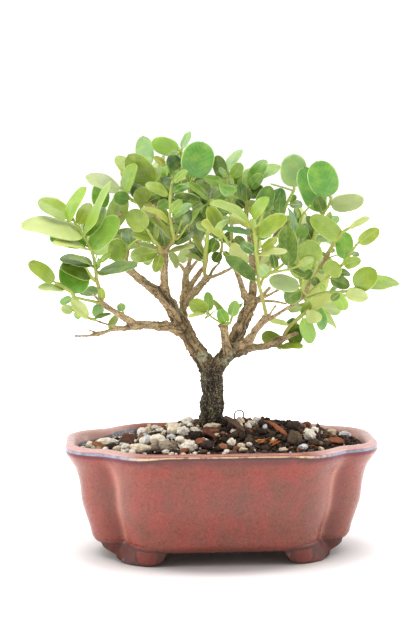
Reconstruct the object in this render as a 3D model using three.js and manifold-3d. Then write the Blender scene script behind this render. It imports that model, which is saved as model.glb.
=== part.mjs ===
// Natal plum bonsai in its glazed pot: a forked old trunk with rough bark, green
// shoots with thick round leaves, gritty soil and a four-lobed ceramic pot on four
// bracket feet. Millimetres, +Z up, the origin under the middle of the whole plant
// at the level the feet stand on. +X is the pot's long side, -Y its front.
import * as THREE from "three";
import { mergeVertices } from "three/addons/utils/BufferGeometryUtils.js";
import Module from "manifold-3d";

// ---------------------------------------------------------------- driving sizes
const POT_X = 7.69, POT_Y = -9.38; // middle of the pot in the part's frame
const POT_HALF_LENGTH = 101.6; // end lobes
const POT_HALF_DEPTH = 57.8; // front and back lobes
const FRONT_LOBE_HALF = 80.1; // half length of the front and back lobes
const END_LOBE_HALF = 36.0; // half width of the end lobes
const FRONT_LOBE_RADIUS = 39.9;
const END_LOBE_RADIUS = 23.3;
const LOBE_BLEND = 7.0; // how softly the lobes run into each other at the rim; less so below
const DEPTH_SHARE = 0.8; // share of the wall's inset that applies front and back
const POT_FLOOR = 15.5; // inside floor
const OUTLINE_POINTS = 48;
const DRAIN_X = 38; // the two drainage holes
const DRAIN_RADIUS = 7.5;
const FOOT_TOP = 12.6;
const FOOT_THICK = 8.5;
// Outer face of a foot in plan, from its end-lobe side round the corner to its front side
const FOOT_LINE = [[81, 9.5], [77.5, 18.5], [70.5, 27], [62.5, 34], [56.5, 38], [50.4, 40.5], [43.7, 41.3], [37, 41.3]];
const GAP = 0.35; // clearance between touching pieces
const LEAF_THICK = 1.1; // thickest part of a leaf
const SMALL_LEAF = 9.5; // length below which a leaf is drawn more simply
const SOIL_EDGE = 68.2; // soil level along the pot wall
const SOIL_MOUND = 17; // how far the soil rises to the trunk
const SOIL_DIP = 3.6; // how far it has sunk along the wall behind, to both sides
const MESH_SIDE = 24; // drainage mesh square
const WIRE_DIAMETER = 1.0;

// Outside and inside of the pot wall: [height, distance inwards from the rim's outline]
const WALL_OUT = [
  [8.7, 21.5], [10.9, 18.4], [14.5, 16.4], [20, 15.2], [27, 13], [36, 10.3],
  [47, 9.1], [56.5, 7.3], [62.5, 4.5], [67.5, 1.7], [70, 0.2], [74.7, 0], [75.8, 1.3],
];
const WALL_IN = [
  [75.8, 4.6], [74.4, 6.2], [62, 10.2], [50, 13.6], [36, 16.4], [24, 20.5], [17.2, 26.5], [15.5, 30],
];

// Each limb of the wood: [x, y, z, radius] along its middle line
const WOOD = {
  trunk: [[1.9,-8.9,66,7.5],[1.9,-8.9,79,9.21],[2,-9,100.4,7.22],[2,-9,120.3,8.25],[2.5,-9,125.5,6.87]],
  limb_left: [[1.8,-8.9,119.6,6.35],[-3.5,-10,127.1,6.01],[-13.3,-14.9,141.6,5.19],[-29,-19.3,168.3,4.38],[-31.8,-19.1,173.5,3.86]],
  upleft: [[-29.9,-19.2,170.9,3.86],[-35.6,-17.4,174,3.48],[-51.4,-5,185.3,2.47],[-59.7,-1.4,192.9,1.96],[-63.5,1.9,198.6,1.7],[-64.1,4.9,206.2,1.57],[-61.4,5.7,215.3,1.44],[-56.8,5.4,223.2,1.31]],
  upleft_fork: [[-53.9,-3.8,187.8,1.69],[-52.3,-6.4,198.4,1.17]],
  upright_left: [[-30.6,-19.2,170.2,3.54],[-29.9,-19.2,176.1,2.96],[-29.1,-24.9,199,2.04]],
  upright_left_hid: [[-29,-22.1,195,1.92],[-29.5,-12.3,202,1.68],[-31,-2.5,211.7,1.56],[-33.8,5.7,229,1.24]],
  lowleft: [[-18.9,-17.2,147.6,3.93],[-26.2,-20.9,150.7,3.34],[-45.8,-32.1,153.2,2.92],[-51.6,-34.5,153.2,3.22]],
  lowleft_up: [[-49.7,-34.6,154.1,2.53],[-61.1,-36.6,161.8,1.89],[-69.8,-38.8,167.8,2.01]],
  lowleft_dn: [[-51.6,-34.5,152.8,2.47],[-54.8,-35.7,151.7,2.03],[-63.7,-37.8,150.8,1.2],[-68.1,-40.3,149.9,1.2],[-72.5,-41.4,148.8,1.7],[-77.5,-43.8,148.2,0.88],[-86.8,-48.7,148.6,0.93]],
  lowleft_stub: [[-72.5,-41.4,148.8,1.01],[-75.6,-42.5,150.7,0.69],[-78.4,-43.7,151.2,0.88]],
  lowleft_twig: [[-58.6,-36.8,152.2,1.07],[-69.3,-40.2,155.6,0.75],[-73.7,-42.7,157.5,0.82]],
  upsub_stub: [[-69.8,-38.8,167.8,1.26],[-74.2,-44,173.1,1],[-77.3,-45.2,176,0.87]],
  central: [[-14.1,-13.4,146.7,3.57],[-16.4,-7.6,151.9,3.13],[-16.5,-3.6,158,2.75],[-15.9,0.4,164.2,2.82],[-14.2,6.3,182.8,2.11]],
  central_l: [[-14.2,6.3,182.1,1.45],[-16.8,6.5,186.8,1.19],[-22.6,8.9,191.9,0.92]],
  central_u: [[-14.2,6.3,181.5,1.71],[-11.3,10.1,194.4,0.99],[-11.2,12.1,204.2,0.93],[-12.6,10.2,214.9,0.86],[-13.5,6.2,225.6,0.79]],
  central_r: [[-14.2,6.3,181.5,1.59],[-10.2,7,186.7,1.32],[-6.8,8.7,190.5,1.19]],
  central_rb: [[-15.3,-0.7,163,2.76],[-11.6,-3.9,167.9,2.68],[-4,-8.5,178.1,2.48],[-1,-11.5,181.3,2.6]],
  central_rg: [[-1.6,-11.5,181,1.69],[2.8,-13.2,182.4,1.36],[7.7,-16.4,184.6,1.16],[15.1,-21.2,189.5,1.03]],
  central_dk: [[-13.3,0.2,164.9,2.1],[-11.1,4,174.4,1.98],[-0.8,9.3,188.4,1.33],[0.7,11.2,200.9,1.06],[0.7,11.2,214.8,0.86],[-0.1,9.2,226.7,0.8]],
  central_tw: [[-0.2,-10.2,180.9,1.3],[1.9,-8,185.2,1.04],[6.7,-5.3,190.2,0.91]],
  limb_right: [[1.8,-8.9,119.6,6.22],[8.4,-9.4,126.9,5.76],[14.8,-11.3,136.3,4.96]],
  upright_right: [[12.8,-11.2,133.7,4.57],[21.4,-9.9,149.9,4.38],[27.2,-7.8,164.1,4.58],[27.5,-7.3,168,3.92]],
  knot_l: [[26.1,-8.7,164.8,3],[23.4,-9.5,168.9,2.35],[17.1,-12.9,186.2,1.75],[14.5,-16.9,205.9,1.16]],
  knot_m: [[27.6,-6.8,164,3.07],[29.4,-2,174,2.62],[29.3,4.1,184.7,1.85],[28.2,7.2,201,1.52],[26.2,7.3,218.2,1.19]],
  knot_mr: [[29.2,3.1,183.5,1.58],[36.2,6.6,195.1,1.32],[42.6,5.1,205,1.19],[48.1,1.7,213.8,1.12]],
  knot_r1: [[28.1,-7.9,164.1,2.09],[35.6,-11.4,170.3,1.3],[39.2,-14.5,175.1,1.23]],
  knot_r2: [[30.1,-8,165.4,1.44],[38.7,-7.7,168.9,1.05],[46.6,-7.2,173.1,0.92]],
  knot_r3: [[29.5,-7,165.3,1.57],[43.7,-4,164.5,0.99],[51.8,-2.6,162.7,0.92]],
  knot_tw: [[24.8,-8.6,166.1,1.04],[22,-10.4,168,0.65],[16.4,-14.2,168.7,0.52],[11.2,-18.1,170.8,0.52]],
  callus: [[12.6,-14,133.4,4.23],[9.4,-20,141.4,2.72],[8.5,-23.5,149,2.51],[7.4,-24.8,152.1,3.09]],
  midright: [[13.5,-11.2,132.3,3.66],[24,-23.2,141.1,2.84],[27.5,-27.7,146.8,2.63],[34.8,-33.8,157.5,2.74]],
  midright_stub: [[35.1,-33.9,158.4,1.28],[36.9,-35.4,159.9,0.89],[40.3,-38.5,165.6,1.02]],
  midright_r: [[33.8,-33.8,157.1,1.66],[37.7,-34.1,157.1,1.34],[42.1,-34.4,159.7,1.21],[53.5,-35.2,166.8,1.21],[58.4,-35.6,170.9,1.66]],
  midright_ru: [[58.2,-35.6,170.6,1.53],[63.5,-36,183.4,1.21],[72.1,-33.8,193.4,1.91]],
  lowright: [[14.9,-9.9,130.8,3.79],[26.9,-7.8,134.7,2.82],[37.6,-6.6,135.4,2.43],[46.1,-7.2,139.1,2.96],[58.1,-11.1,144.8,1.37]],
  back_l: [[-23.9,-14.1,160.6,3.24],[-26.5,-0.8,165.7,2.49],[-28,23.3,180.1,2.14],[-28.7,35.4,189.2,1.96],[-31,45.6,198.7,1.71],[-34.8,51.9,208.6,1.44],[-38.8,54.2,218.1,1.17]],
  back_l2: [[-28.8,33.4,187.3,1.49],[-36.7,40,194.3,1.36],[-44.6,46.6,199.4,1.23],[-53.3,51.3,204.6,1.03]],
  back_l3: [[-29.8,41.5,194.9,1.36],[-24.1,47.1,205.4,1.23],[-19.7,50.8,218.2,1.1],[-18.4,48.7,229.2,0.89]],
  back_r: [[24.2,-7.6,156.8,2.88],[27.3,3.2,162.9,2.38],[29.8,15.1,169,2.27],[34.2,38.8,183.8,1.91],[36.6,48.7,194.7,1.65],[38.4,52.5,204.1,1.38]],
  back_r2: [[32.7,30.9,178.3,1.63],[40.8,36.3,184.6,1.43],[50.8,39.6,189.8,1.3],[60.5,40.9,195.1,1.09]],
  back_r3: [[36.6,48.6,193.3,1.31],[33.3,50.9,207,1.17],[29.6,48.2,219.5,1.03]],
  back_c: [[-16,-0.6,161.7,2.23],[-11.9,34.2,182.4,1.69],[-7.8,43.9,191.9,1.57],[-1.8,51.5,201.6,1.38],[2.4,53.2,212.5,1.17]],
  root_a: [[0,-9.6,88,5.2],[-7.5,-13.3,77.1,4.36],[-14.2,-17.9,70.2,3.52],[-24.4,-30,58.1,1.84],[-27.7,-37.1,52.5,1]],
  root_b: [[3.6,-9.7,88,5],[11.1,-14,76.6,4.2],[17.9,-19,69.2,3.4],[23.9,-24.8,62.6,2.6],[32.7,-38.4,50.5,1]],
  root_c: [[1.6,-10.5,88,4.6],[1,-15.3,77.1,3.88],[0.9,-20.1,70.2,3.16],[3,-34.5,52.5,1]],
  root_d: [[1.7,-7.4,88,4.8],[1.5,-1.6,77.1,4.04],[2.1,4.2,70.2,3.28],[8.5,21,52.5,1]],
  root_e: [[0,-8.4,88,4.4],[-7.2,-5.6,76.6,3.72],[-13.7,-1.7,69.2,3.04],[-24.2,8.5,56.4,1.68],[-27.8,14.8,50.5,1]],
  root_f: [[3.7,-8.3,88,4.8],[11,-4.9,77.1,4.04],[17.6,-0.8,70.2,3.28],[23.6,4.1,63.9,2.52],[33,15.9,52.5,1]],
};

// Each green shoot: its stems as [x, y, z, radius], and its leaves, one row each:
// where it leaves the stem, base of the blade, tip, direction its upper side faces,
// width, arch and fold.
const SHOOTS = {
  far_left_upper: {
    stems: [[[-70.4,-39.5,172,1.29],[-73.2,-42.7,183.6,1.25],[-73.4,-44.1,188.8,1],[-75.8,-46.7,200.8,0.93],[-80.7,-49.2,210.3,0.87],[-87.7,-44.5,221.6,0.74]],[[-72.9,-42.5,182.7,1],[-74.1,-42.7,182.4,1],[-79,-49.3,190.2,0.68]]],
    leaves: [
      [-81,-48.9,210.9,-81.3,-49.4,210.4,-119.2,-45.9,219,0.15,-0.47,0.87,23.4,0.072,0.06],
      [-87.4,-44.7,221,-89.3,-43.9,222.3,-108.8,-37.2,232.5,0.03,-0.8,0.59,12.9,0.05,0.12],
      [-87.4,-44.7,221,-90.8,-44.6,220,-79.2,-49.7,240.9,-0.72,-0.64,0.25,11.1,0.08,0.05],
      [-81.5,-48.6,211.7,-81.3,-49.2,212.2,-64.1,-79.1,244.7,-0.93,-0.21,0.3,18,-0.02,0.07],
      [-84.4,-46.7,216.3,-83.6,-45.8,217.9,-77,-39.3,230.9,-0.2,-0.83,0.52,9.5,0.053,0.06],
      [-80.1,-48.9,209.3,-79.1,-48.3,211,-68.1,-41.7,228.5,-0.38,-0.76,0.52,12.1,0.028,0.15],
      [-75.7,-46.6,200.1,-76.4,-47.1,202.7,-59.9,-49.5,223,-0.46,-0.85,0.27,14.9,-0.004,0.09],
      [-77.6,-47.6,204.3,-79.6,-47.2,204.9,-101.8,-42.3,210,0.01,-0.7,0.72,13.1,0.051,0.12],
      [-76.6,-47.1,202.3,-78.9,-48,202.8,-99.5,-61.6,207.5,0.41,-0.33,0.85,10.5,0.088,0.07],
      [-74.1,-44.8,191.9,-75.8,-43.8,192.3,-95.8,-41.7,196.6,0.14,-0.48,0.87,13,0.027,0.12],
      [-73.8,-44.5,190.7,-75.8,-44.7,191.5,-90.2,-50.9,197.4,0.41,-0.1,0.9,8,0.059,0.14],
      [-74.8,-43.6,183.4,-76.9,-43.8,184.2,-95.1,-46.6,191.6,0.37,-0.66,0.65,11.1,0.053,0.16],
      [-73.4,-43.9,188,-71.5,-45.1,188.4,-48.3,-59.6,193,-0.38,-0.33,0.86,15.6,0.032,0.11],
      [-70.8,-40,173.8,-72.4,-38.1,173.9,-83,-25.2,174.4,-0.45,-0.4,0.8,9.4,0.049,0.09],
      [-70.6,-39.7,172.6,-69.8,-39.5,170.1,-70.4,-43.1,178,0.07,-0.91,-0.41,5,0.06,0.1],
      [-74.4,-45.2,193.8,-70.9,-45.8,194.5,-64.1,-49,200.3,-0.47,-0.88,0.06,3.9,0.06,0.1],
      [-73.7,-44.4,190.2,-71.6,-44.8,190.7,-71.8,-46.6,197.1,0.03,-0.96,-0.27,2.5,0.06,0.1],
    ],
  },
  far_left_lower: {
    stems: [[[-74,-42.7,169.2,1],[-87.2,-51.5,173.3,0.99],[-89,-52.8,176.6,1.05],[-93.2,-55.3,179.6,1.36],[-97.4,-56.4,182.2,1.17]]],
    leaves: [
      [-96.9,-56.2,181.9,-99.2,-56.6,183.6,-114.6,-58.5,195.5,0.44,-0.78,0.44,11,0.055,0.08],
      [-92.7,-55,179.3,-93.8,-55.1,178.1,-108.9,-62,180.1,0.3,-0.39,0.87,9.4,0.068,0.15],
      [-86.6,-51.1,173.1,-88.8,-50.3,172.5,-96,-45.1,169,-0.64,-0.74,0.2,5.3,0.028,0.1],
      [-86.6,-51.1,173.1,-87.2,-51,175.4,-87,-37.8,196.4,0.26,-0.82,0.51,19.9,-0.02,0.06],
    ],
  },
  left_twig: {
    stems: [[[-74.3,-44,158,0.81],[-83.6,-49,161.4,0.75],[-86.7,-50.1,164.4,0.68]]],
    leaves: [
      [-86.2,-50,164,-88.1,-50.6,164.6,-95.2,-52.8,166.7,0.31,-0.95,0.03,6.2,0.074,0.1],
      [-77.1,-45.5,159,-78.4,-46.5,160.2,-89.6,-53.9,171.1,0.71,-0.63,0.3,9.7,0.029,0.12],
      [-74.9,-44.4,158.2,-73.1,-43,159.1,-71.7,-38.6,167.4,0.07,-0.88,0.46,7.5,0.032,0.15],
      [-76.4,-45.1,158.8,-74.6,-45.9,159.3,-64.3,-49.6,162.3,-0.37,-0.32,0.87,5.6,0.033,0.05],
      [-84.1,-49.2,161.9,-83.6,-48.1,159.8,-87.4,-45.3,162.6,-0.67,-0.73,-0.16,4,0.032,0.09],
    ],
  },
  left_knob: {
    stems: [[[-56.6,-34.1,160.5,0.8],[-56.6,-34.1,161.1,0.76]]],
    leaves: [
      [-56.6,-34.1,160.7,-57,-33.5,162.3,-58.1,-31.7,167.2,-0.06,-0.94,0.32,5.7,0.048,0.15],
      [-56.6,-34.1,160.7,-59.1,-32.4,161,-63.5,-24.4,149.8,-0.67,0.45,0.59,10.7,0.062,0.09],
    ],
  },
  left_inner: {
    stems: [[[-52.3,-6.5,199.5,1.14],[-49.4,-8,203.4,0.91],[-46.2,-9.6,205.8,0.78],[-43,-11.3,206.5,0.71]]],
    leaves: [
      [-51.5,-6.9,200.6,-53.7,-7.3,200.2,-65.6,-9.3,198.1,0.15,-0.98,0.1,15.5,0.021,0.07],
      [-50.9,-7.2,201.3,-51.1,-5.7,202.9,-52.3,3.3,212.8,-0.1,-0.74,0.66,10.4,0.08,0.1],
      [-45,-10.2,206,-43.8,-9.1,207.1,-38.2,-3.8,212.5,0.35,-0.82,0.45,6.5,0.061,0.06],
    ],
  },
  left_heart: {
    stems: [[[-31.5,-27.5,199.8,1.4],[-37.1,-32.8,207.2,1.14],[-40.6,-35.3,213.1,0.88]]],
    leaves: [
      [-40.2,-35.1,212.5,-42.1,-35.6,214.5,-53.1,-37.8,225.5,0.11,-0.99,-0.09,13.2,0.022,0.14],
      [-35.5,-31.3,205.2,-35.2,-30.6,207.6,-34.6,-27.9,217.7,-0.78,-0.59,0.21,5.8,0.055,0.08],
      [-36.7,-32.4,206.7,-38.9,-32.8,207.6,-51.3,-34.9,211.8,0.33,-0.73,0.61,7.4,0.039,0.06],
      [-32.2,-28.3,200.9,-34.5,-29.1,201.6,-45.6,-33,204.7,0.39,-0.44,0.81,6.1,0.03,0.05],
      [-31.8,-27.9,200.3,-34,-27,199.5,-51.4,-19,195.4,-0.42,-0.91,0,10.2,0.087,0.1],
      [-31.8,-27.9,200.3,-32.3,-27.9,197.4,-36.1,-29.5,186.6,-0.02,-0.99,0.15,7,0.028,0.13],
      [-32.6,-28.6,201.3,-33.5,-27.3,203.4,-42.1,-20.4,219.3,0.49,-0.67,0.55,11.4,0.019,0.06],
    ],
  },
  heart_top: {
    stems: [[[-29.2,-26.3,200.1,1.66],[-24,-30.9,208.3,1.33],[-25.4,-33.6,213.5,1.14],[-26.4,-34.9,218.6,0.94],[-27,-34.9,223.1,0.82]],[[-24,-30.9,208.3,1.01],[-23.4,-31,208.3,1.01],[-19.4,-28.4,217.6,0.63]],[[-23.4,-31,208.3,0.89],[-22.1,-31,207.7,0.89],[-16.4,-31.5,215.3,0.63]],[[-27,-34.9,223.1,0.82],[-26.4,-29.3,224.7,0.82],[-26,-20.9,230,0.89],[-25.4,-15.4,234.9,0.9],[-24.9,-12.6,239.3,0.84],[-24.2,-12.6,242.5,0.71]]],
    leaves: [
      [-26.1,-34.6,217.4,-28.1,-34.2,218.3,-45.1,-30.9,226.7,0.37,-0.32,0.87,10.8,0.12,0.12],
      [-24.9,-30.1,206.8,-26.4,-30.3,208.5,-38.2,-32.5,221.1,0.69,-0.43,0.58,8.7,0.074,0.05],
      [-26.9,-34.2,223.2,-25.9,-35.7,224.5,-19.7,-40,232.7,-0.3,-0.92,-0.27,6.3,0.068,0.07],
      [-28.6,-26.8,201,-27,-26.9,199.8,-11.3,-35,203.4,-0.35,-0.27,0.9,9,0.026,0.05],
      [-25.6,-29.5,205.8,-23.3,-29.6,204.4,-11.4,-27,211.2,-0.2,-0.75,0.64,7.8,0.038,0.13],
      [-21,-29.5,213.9,-20.3,-28.4,215.3,-15.1,-16.8,227.3,0.26,-0.74,0.62,12.7,0.01,0.14],
      [-26.6,-34.9,220.5,-24.9,-34.6,221.6,-12.6,-32.5,229.8,-0.36,-0.62,0.7,8.4,0.06,0.07],
      [-28.9,-26.6,200.6,-29.3,-24.8,202.7,-31.5,-14.8,215,-0.15,-0.78,0.6,10.9,0.039,0.08],
      [-28.9,-26.6,200.6,-27,-26.5,198.5,-21.5,-20,188.3,0.79,-0.61,0.03,7.4,0.079,0.15],
      [-24.4,-12.6,241.8,-23,-13.6,243.5,-14.7,-20.3,250.3,-0.74,-0.58,0.34,7,0.03,0.1],
      [-25.4,-16.1,234.3,-27.3,-16.6,235.1,-41.6,-19.8,241.8,0.43,-0.68,0.6,9.6,0.081,0.12],
      [-25.3,-15,235.6,-23.4,-14.7,236.5,-13.4,-13.5,241.2,-0.19,-0.78,0.59,6.3,0.06,0.08],
      [-25.6,-17.4,233.1,-23.6,-17.9,232.8,-6.9,-22.3,230.7,-0.21,-0.95,0.24,9.7,0.022,0.06],
      [-25.7,-18.2,232.5,-27.3,-18.8,231.3,-33.7,-21,226.9,0.2,-0.96,0.21,6.4,0.053,0.12],
    ],
  },
  heart_right: {
    stems: [[[-2.7,-13.2,183.1,1.36],[-3.4,-14.2,184.5,1.29],[-3.6,-21.2,192.2,1.41],[-3.4,-26.8,200.3,1.53],[-3,-31,206.9,1.33],[-2.8,-32.5,211.5,1.14]]],
    leaves: [
      [-2.9,-32.3,210.8,-2.6,-30.1,211.6,-0.4,-12.8,218,0.08,-0.36,0.93,16,0.04,0.1],
      [-3.5,-23.5,195.5,-4.9,-23.9,197.7,-12.9,-22.2,211,0.73,-0.47,0.49,8.1,0.037,0.13],
      [-3.5,-23.5,195.6,-2.5,-24.3,197.9,2,-27.4,208,-0.7,-0.7,0.09,6.4,0.022,0.06],
      [-3.6,-20.7,191.7,-4.9,-19.7,193.9,-12.6,-11.3,203.8,0,-0.76,0.65,8.5,0.044,0.08],
      [-3.6,-20.7,191.7,-5.9,-20.3,193,-16.2,-23,196.4,0.39,-0.57,0.72,5.4,0.117,0.13],
    ],
  },
  crown_left_low: {
    stems: [[[-35.8,5.1,229.2,1.15],[-39.1,4.1,228.4,1.11],[-49,2.8,230.4,0.98],[-52.8,3.1,233.7,0.85],[-56.7,3.4,235.6,0.72]]],
    leaves: [
      [-54.7,3.2,234.6,-54,2.7,236.4,-47.5,2.7,254.9,-0.66,-0.72,0.23,11.6,0.051,0.12],
      [-56.1,3.3,235.3,-58.4,3.9,236.4,-79.4,9.7,246.6,0.15,-0.69,0.71,13.5,0.062,0.14],
      [-47.1,3.1,230,-46.9,4,231.9,-45.4,7.4,241.7,0.04,-0.95,0.32,9.2,0.12,0.07],
      [-49.7,2.9,231.1,-51.8,2.4,231.4,-61.6,0,233.5,0.2,-0.96,-0.17,9.8,0.111,0.07],
      [-37.9,4.5,228.7,-39.4,3.6,230.2,-47.1,-0.6,237.7,0.27,-0.93,-0.25,12.4,0.074,0.13],
      [-41,3.9,228.8,-39.2,4.6,229.6,-31.2,5.8,233.5,0.03,-0.97,0.22,5.9,0.109,0.09],
    ],
  },
  crown_left_top: {
    stems: [[[-34.4,7.8,230.2,1.12],[-35,9.8,236,0.99],[-37.5,11,239.9,0.92],[-46,11.6,245.2,0.72]]],
    leaves: [
      [-38.1,11,240.3,-36.2,10.9,241.9,-51.8,7,260.3,-0.07,-0.96,-0.26,17.7,0.102,0.16],
      [-45.4,11.6,244.8,-47.2,12.4,246.4,-59.2,20.7,259.4,0.05,-0.82,0.57,10.9,0.029,0.08],
      [-45.3,11.6,244.7,-40.1,11.2,253,-41,31.3,272.6,-0.06,-0.7,0.71,12.2,-0.019,0.06],
      [-35.6,10.1,236.9,-35,11,238.8,-28.3,25.1,259.6,-0.89,-0.19,0.41,13.4,-0.009,0.12],
    ],
  },
  crown_mid_top: {
    stems: [[[-13.6,6.4,226.7,0.85],[-15.9,9.4,234,0.86],[-17,12.5,242.4,0.79],[-17.2,14.5,252.9,0.73],[-16.8,15.5,262.7,0.66]]],
    leaves: [
      [-16.9,15.4,262.1,-18.6,15.4,263.3,-36.1,18.2,268.7,-0.13,-0.99,0.08,11.9,0.011,0.12],
      [-16.9,15.4,262.1,-16,15.9,264.4,-10.7,18.5,275.5,-0.62,-0.64,0.45,7.1,0.041,0.06],
      [-16.9,15.4,262.1,-18.4,14.7,261.3,-25.6,11.5,257.6,-0.31,0.93,-0.2,6.6,0.039,0.09],
      [-17.2,14,250.3,-18.3,13,251.5,-25.2,6.5,259.6,0.31,-0.85,-0.42,10.5,0.075,0.06],
      [-15.7,9.2,233.4,-17.4,10.3,235.2,-29.1,18.2,245.1,0.09,-0.72,0.69,9.5,0.02,0.11],
      [-17.2,14.6,253.6,-27.5,14.5,253.6,-35.3,7.8,258.9,0.65,-0.76,-0.01,4.9,0.06,0.1],
    ],
  },
  crown_big_round: {
    stems: [[[-12.9,4.2,227,0.85],[-12.5,1.1,233.6,0.91],[-10.7,-2,244.1,0.84]]],
    leaves: [
      [-10.8,-1.8,243.5,-10.1,-1.9,246.1,-3.4,-0.2,268.7,-0.05,-1,0.09,21.4,0.078,0.15],
      [-11.4,-0.8,240.2,-11.8,-0.3,242.1,-13.6,3.7,251.8,0.36,-0.84,0.41,5.9,0.062,0.06],
      [-10.9,-1.6,242.9,-9,-1.1,243,3.4,3,244,0.2,-0.74,0.64,7.3,0.068,0.13],
      [-11.8,-0.1,237.6,-10,0.5,237.1,-1.8,3.6,234.8,0.34,-0.94,-0.08,5.9,0.029,0.1],
    ],
  },
  crown_centre: {
    stems: [[[0,8,227.7,0.86],[1,-2.9,230.5,0.91],[2.2,-11.8,231.5,0.77]]],
    leaves: [
      [1.7,-8.2,231.1,3.4,-8.9,232.1,12.5,-11,237.6,-0.23,-0.97,0.01,8.4,0.07,0.14],
      [0.9,-2.2,230.3,-0.6,-3.4,231.8,-13.8,-9.2,242.1,0.64,-0.58,0.5,8.5,0.054,0.13],
      [0.8,-1.4,230.1,-0.5,-2,228.6,-11.8,-8.6,215.7,-0.69,-0.19,0.7,8.9,0.12,0.13],
      [0.7,0.5,229.6,1.3,2,231,5.4,11.7,239.8,-0.46,-0.49,0.75,7.7,0.036,0.14],
      [0.8,-0.9,230,0.1,-1.7,228.2,-3,-3.8,219.9,0.14,-0.97,0.19,5.2,0,0.07],
    ],
  },
  crown_right_top: {
    stems: [[[13.7,-18.2,207.3,1.16],[13.9,-15.5,217.5,1.16],[13.8,-9.8,226.2,1.1],[11.8,-2.7,241.5,0.98],[12.8,-1.7,245.4,0.85],[14.1,-1.8,246.7,0.78]]],
    leaves: [
      [12.5,-2,244.2,10.2,-1.9,244.7,5.5,-0.7,259.9,-0.25,-0.97,0,9.4,-0.007,0.1],
      [13.6,-1.8,246.2,12.8,-1.7,250.6,22.4,8.5,263.6,-0.42,-0.54,0.73,9.2,0.052,0.12],
      [13.6,-1.8,246.2,16.1,-2,246,20.8,-5.2,255.1,-0.08,-0.95,-0.3,8.4,0.035,0.08],
      [13.3,-1.8,245.9,11.9,-2.8,246.9,6.2,-12.1,251.9,0.84,-0.54,-0.04,4.6,-0.02,0.09],
      [11.9,-2.5,242.2,11.7,-4.4,241.3,10,-22,234,0.22,-0.39,0.89,11,0.091,0.08],
      [11.8,-3,240.9,9.7,-3,242,-3.2,-7.7,245.3,0.4,-0.84,0.36,7.4,0.029,0.1],
      [13.8,-12.6,221.8,12.2,-11.3,222.7,5.9,-6.3,226.1,-0.51,-0.82,0.27,6.5,0.053,0.12],
      [13.9,-15.1,218,15.6,-14.3,218.6,23.3,-9.2,223.6,0.31,-0.86,0.41,5.8,0.051,0.08],
      [13.8,-16.5,213.7,12.1,-14.9,213.8,4.5,-7.7,214.5,-0.65,-0.72,0.23,5.9,0.079,0.06],
    ],
  },
  centre_dark: {
    stems: [[[6.9,-4.5,191.5,0.91],[8.4,-8.4,202.8,0.78],[6.9,-10.7,206.9,0.71]]],
    leaves: [
      [7.3,-10,205.7,5.9,-10.7,204.6,-1.2,-14,199.4,0.22,-0.93,0.3,8.4,0.039,0.11],
      [7.8,-7,198.8,6.9,-7.3,197.1,3.1,-8.8,191.2,0.02,-0.97,0.23,7.2,0.022,0.07],
      [8.2,-8.8,203.4,9.6,-7.7,204.2,15.3,-4.3,210.3,0.17,-0.92,0.35,5.9,0.068,0.14],
      [7.3,-10,205.7,6.5,-8.8,206.9,2.3,-2.7,212.9,-0.39,-0.77,0.5,5.9,0.058,0.15],
      [7.8,-7,198.8,9.4,-7.8,197.6,14.1,-10.8,193.8,-0.34,-0.89,0.29,3.9,0.065,0.08],
    ],
  },
  crown_right_mid: {
    stems: [[[26.2,7.2,219.1,1.18],[26,5.3,226.2,1.12],[26.2,4.3,232.8,1.05],[26.5,4.3,238,0.85]],[[26,5.2,226.8,0.99],[30.8,0.9,226.3,0.92],[35,-3.4,223.9,0.85],[38.9,-3.7,224.6,0.72]]],
    leaves: [
      [26.5,4.3,237.3,26.9,4.7,239.3,29.2,11.6,251.6,0.03,-0.87,0.48,9.9,0.012,0.09],
      [26.5,4.3,237.3,28.5,4.1,240,38.4,4.9,256.9,-0.54,-0.77,0.35,11.7,0.12,0.09],
      [26.5,4.3,237.3,31.7,3.9,245.2,48.1,12.4,253.4,-0.1,-0.58,0.81,11.4,0.003,0.15],
      [26.5,4.3,237.3,27.8,3.7,238.9,34.9,-3.3,247.7,-0.48,-0.83,-0.27,7.9,0.101,0.13],
      [26.1,4.6,230.6,23.3,4.8,230.8,21.9,3.1,242.2,-0.17,-0.97,-0.17,7.2,0.071,0.14],
      [26.1,5,228.1,25.8,4,230.2,24.7,-0.7,239.5,-0.05,-0.89,-0.45,6.6,0.047,0.11],
      [26.1,4.6,230.8,27.7,3.9,232.3,35.9,4.6,240,-0.35,-0.82,0.45,8.5,-0.019,0.11],
      [34.5,-2.9,224.2,33.7,-2.9,222.6,39.8,-6.8,240.3,-0.18,-0.97,-0.15,11.7,0.069,0.13],
      [38.2,-3.6,224.4,39.8,-3,226.1,47.4,2.6,238.7,-0.6,-0.53,0.6,8.8,0.068,0.1],
      [26,5.9,224.2,24.5,6.8,225.6,19.1,9.8,230.6,-0.31,-0.92,0.24,5.3,0.073,0.06],
      [38.2,-3.6,224.4,46.1,-3.9,222.6,47.6,-1.3,238.8,-0.13,-0.98,0.17,8.2,0.06,0.1],
    ],
  },
  right_tall: {
    stems: [[[48.2,1.5,214.9,1.11],[51.3,-3.6,229.1,1.04],[53.8,-4.8,233.7,0.98],[55.7,-4.9,237.6,0.85]],[[55.3,-4.9,236.8,0.59],[42.3,-1.9,241.1,0.52]]],
    leaves: [
      [55.4,-4.9,237,55.7,-4.7,239.6,55.9,-2.6,260.9,-0.13,-0.99,0.1,17.6,0.073,0.09],
      [51.2,-3.3,228.4,52.9,-2.7,230,57.6,-0.4,233.8,0.19,-0.93,0.31,4.6,0.025,0.12],
      [51.1,-3.1,227.9,53.1,-2.3,227.9,62.9,5.3,227.8,0.6,-0.78,0.14,5.9,0.051,0.1],
      [50,-1.4,223.1,47.9,0,222.8,41.8,4.9,221.5,-0.62,-0.78,-0.04,5.3,0.071,0.07],
    ],
  },
  right_upper: {
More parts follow.
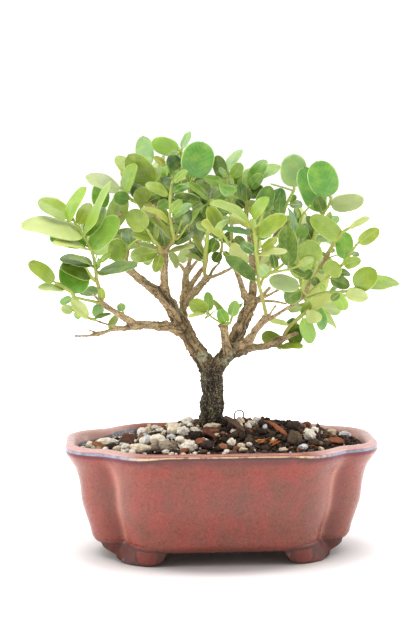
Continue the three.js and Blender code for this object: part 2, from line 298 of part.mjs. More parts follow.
    stems: [[[63.2,-33.2,182.8,1.26],[63.4,-27.5,192.3,1.22],[65.6,-24.9,204.3,1.16],[68.1,-25.1,216.5,0.96],[75.6,-25.6,228.6,0.96],[76.9,-25.7,232.5,0.83]]],
    leaves: [
      [76.7,-25.7,231.8,76.2,-25.4,234.3,67.9,-21.6,256.3,-0.18,-0.98,0.1,19.2,0.057,0.1],
      [76.1,-25.7,230.2,76.8,-26.3,228.7,96.9,-33,232,-0.32,-0.95,0.03,11.5,0.052,0.1],
      [71.8,-25.3,222.5,71,-26,224.5,67.3,-29.6,234.5,-0.01,-0.94,-0.34,8.9,0.028,0.11],
      [72,-25.4,222.8,69.9,-25.2,224.2,60.7,-12,252.6,0.26,-0.84,0.47,18.1,-0.02,0.07],
      [67.1,-25,211.9,65.9,-25.4,213.8,61.3,-26.9,221.7,0.32,-0.95,0,5.2,0.021,0.06],
      [65.7,-24.9,205,64.8,-23.7,206.7,60,-16.4,215.9,-0.19,-0.82,0.54,9,0.089,0.16],
      [66,-24.9,206.2,68.1,-24.2,206.6,77.8,-21.2,207.8,0.19,-0.82,0.55,5.7,0.023,0.16],
    ],
  },
  right_arch: {
    stems: [[[72.6,-34,195.1,1.51],[78.1,-39.8,207.1,1.14],[82,-42.9,212.3,1.07],[85.5,-44.6,214.9,0.82]],[[73,-34.5,196.1,0.57],[73.8,-35.3,195.4,0.57],[81.2,-33.1,197.1,0.45]]],
    leaves: [
      [78.9,-40.5,208.2,81.1,-41,208.4,61.7,-42.7,222.5,0.01,-0.99,-0.1,11.9,0.052,0.06],
      [84.3,-44,214,86,-44.9,215,97.7,-50.8,221.5,-0.6,-0.45,0.67,7.3,0.045,0.07],
      [73.8,-35.3,197.6,75.6,-34.5,199.1,78.2,-33.4,201,0.17,-0.93,0.32,3.2,0.063,0.11],
    ],
  },
  right_inner_up: {
    stems: [[[58.1,-33.4,173.9,1.01],[56.7,-29.8,181,0.96],[55.3,-25.5,192.2,0.9],[54.7,-24.1,202.4,0.9],[56,-24.2,210.1,0.83],[57,-25.7,217.8,0.77],[59.3,-27.2,223.6,0.7],[62.3,-28.9,227.5,0.64]],[[55.3,-25.5,192.2,1.15],[62.5,-5.4,194.5,1.02],[69.7,8.1,197.4,0.88],[76.4,17.6,201.4,0.75]],[[62.5,-5.4,194.5,0.85],[60.8,1.7,196.6,0.77],[59.1,8.9,197.4,0.7]]],
    leaves: [
      [54.8,-24.1,203,54.4,-23.7,204.5,51,-12.3,226.4,0.83,-0.44,0.35,12.8,0.068,0.08],
      [55.4,-24.1,206.3,56.3,-24.7,208.1,60.2,-27.2,215.4,-0.17,-0.95,-0.25,8.3,0.071,0.13],
      [54.9,-24.6,198.5,53.7,-23.5,199.8,47.8,-16.1,205.7,-0.48,-0.74,0.47,7.7,0.02,0.09],
      [57.3,-25.9,218.6,56.7,-26.3,220.4,54.7,-28,226.9,0.62,-0.78,0,3.5,0.064,0.16],
      [56.1,-27.9,185.9,55,-26.3,186.8,50.2,-19.4,190.4,-0.61,-0.66,0.45,5.8,0.025,0.07],
      [58.5,-16.5,193.2,60,-15.6,191.9,75.8,-0.1,187.3,-0.36,0.58,0.73,16.2,0.023,0.15],
      [58.5,-16.5,193.2,58,-15.1,194.9,52.2,-0.9,212.5,0.96,0.26,0.1,16.9,0.032,0.08],
      [62.8,-4.8,194.6,62,-3,194.2,54.6,12.5,190.1,0.41,0.41,0.82,12.7,0.074,0.14],
      [62.8,-4.8,194.6,64.4,-4.6,196.1,73.3,-3.6,207.6,-0.55,0.75,0.36,10.5,0.063,0.12],
      [67.2,3.4,196.4,69.1,3.9,196.1,85.2,3.2,181,0.52,0.67,0.53,15.9,0.031,0.07],
      [71.4,10.5,198.4,72.7,10.2,199.8,70.9,21,209.4,-0.98,-0.19,0.02,10.5,0.063,0.1],
      [71.4,10.5,198.4,72,12.2,197.8,74.8,21,187,0.03,0.77,0.63,10.2,0.026,0.06],
      [75.4,16.2,200.8,75.1,17.6,202,73.3,25.9,209.5,0.88,-0.2,0.43,8.2,0.065,0.12],
      [76,17.1,201.2,77.5,18.1,202.8,89,21.4,203.4,-0.2,0.56,0.81,8.6,0.061,0.13],
      [61.7,-1.8,195.5,60.6,-1.7,197.1,53.9,0.4,216.3,0.94,0.18,0.31,14.7,0.057,0.07],
      [60.5,2.9,196.7,61.4,4.1,197.9,68.9,14.1,208.5,-0.89,0.32,0.33,11.8,0.043,0.16],
      [59.4,7.7,197.3,60.2,9.2,196.8,55.2,24.2,201.8,-0.94,-0.33,0.02,11.9,0.015,0.08],
      [59.3,8.2,197.3,58.9,10.2,198.7,54.1,12.6,216.5,-0.57,-0.82,-0.04,13.4,0.005,0.14],
    ],
  },
  right_rise: {
    stems: [[[63.1,-38.7,184.9,1.08],[65.4,-40.3,189.5,0.95],[65.5,-41.7,192.8,0.76]]],
    leaves: [
      [65.5,-40.9,190.8,64.5,-41.2,192.6,57.3,-42.1,206.2,0.03,-1,-0.05,16.4,-0.017,0.11],
      [64.4,-39.6,187.4,62.8,-38.4,188.3,58.7,-33,191.4,-0.69,-0.68,0.25,5.1,-0.012,0.06],
      [63.4,-38.9,185.5,64.2,-37.6,183.4,67.8,-33.4,177.4,0.18,-0.85,-0.49,5.7,0.033,0.09],
      [65.1,-40.1,188.9,66.8,-38.7,188.5,72.2,-33.7,187,0.65,-0.75,-0.12,5.1,0.064,0.12],
    ],
  },
  right_shade: {
    stems: [[[57.8,-38.3,174.1,1.02],[56.5,-41.1,178.2,0.95],[56.7,-43.9,181.6,0.76]]],
    leaves: [
      [56.7,-40.7,177.6,54.5,-41.5,178.4,34.9,-46.3,182.6,0.3,-0.87,0.38,11.5,0.022,0.05],
      [56.9,-40.2,176.9,55.6,-39,175.6,46.6,-34.7,167.9,-0.45,-0.89,0.03,10.8,0.047,0.15],
      [56.7,-43.4,181.1,57.8,-42.7,182.7,62.2,-39.9,188.1,0.04,-0.9,0.43,5.7,0.009,0.09],
    ],
  },
  right_bend: {
    stems: [[[61.9,-37.2,173.6,1.07],[65.3,-37.5,176.5,0.95],[73.1,-40.9,183.8,0.82],[75.6,-41.1,186.3,0.76],[81,-42.9,190.9,0.88],[89.7,-50.5,205.2,0.69]]],
    leaves: [
      [72.4,-40.6,183.2,73.4,-41.2,184.8,78.1,-44.5,193.5,-0.31,-0.93,-0.18,12.6,0.073,0.15],
      [72.6,-40.7,183.3,74.7,-40.6,182.8,87.7,-36.6,177.6,0.33,-0.94,0.1,8.9,-0.02,0.13],
      [75.1,-41,185.8,77,-40.2,185.8,88,-37.6,185.1,0.2,-0.63,0.75,6.8,0.113,0.07],
      [82.6,-44.3,193.5,82.7,-44,195.5,84.5,-35,211.9,-0.15,-0.86,0.49,11.4,-0.006,0.06],
      [89.4,-50.2,204.7,90.9,-51,205.9,102.7,-54.9,214.8,-0.3,-0.95,-0.03,8.7,0.06,0.14],
      [81.3,-43.2,191.4,82.8,-44.2,191.8,91.8,-53.7,195.5,-0.71,-0.7,-0.06,7.6,0.12,0.1],
      [85.6,-46.9,198.5,87.2,-46,198.3,92.8,-41.4,198.2,0.55,-0.66,0.51,3.8,0.024,0.15],
    ],
  },
  right_reach: {
    stems: [[[60.8,-35.5,169.8,1.01],[66.6,-33.4,171.6,0.96],[72.9,-33.8,173.2,0.96],[78.4,-35.7,173.7,0.96],[84.3,-38.9,174.3,0.83],[89.2,-40.7,176,0.76]]],
    leaves: [
      [88.5,-40.4,175.8,90.5,-41.2,177.3,102.7,-45.2,188.4,-0.39,-0.92,0.1,14.6,0.101,0.16],
      [88.5,-40.4,175.8,98.7,-40.9,176.6,119.2,-31.2,179.7,0.03,-0.37,0.93,19.2,0.071,0.12],
      [83.2,-38.2,174.1,84.9,-39.3,173.7,97,-51.6,171.2,-0.67,-0.71,0.22,8.9,0.027,0.07],
      [82.5,-37.9,174.1,81.1,-37,172.8,76.2,-34.8,168.4,-0.31,-0.94,-0.12,5.1,0.027,0.13],
      [77.8,-35.4,173.6,79.5,-34.9,172,87.1,-27.4,161.2,0.21,-0.87,-0.45,8.3,0.035,0.13],
      [72.3,-33.8,173,71.4,-34.9,174.7,69,-38.2,179.7,0.11,-0.86,-0.5,3.8,0.05,0.1],
    ],
  },
  right_low: {
    stems: [[[50.4,-9,144.6,1.23],[52.9,-10.7,149,1.18],[65.2,-16.4,161.4,1.04],[70.1,-18.2,165.5,0.84]]],
    leaves: [
      [64,-15.9,160.2,65.8,-16.9,161.2,79.8,-29.3,170.3,-0.73,-0.46,0.5,11.3,0.113,0.07],
      [68.7,-17.7,164.3,69.3,-17.4,162.3,73.3,-18,147,0.39,-0.91,0.14,9.2,0.118,0.07],
      [60.6,-14.3,156.8,62.5,-15.4,156.7,71.2,-29.1,156.7,-0.84,-0.54,-0.02,9.1,0.12,0.1],
      [60,-14,156.2,60.9,-13.1,154.1,67.8,-8.5,137.4,0.33,-0.94,-0.12,10.5,0.04,0.07],
      [57,-12.6,153.2,57,-11.5,151.1,56.3,0.5,135.1,-0.44,-0.73,-0.53,11.8,0.002,0.09],
      [58.3,-13.2,154.5,56.9,-11.6,153.4,51.8,-3.1,148.7,-0.7,-0.62,-0.34,5.2,0.008,0.05],
      [53.5,-11,149.7,51.3,-11.5,150.2,39.3,-14.5,152.9,0.31,-0.52,0.79,6.3,0.043,0.11],
      [59.3,-13.7,155.5,60.5,-12.2,157.2,64.8,-12.8,165.8,0.37,-0.89,-0.24,7.9,0.093,0.15],
      [65.7,-16.6,161.8,67.2,-15.8,160.5,85.3,-1.1,146.2,0.74,-0.38,0.55,13,0.057,0.15],
    ],
  },
  low_right_knob: {
    stems: [[[45.8,-6.9,134.4,0.67],[46.1,-7.2,134.1,0.66]]],
    leaves: [
      [46,-7,134.3,47.3,-7.3,134.8,61,-15,136,-0.29,-0.38,0.88,8.4,0.08,0.1],
      [46,-7,134.3,48.7,-2.4,136.1,36.4,6.4,141.8,-0.43,-0.83,0.36,10,0.051,0.09],
    ],
  },
  front_shoot: {
    stems: [[[34,-35.2,161.1,1.21],[28,-48.8,181,1.19],[25.8,-59.9,198.1,1.11],[23.7,-68.1,212.3,1.22],[20.6,-73.5,221.1,0.85]],[[22.9,-69.5,214.2,0.73],[26.4,-65.5,218.8,0.67],[28.5,-62.9,223,0.8],[29.9,-61.6,227.8,0.74]],[[28.6,-47.6,179.2,0.88],[29.3,-48.2,179,0.88],[30.8,-49,183.5,0.94],[33.9,-49.2,186.6,0.94],[48,-47.4,189.5,0.75],[53.1,-46.4,191.3,0.63]],[[35.8,-48.9,187.1,0.94],[47.8,-43.2,195.5,0.82],[53.2,-40.8,197.8,0.63]]],
    leaves: [
      [27.8,-49.7,182.4,25.9,-50.2,183.7,6.3,-56.1,197.4,0.57,-0.6,0.56,13.8,0.044,0.05],
      [25.6,-60.6,199.4,27.7,-61.6,199.7,43.2,-69.9,201.9,-0.3,-0.32,0.9,8.9,0.068,0.08],
      [23.9,-67.3,210.8,25.8,-67.7,212.2,41.7,-76.8,224.2,-0.61,-0.75,0.25,11.5,0.06,0.1],
      [20.8,-73.2,220.5,21.8,-74.2,222.7,30.8,-80,235.3,-0.72,-0.66,0.22,9.3,0.1,0.13],
      [21,-72.8,219.9,19.2,-72.9,220.8,-4.4,-74.4,232.1,0.42,-0.37,0.83,14.6,0.12,0.1],
      [22.5,-70.2,215.7,20.7,-69.5,216.8,8.6,-64.6,224.4,0.22,-0.62,0.75,8.4,0.042,0.12],
      [23.3,-68.7,213.2,21.1,-69.5,213.6,4.6,-75.4,216.4,0.28,-0.36,0.89,9.9,0.03,0.05],
      [25.5,-61,200.1,24.1,-59.5,201.1,16.6,-52.2,206.3,-0.51,-0.78,0.36,6.8,0.056,0.11],
      [26.4,-56.9,193.5,27.8,-55.6,192.2,32.8,-53,186.9,-0.42,0.91,0.05,8.1,-0.02,0.1],
      [24.2,-66.2,208.9,25.9,-64.5,209.7,34.8,-56.4,213.4,0.25,-0.61,0.75,7,0.067,0.05],
      [23.8,-67.7,211.6,24.7,-66.1,213.2,30.3,-52.4,221.2,-0.77,-0.06,0.64,7.2,0.024,0.12],
      [25.2,-62.1,201.9,28.7,-61.8,202.6,38.3,-58.9,209.8,-0.04,-0.91,0.42,5.7,0.06,0.1],
      [47.3,-47.5,189.4,47.2,-47.2,191.4,45.9,-42.8,216.3,0.35,-0.92,0.18,14.2,0.034,0.06],
      [47.3,-47.5,189.4,49.6,-46.7,188.8,58.6,-44.4,184.8,0.44,-0.7,0.57,6.4,-0.008,0.09],
      [39.1,-48.6,187.7,38.7,-47.3,189.5,37.3,-41.4,198.6,0.18,-0.81,0.56,6.1,0.04,0.11],
      [52.5,-46.6,191.1,54.1,-45.7,191.7,63.4,-44.3,196.2,-0.22,-0.69,0.69,6.7,0.039,0.09],
    ],
  },
  callus_left: {
    stems: [[[4.6,-27.4,154.4,0.64],[-2.3,-29.7,160.2,0.57]],[[-1.9,-29.5,159.8,0.38],[-4.3,-31,156.8,0.38],[-0.9,-28.4,158.7,0.45],[2.4,-27.2,161.5,0.38]]],
    leaves: [
      [-1.8,-29.5,159.7,-3.4,-29.9,160.9,-13.8,-30.8,168,-0.04,-0.98,-0.18,10.5,-0.02,0.11],
      [-1.8,-29.5,159.7,-2,-28.7,161.4,-1.8,-22.6,173,0.42,-0.81,0.42,7.3,0.02,0.09],
      [-1.8,-29.5,159.7,-3.5,-30.4,159.7,-15.2,-45.2,159.2,0.07,-0.09,0.99,7.3,0.057,0.09],
    ],
  },
  callus_right: {
    stems: [[[9.5,-28,152.9,0.82],[11.8,-29.3,153.6,0.77],[12.8,-29.4,156.8,0.64]]],
    leaves: [
      [11.2,-29,153.4,10.3,-29.5,155,2.7,-17.1,167.5,0.62,-0.33,0.71,9.6,-0.02,0.11],
      [10.1,-28.3,153.1,8.7,-29,154.4,4.6,-35.6,163.3,0.2,-0.83,-0.52,7.7,0.057,0.13],
      [12.6,-29.4,156.1,13,-29.8,158,15.4,-31.9,168.3,-0.16,-0.97,-0.17,7.3,0.077,0.09],
      [12.6,-29.4,156.1,13.9,-28.8,158.1,20.5,-25.4,166,-0.67,-0.27,0.69,6.1,0.059,0.1],
    ],
  },
  back_left_upper: {
    stems: [[[-39.3,54.7,218.9,1.14],[-43.4,58.6,225.5,1.02],[-47.5,60.9,232.9,0.88],[-50.9,61.1,238.4,0.75]]],
    leaves: [
      [-41.4,56.7,222.2,-40.9,57.8,224,-36.7,67.3,239.3,-0.84,-0.33,0.44,13.3,0.045,0.05],
      [-44.7,59.3,227.8,-44.2,58.6,229.7,-40,53.3,245.4,-0.69,0.61,0.39,12.3,0.046,0.16],
      [-47.8,60.9,233.5,-49.4,60,233.8,-62.6,53,237.9,0.15,0.28,0.95,11.2,0.053,0.08],
      [-50.2,61.1,237.4,-49.6,60.3,239,-45.3,55.1,249.9,-0.75,0.44,0.5,9.2,0.074,0.15],
      [-50.5,61.1,237.9,-52.1,60.9,239.8,-53.9,75.1,242.2,0.99,0.11,0.11,10.4,-0.002,0.07],
      [-50.5,61.1,237.9,-51.1,61.6,240.2,-54.7,60.5,251.1,0.6,-0.79,0.12,8.3,0.037,0.1],
    ],
  },
  back_left_side: {
    stems: [[[-54,51.4,205,1.14],[-60.1,52.8,208.6,1.02],[-66.9,52.3,212.8,0.88],[-71.7,50.6,216.3,0.75]],[[-63.6,52.5,210.8,0.85],[-67.7,58.3,202.8,0.7]]],
    leaves: [
      [-57.2,52.1,206.9,-58.9,50.8,206.9,-74.7,39.3,207.2,-0.24,0.35,0.91,14.1,0.05,0.08],
      [-57.2,52.1,206.9,-57.7,53.3,208.6,-61.3,70,225.1,-0.8,-0.5,0.33,17.1,0.029,0.15],
      [-62.3,52.6,210,-62.5,51.5,211.7,-62.2,38.8,224,-0.68,0.5,0.53,12.7,0.053,0.12],
      [-67.5,52.1,213.2,-67.7,53.1,214.7,-76.8,52,225.2,-0.56,-0.62,-0.55,10,0.112,0.12],
      [-67.5,52.1,213.2,-68.2,50.5,213.6,-80.6,35.7,216.6,-0.29,0.42,0.86,14.1,0.067,0.09],
      [-64.4,53.7,209.1,-65.6,53,207.6,-88.4,41.3,203.3,-0.3,0.24,0.92,18.7,0.046,0.09],
      [-64.4,53.7,209.1,-64.4,55.5,209.6,-71.1,66.2,228.8,-0.91,-0.39,-0.1,16.5,0.12,0.09],
      [-65.7,55.6,206.6,-65.1,56.3,205.2,-61.9,59.9,188,-0.83,0.56,-0.03,12.9,0.041,0.14],
      [-67.3,57.8,203.6,-68.3,57.2,202.3,-73.6,54.1,188.4,-0.93,0.19,0.31,10.9,0.026,0.06],
      [-67.4,58,203.4,-69,59.3,202.1,-77,65.4,197.1,0,0.63,0.78,8.1,0.032,0.09],
    ],
  },
  back_left_crown: {
    stems: [[[-18.4,48.6,229.7,1.14],[-15.9,45.5,245.6,0.88],[-14,42.4,252.4,0.75]],[[-17.1,47.6,237.4,0.85],[-21,51.4,240.7,0.77],[-24.9,55.2,242.7,0.7]]],
    leaves: [
      [-17.9,48,232.9,-17.2,49.7,234.4,-9.3,65.3,249.2,-0.15,-0.64,0.76,16.5,0.017,0.14],
      [-17.1,47.1,237.7,-15.4,46.5,238.7,-0.2,37.8,247.3,-0.41,0.16,0.9,14,0.061,0.13],
      [-17.1,47.1,237.7,-18.2,47.2,239.6,-27.2,45.2,253.8,0.85,-0.03,0.53,12.2,0.032,0.06],
      [-16.3,46.1,242.7,-16.1,47.6,244.2,-22.2,58.9,255.6,0.59,-0.39,0.71,12.3,0.062,0.1],
      [-14.3,42.8,251.4,-12.7,42.4,252.3,1.4,38.4,260.7,-0.53,-0.09,0.85,12.1,0.034,0.15],
      [-14.3,42.8,251.4,-15.3,42.6,252.9,-22.9,40.6,263.8,0.82,-0.17,0.54,9.6,0.05,0.06],
      [-14.2,42.6,251.8,-13.8,42.5,254.3,-16.6,55.3,265.9,0.83,-0.26,0.49,12.6,0.046,0.11],
      [-14.2,42.6,251.8,-13.6,40.9,253.6,-10.4,24.3,256,-0.48,0.04,0.88,12.3,0.068,0.1],
      [-19.1,49.5,239.1,-20.5,49,240.2,-33.8,57.1,228.6,-0.23,-0.9,-0.37,14,0.065,0.16],
      [-21.7,52,241,-22.9,53.3,240.4,-32.5,72,253.4,0.61,0.64,-0.47,17.8,-0.02,0.08],
      [-24.3,54.6,242.3,-26.1,54.6,242.5,-37.7,53.9,243.7,0.08,-0.97,0.21,8.4,0.03,0.12],
      [-24.5,54.7,242.4,-26.2,56.5,242.7,-36.8,60.3,250,-0.29,-0.95,0.08,9.7,0.086,0.15],
      [-24.5,54.7,242.4,-25.6,56.1,244.1,-26.4,62.7,254.5,-0.51,-0.74,0.44,8.9,0.101,0.06],
    ],
  },
  back_left_rear: {
    stems: [[[-30.8,49.5,199.8,1.11],[-30.4,59.6,202.6,1.02],[-30.6,71.7,207.4,0.88],[-31,77.7,212.7,0.75]],[[-30.7,68.7,206.2,0.85],[-26,71.8,208.8,0.77],[-21.3,75,210,0.7]],[[-30.6,55.6,201.5,0.85],[-35.2,61,200.4,0.77],[-39.9,66.3,198,0.7]]],
    leaves: [
      [-30.7,51.9,200.4,-32,53.6,200.8,-43.8,53.5,211.3,0.6,-0.45,0.66,11.4,0,0.1],
      [-30.7,51.9,200.4,-29,52.5,201.7,-17.1,57.5,210.4,-0.61,0.63,0.48,11.3,0.097,0.15],
      [-30.4,60.3,202.9,-30.3,60.7,204.9,-29.1,66.7,226.1,-0.13,0.96,-0.26,15.9,0.039,0.12],
      [-30.4,60.3,202.9,-31.4,61.9,202,-26.5,77.6,189.8,0.81,0.18,0.56,14.8,0.053,0.09],
      [-30.5,67.4,205.7,-32.1,68.6,206.3,-46.1,79.4,211.2,0.52,0.31,0.8,13.2,0.042,0.06],
      [-30.7,73.2,208.7,-31.1,73.3,210.6,-35.3,74.3,228.5,0.41,0.91,0.04,13.2,0.077,0.06],
      [-28.4,70.2,207.5,-26.7,69.5,207.9,-9,77.8,208.1,0.26,-0.58,0.77,14.1,0.071,0.15],
      [-36,61.9,200,-36,62.6,198.3,-36.3,69.5,183,-0.58,0.74,0.34,12.1,0.078,0.09],
      [-39.1,65.4,198.4,-39.1,67.1,199,-39.7,82.8,198.7,-0.88,-0.03,0.47,11.3,0.056,0.12],
      [-39.1,65.4,198.4,-40.9,65.1,198.3,-55.1,62.1,197.6,-0.19,0.79,0.59,10.5,0.059,0.08],
      [-39.4,65.8,198.3,-40.8,67.6,197.1,-46.5,65.9,183.8,-0.74,0.63,0.24,10.5,0.049,0.08],
    ],
  },
  back_right_rear: {
    stems: [[[38.9,53.7,204.9,1.13],[42,60.3,209.2,1.02],[45.3,65.1,215.9,0.88],[48.1,65.8,222.8,0.75]],[[42,60.3,209.2,0.85],[46.6,64,208.2,0.77],[51.2,67.6,205.9,0.7]]],
    leaves: [
      [40,56,206.4,40.9,56.2,208.3,50,58.3,227.4,-0.4,0.91,0.09,15.3,0.051,0.11],
      [44.1,63.4,213.5,44.2,63.2,215.5,31.8,67.7,226.8,0.53,0.81,0.26,12.5,0.058,0.07],
      [47.7,65.7,221.7,46.9,65.7,223.4,40.9,65.8,237,0.91,0.09,0.41,10.6,0.043,0.13],
      [47.3,64.6,207.8,49,64,207.3,66.8,57.5,201,0.45,0.65,0.61,14.4,0.067,0.11],
      [50.4,67,206.3,52,67.1,207.3,64.7,67.5,215.5,-0.07,1,0.06,10.9,0.077,0.07],
    ],
  },
  back_right_crown: {
    stems: [[[29.5,48.3,220.5,1.13],[29,49.2,227.7,1.02],[28.7,47.2,236,0.88],[29.8,44.1,242.9,0.75]],[[29,49.2,227.7,0.85],[24.8,52.5,230.3,0.77],[20.6,55.8,231.6,0.7]],[[28.9,48.3,231.6,0.85],[28.9,49.2,231.8,0.85],[33.4,48.9,235.9,0.77],[37.8,48.6,238.6,0.7]]],
    leaves: [
      [28.9,49.1,228.4,27.8,47.8,229.4,19.7,37.7,238.3,0.26,0.52,0.82,11.3,0.07,0.14],
      [28.8,47.9,233.1,29.6,46.4,234.2,28.1,35.1,246.8,-0.2,0.74,0.64,12.3,0.041,0.05],
      [29,46.5,237.7,30.1,47.1,239.2,19.6,57.5,251.4,-0.78,-0.61,-0.15,13.8,0.102,0.08],
      [29,46.5,237.7,27.8,45.6,239,18.2,41.9,247.8,-0.06,-0.89,-0.45,9.8,0.009,0.13],
      [29.7,44.4,242.2,30.5,44.1,244.5,37.3,48.2,254,-0.8,-0.07,0.6,8.9,0.027,0.16],
      [26.9,50.9,229,26.2,50.2,230.7,10.7,47.1,229.6,-0.16,0.92,-0.36,11.4,0.059,0.16],
      [21.3,55.3,231.4,20,54.9,232.6,9,51.2,242.8,0.05,0.92,0.39,11.2,0.025,0.1],
      [21.1,55.4,231.4,19.7,56.9,232.7,11.2,70.9,236.6,-0.81,-0.55,0.2,12.1,0.022,0.07],
      [31.2,49.1,233.8,32.6,47.8,233.9,44.6,37.1,234.8,0.15,0.24,0.96,11.6,0.049,0.15],
      [31.2,49.1,233.8,31.3,50,235.5,38.8,66.6,250.8,0.94,-0.32,-0.12,17.1,-0.008,0.14],
      [34.1,48.8,236.3,35.9,49.4,236.3,55.1,46.8,234.5,0.1,0.03,0.99,14,0.012,0.08],
      [37.1,48.6,238.2,37.5,49,239.9,39.3,42.8,252.1,0.99,-0.03,-0.17,10,0.056,0.08],
      [37.2,48.6,238.3,38.6,48.2,240.2,41.4,49.9,256.5,0.98,0.13,-0.18,12,0.108,0.09],
    ],
  },
  back_right_side: {
    stems: [[[61,40.9,195.4,1.14],[67.5,41.4,199.2,1.02],[73.4,39.9,203.4,0.88],[79.2,37.5,208.9,0.75]],[[67.5,41.4,199.2,0.85],[67.1,48.4,190.4,0.7]],[[69.1,41,200.3,0.85],[69.5,41.2,199.9,0.85],[65.6,48.5,208.4,0.7]]],
    leaves: [
      [63.7,41.1,197,64.8,42.8,197.7,73.7,56.6,203.7,0.28,-0.53,0.8,12.6,0.069,0.1],
      [68,41.2,199.6,69.7,40.5,199.1,71.5,22.5,200.3,-0.04,0.06,1,13,-0.02,0.15],
      [68,41.2,199.6,67.9,41.4,201.5,69.4,42.8,219.5,0.92,-0.4,-0.05,13.1,0.081,0.05],
      [71.4,40.4,201.9,72.8,41.6,202.7,79.2,50.5,212.4,0.71,-0.69,0.16,10.6,0.008,0.1],
      [71.4,40.4,201.9,72.4,38.8,202.6,78.3,30.8,217.6,-0.73,0.45,0.52,13,0.09,0.14],
      [74.9,39.3,204.7,76.3,38,204.8,98.7,38.9,192.9,0.46,-0.23,0.86,18.3,0.003,0.14],
      [78.4,37.8,208.1,79.4,38.9,209.2,92.5,42.7,218.1,-0.34,-0.56,0.75,11.7,0.013,0.15],
      [78.8,37.7,208.5,79.9,36.9,210.6,85.4,27.6,221,0.92,0.33,-0.19,10.8,0.059,0.08],
      [67.4,42.9,197.2,65.6,43.9,197.3,49.9,48.6,193.1,0.2,0.94,0.27,12.2,0.026,0.14],
      [67.3,45.2,194.4,67.1,44.4,193.1,65.8,31.5,175,-0.13,0.81,-0.57,16.1,0.035,0.09],
      [67.3,45.2,194.4,67.2,47.3,194.6,67.1,67.6,194,-0.26,0.03,0.97,14.6,0.057,0.07],
      [67.1,47.8,191.2,68.4,49.1,191.2,77.2,56.6,190,-0.64,0.76,0.13,8.3,0.076,0.1],
      [67.1,48,191,67.1,50.1,189.8,60.9,62.6,184.9,0.82,0.5,0.26,10.7,0.05,0.1],
      [67.1,48,191,67,48.7,188.6,66.6,50.2,177.4,-0.05,0.99,0.14,8.2,0.054,0.15],
      [68.5,43.2,202.2,69.3,44.6,203,67.2,49.4,224.8,0.92,-0.35,0.16,16.1,-0.02,0.11],
      [68.5,43.2,202.2,67,43.1,203.4,52.9,41.2,211.5,0.5,0,0.87,11.8,0.037,0.15],
      [65.9,48,207.7,66.5,49.3,208.7,71.9,59.3,220.5,0.75,-0.63,0.19,11.8,-0.019,0.08],
      [65.8,48.1,207.9,65.5,49.2,210,64.3,53.9,223.7,-0.91,0.36,-0.21,10.5,0.031,0.09],
    ],
  },
  back_centre_crown: {
    stems: [[[2.4,53.4,213.5,1.13],[2.6,55.2,220.6,1.02],[3.3,55.1,228.9,0.88],[3.8,53.1,235.8,0.75]],[[2.6,55.2,222,0.85],[-1.4,57.5,225.4,0.77],[-5.4,59.8,227.4,0.7]],[[2.5,54.9,219.3,0.85],[7.3,57.8,221.9,0.77],[12,60.5,223.1,0.7]]],
    leaves: [
      [2.5,54.1,216.2,1.3,53,217.6,-8.7,44.2,229.7,0.43,0.53,0.74,13,0.027,0.08],
      [2.5,54.1,216.2,4.2,54.6,217.4,24.9,57.5,212.3,0.16,0.41,0.9,15.4,0.027,0.07],
      [2.6,55.2,221.3,3.4,53.9,222.6,-0.6,40.8,240.8,0.07,0.8,0.59,16.4,0.012,0.11],
      [3,55.1,226,4.3,55.5,227.5,13.5,59.5,233.9,-0.58,0.71,0.4,8.6,0.057,0.15],
      [3.4,54.6,230.6,3.3,55.5,232.4,3.6,63.5,246.2,0.87,-0.43,0.23,11.5,0.027,0.14],
      [3.4,54.6,230.6,3.9,53.1,231.8,5.7,39.3,242.8,0.24,0.62,0.74,12.8,0.111,0.15],
      [3.7,53.4,234.8,5.3,53.1,235.7,11,55.4,246.8,-0.89,0.13,0.43,9.2,0.103,0.13],
      [0.6,56.3,223.7,-1.3,56.6,223.8,-6.5,69.5,215.8,-0.43,0.34,0.84,11.5,0.12,0.05],
      [0.6,56.3,223.7,0.6,56.3,225.6,-6.4,64.1,246.4,-0.42,0.79,-0.44,16.8,0.002,0.08],
      [-2.1,57.9,225.7,-2.6,59.6,225.7,-13.8,71.1,221.6,-0.29,0.06,0.96,11.9,0.022,0.05],
      [-4.7,59.4,227,-6.3,60.1,226.4,-18.9,65.5,221.5,-0.28,0.2,0.94,10.5,0.072,0.09],
      [-4.9,59.5,227.1,-6.5,61,228.1,-12.4,73.3,226.7,-0.37,-0.07,0.93,9.9,0.059,0.1],
      [11.2,60.1,222.9,12.6,61,222.3,25.2,64.2,216.7,0.39,0.08,0.92,10.2,0.024,0.07],
      [11.4,60.2,223,13.7,60.3,223.6,27.5,50.4,220.8,0,-0.28,0.96,12.4,-0.004,0.05],
    ],
  },
  back_centre_rear: {
    stems: [[[-1.4,53.7,202,1.12],[0.4,63.4,203.6,1.02],[2.5,73.2,207.2,0.88],[4.3,79.1,212.5,0.75]],[[1.2,67.1,205,0.85],[0.6,67.3,204.7,0.85],[5.7,70,204.6,0.77],[10.9,72.6,203,0.7]],[[0.4,63.4,203.6,0.85],[-3.5,67.7,204.7,0.77],[-7.5,72,204.5,0.7]]],
    leaves: [
      [-0.8,56.8,202.5,-1.9,58.6,201.7,-12.3,72.5,183.8,-0.49,0.52,0.7,17.9,0.031,0.16],
      [0.5,64,203.8,-0.4,64.4,205.7,-21,51.2,213.3,0.47,-0.25,0.84,18.5,0.055,0.12],
      [0.5,64,203.8,1.9,65.3,203.6,5.2,79.6,197.4,-0.85,-0.03,-0.52,11.4,0.095,0.07],
      [1.7,69.8,205.9,3.2,70.1,207.3,17.2,73.5,220.7,-0.58,0.69,0.44,14.2,0.07,0.12],
      [6.6,70.4,204.3,8,69.6,203.4,28.2,63.4,192.1,0.53,0.31,0.79,17.2,0.088,0.06],
      [10.3,72.3,203.2,12.5,72.8,202.2,23.3,70.4,201,0.19,0.37,0.91,8,0.062,0.11],
      [-4.2,68.4,204.7,-5.5,68.4,206.1,-17.7,66.5,219.5,-0.37,0.9,-0.21,13.2,-0.014,0.11],
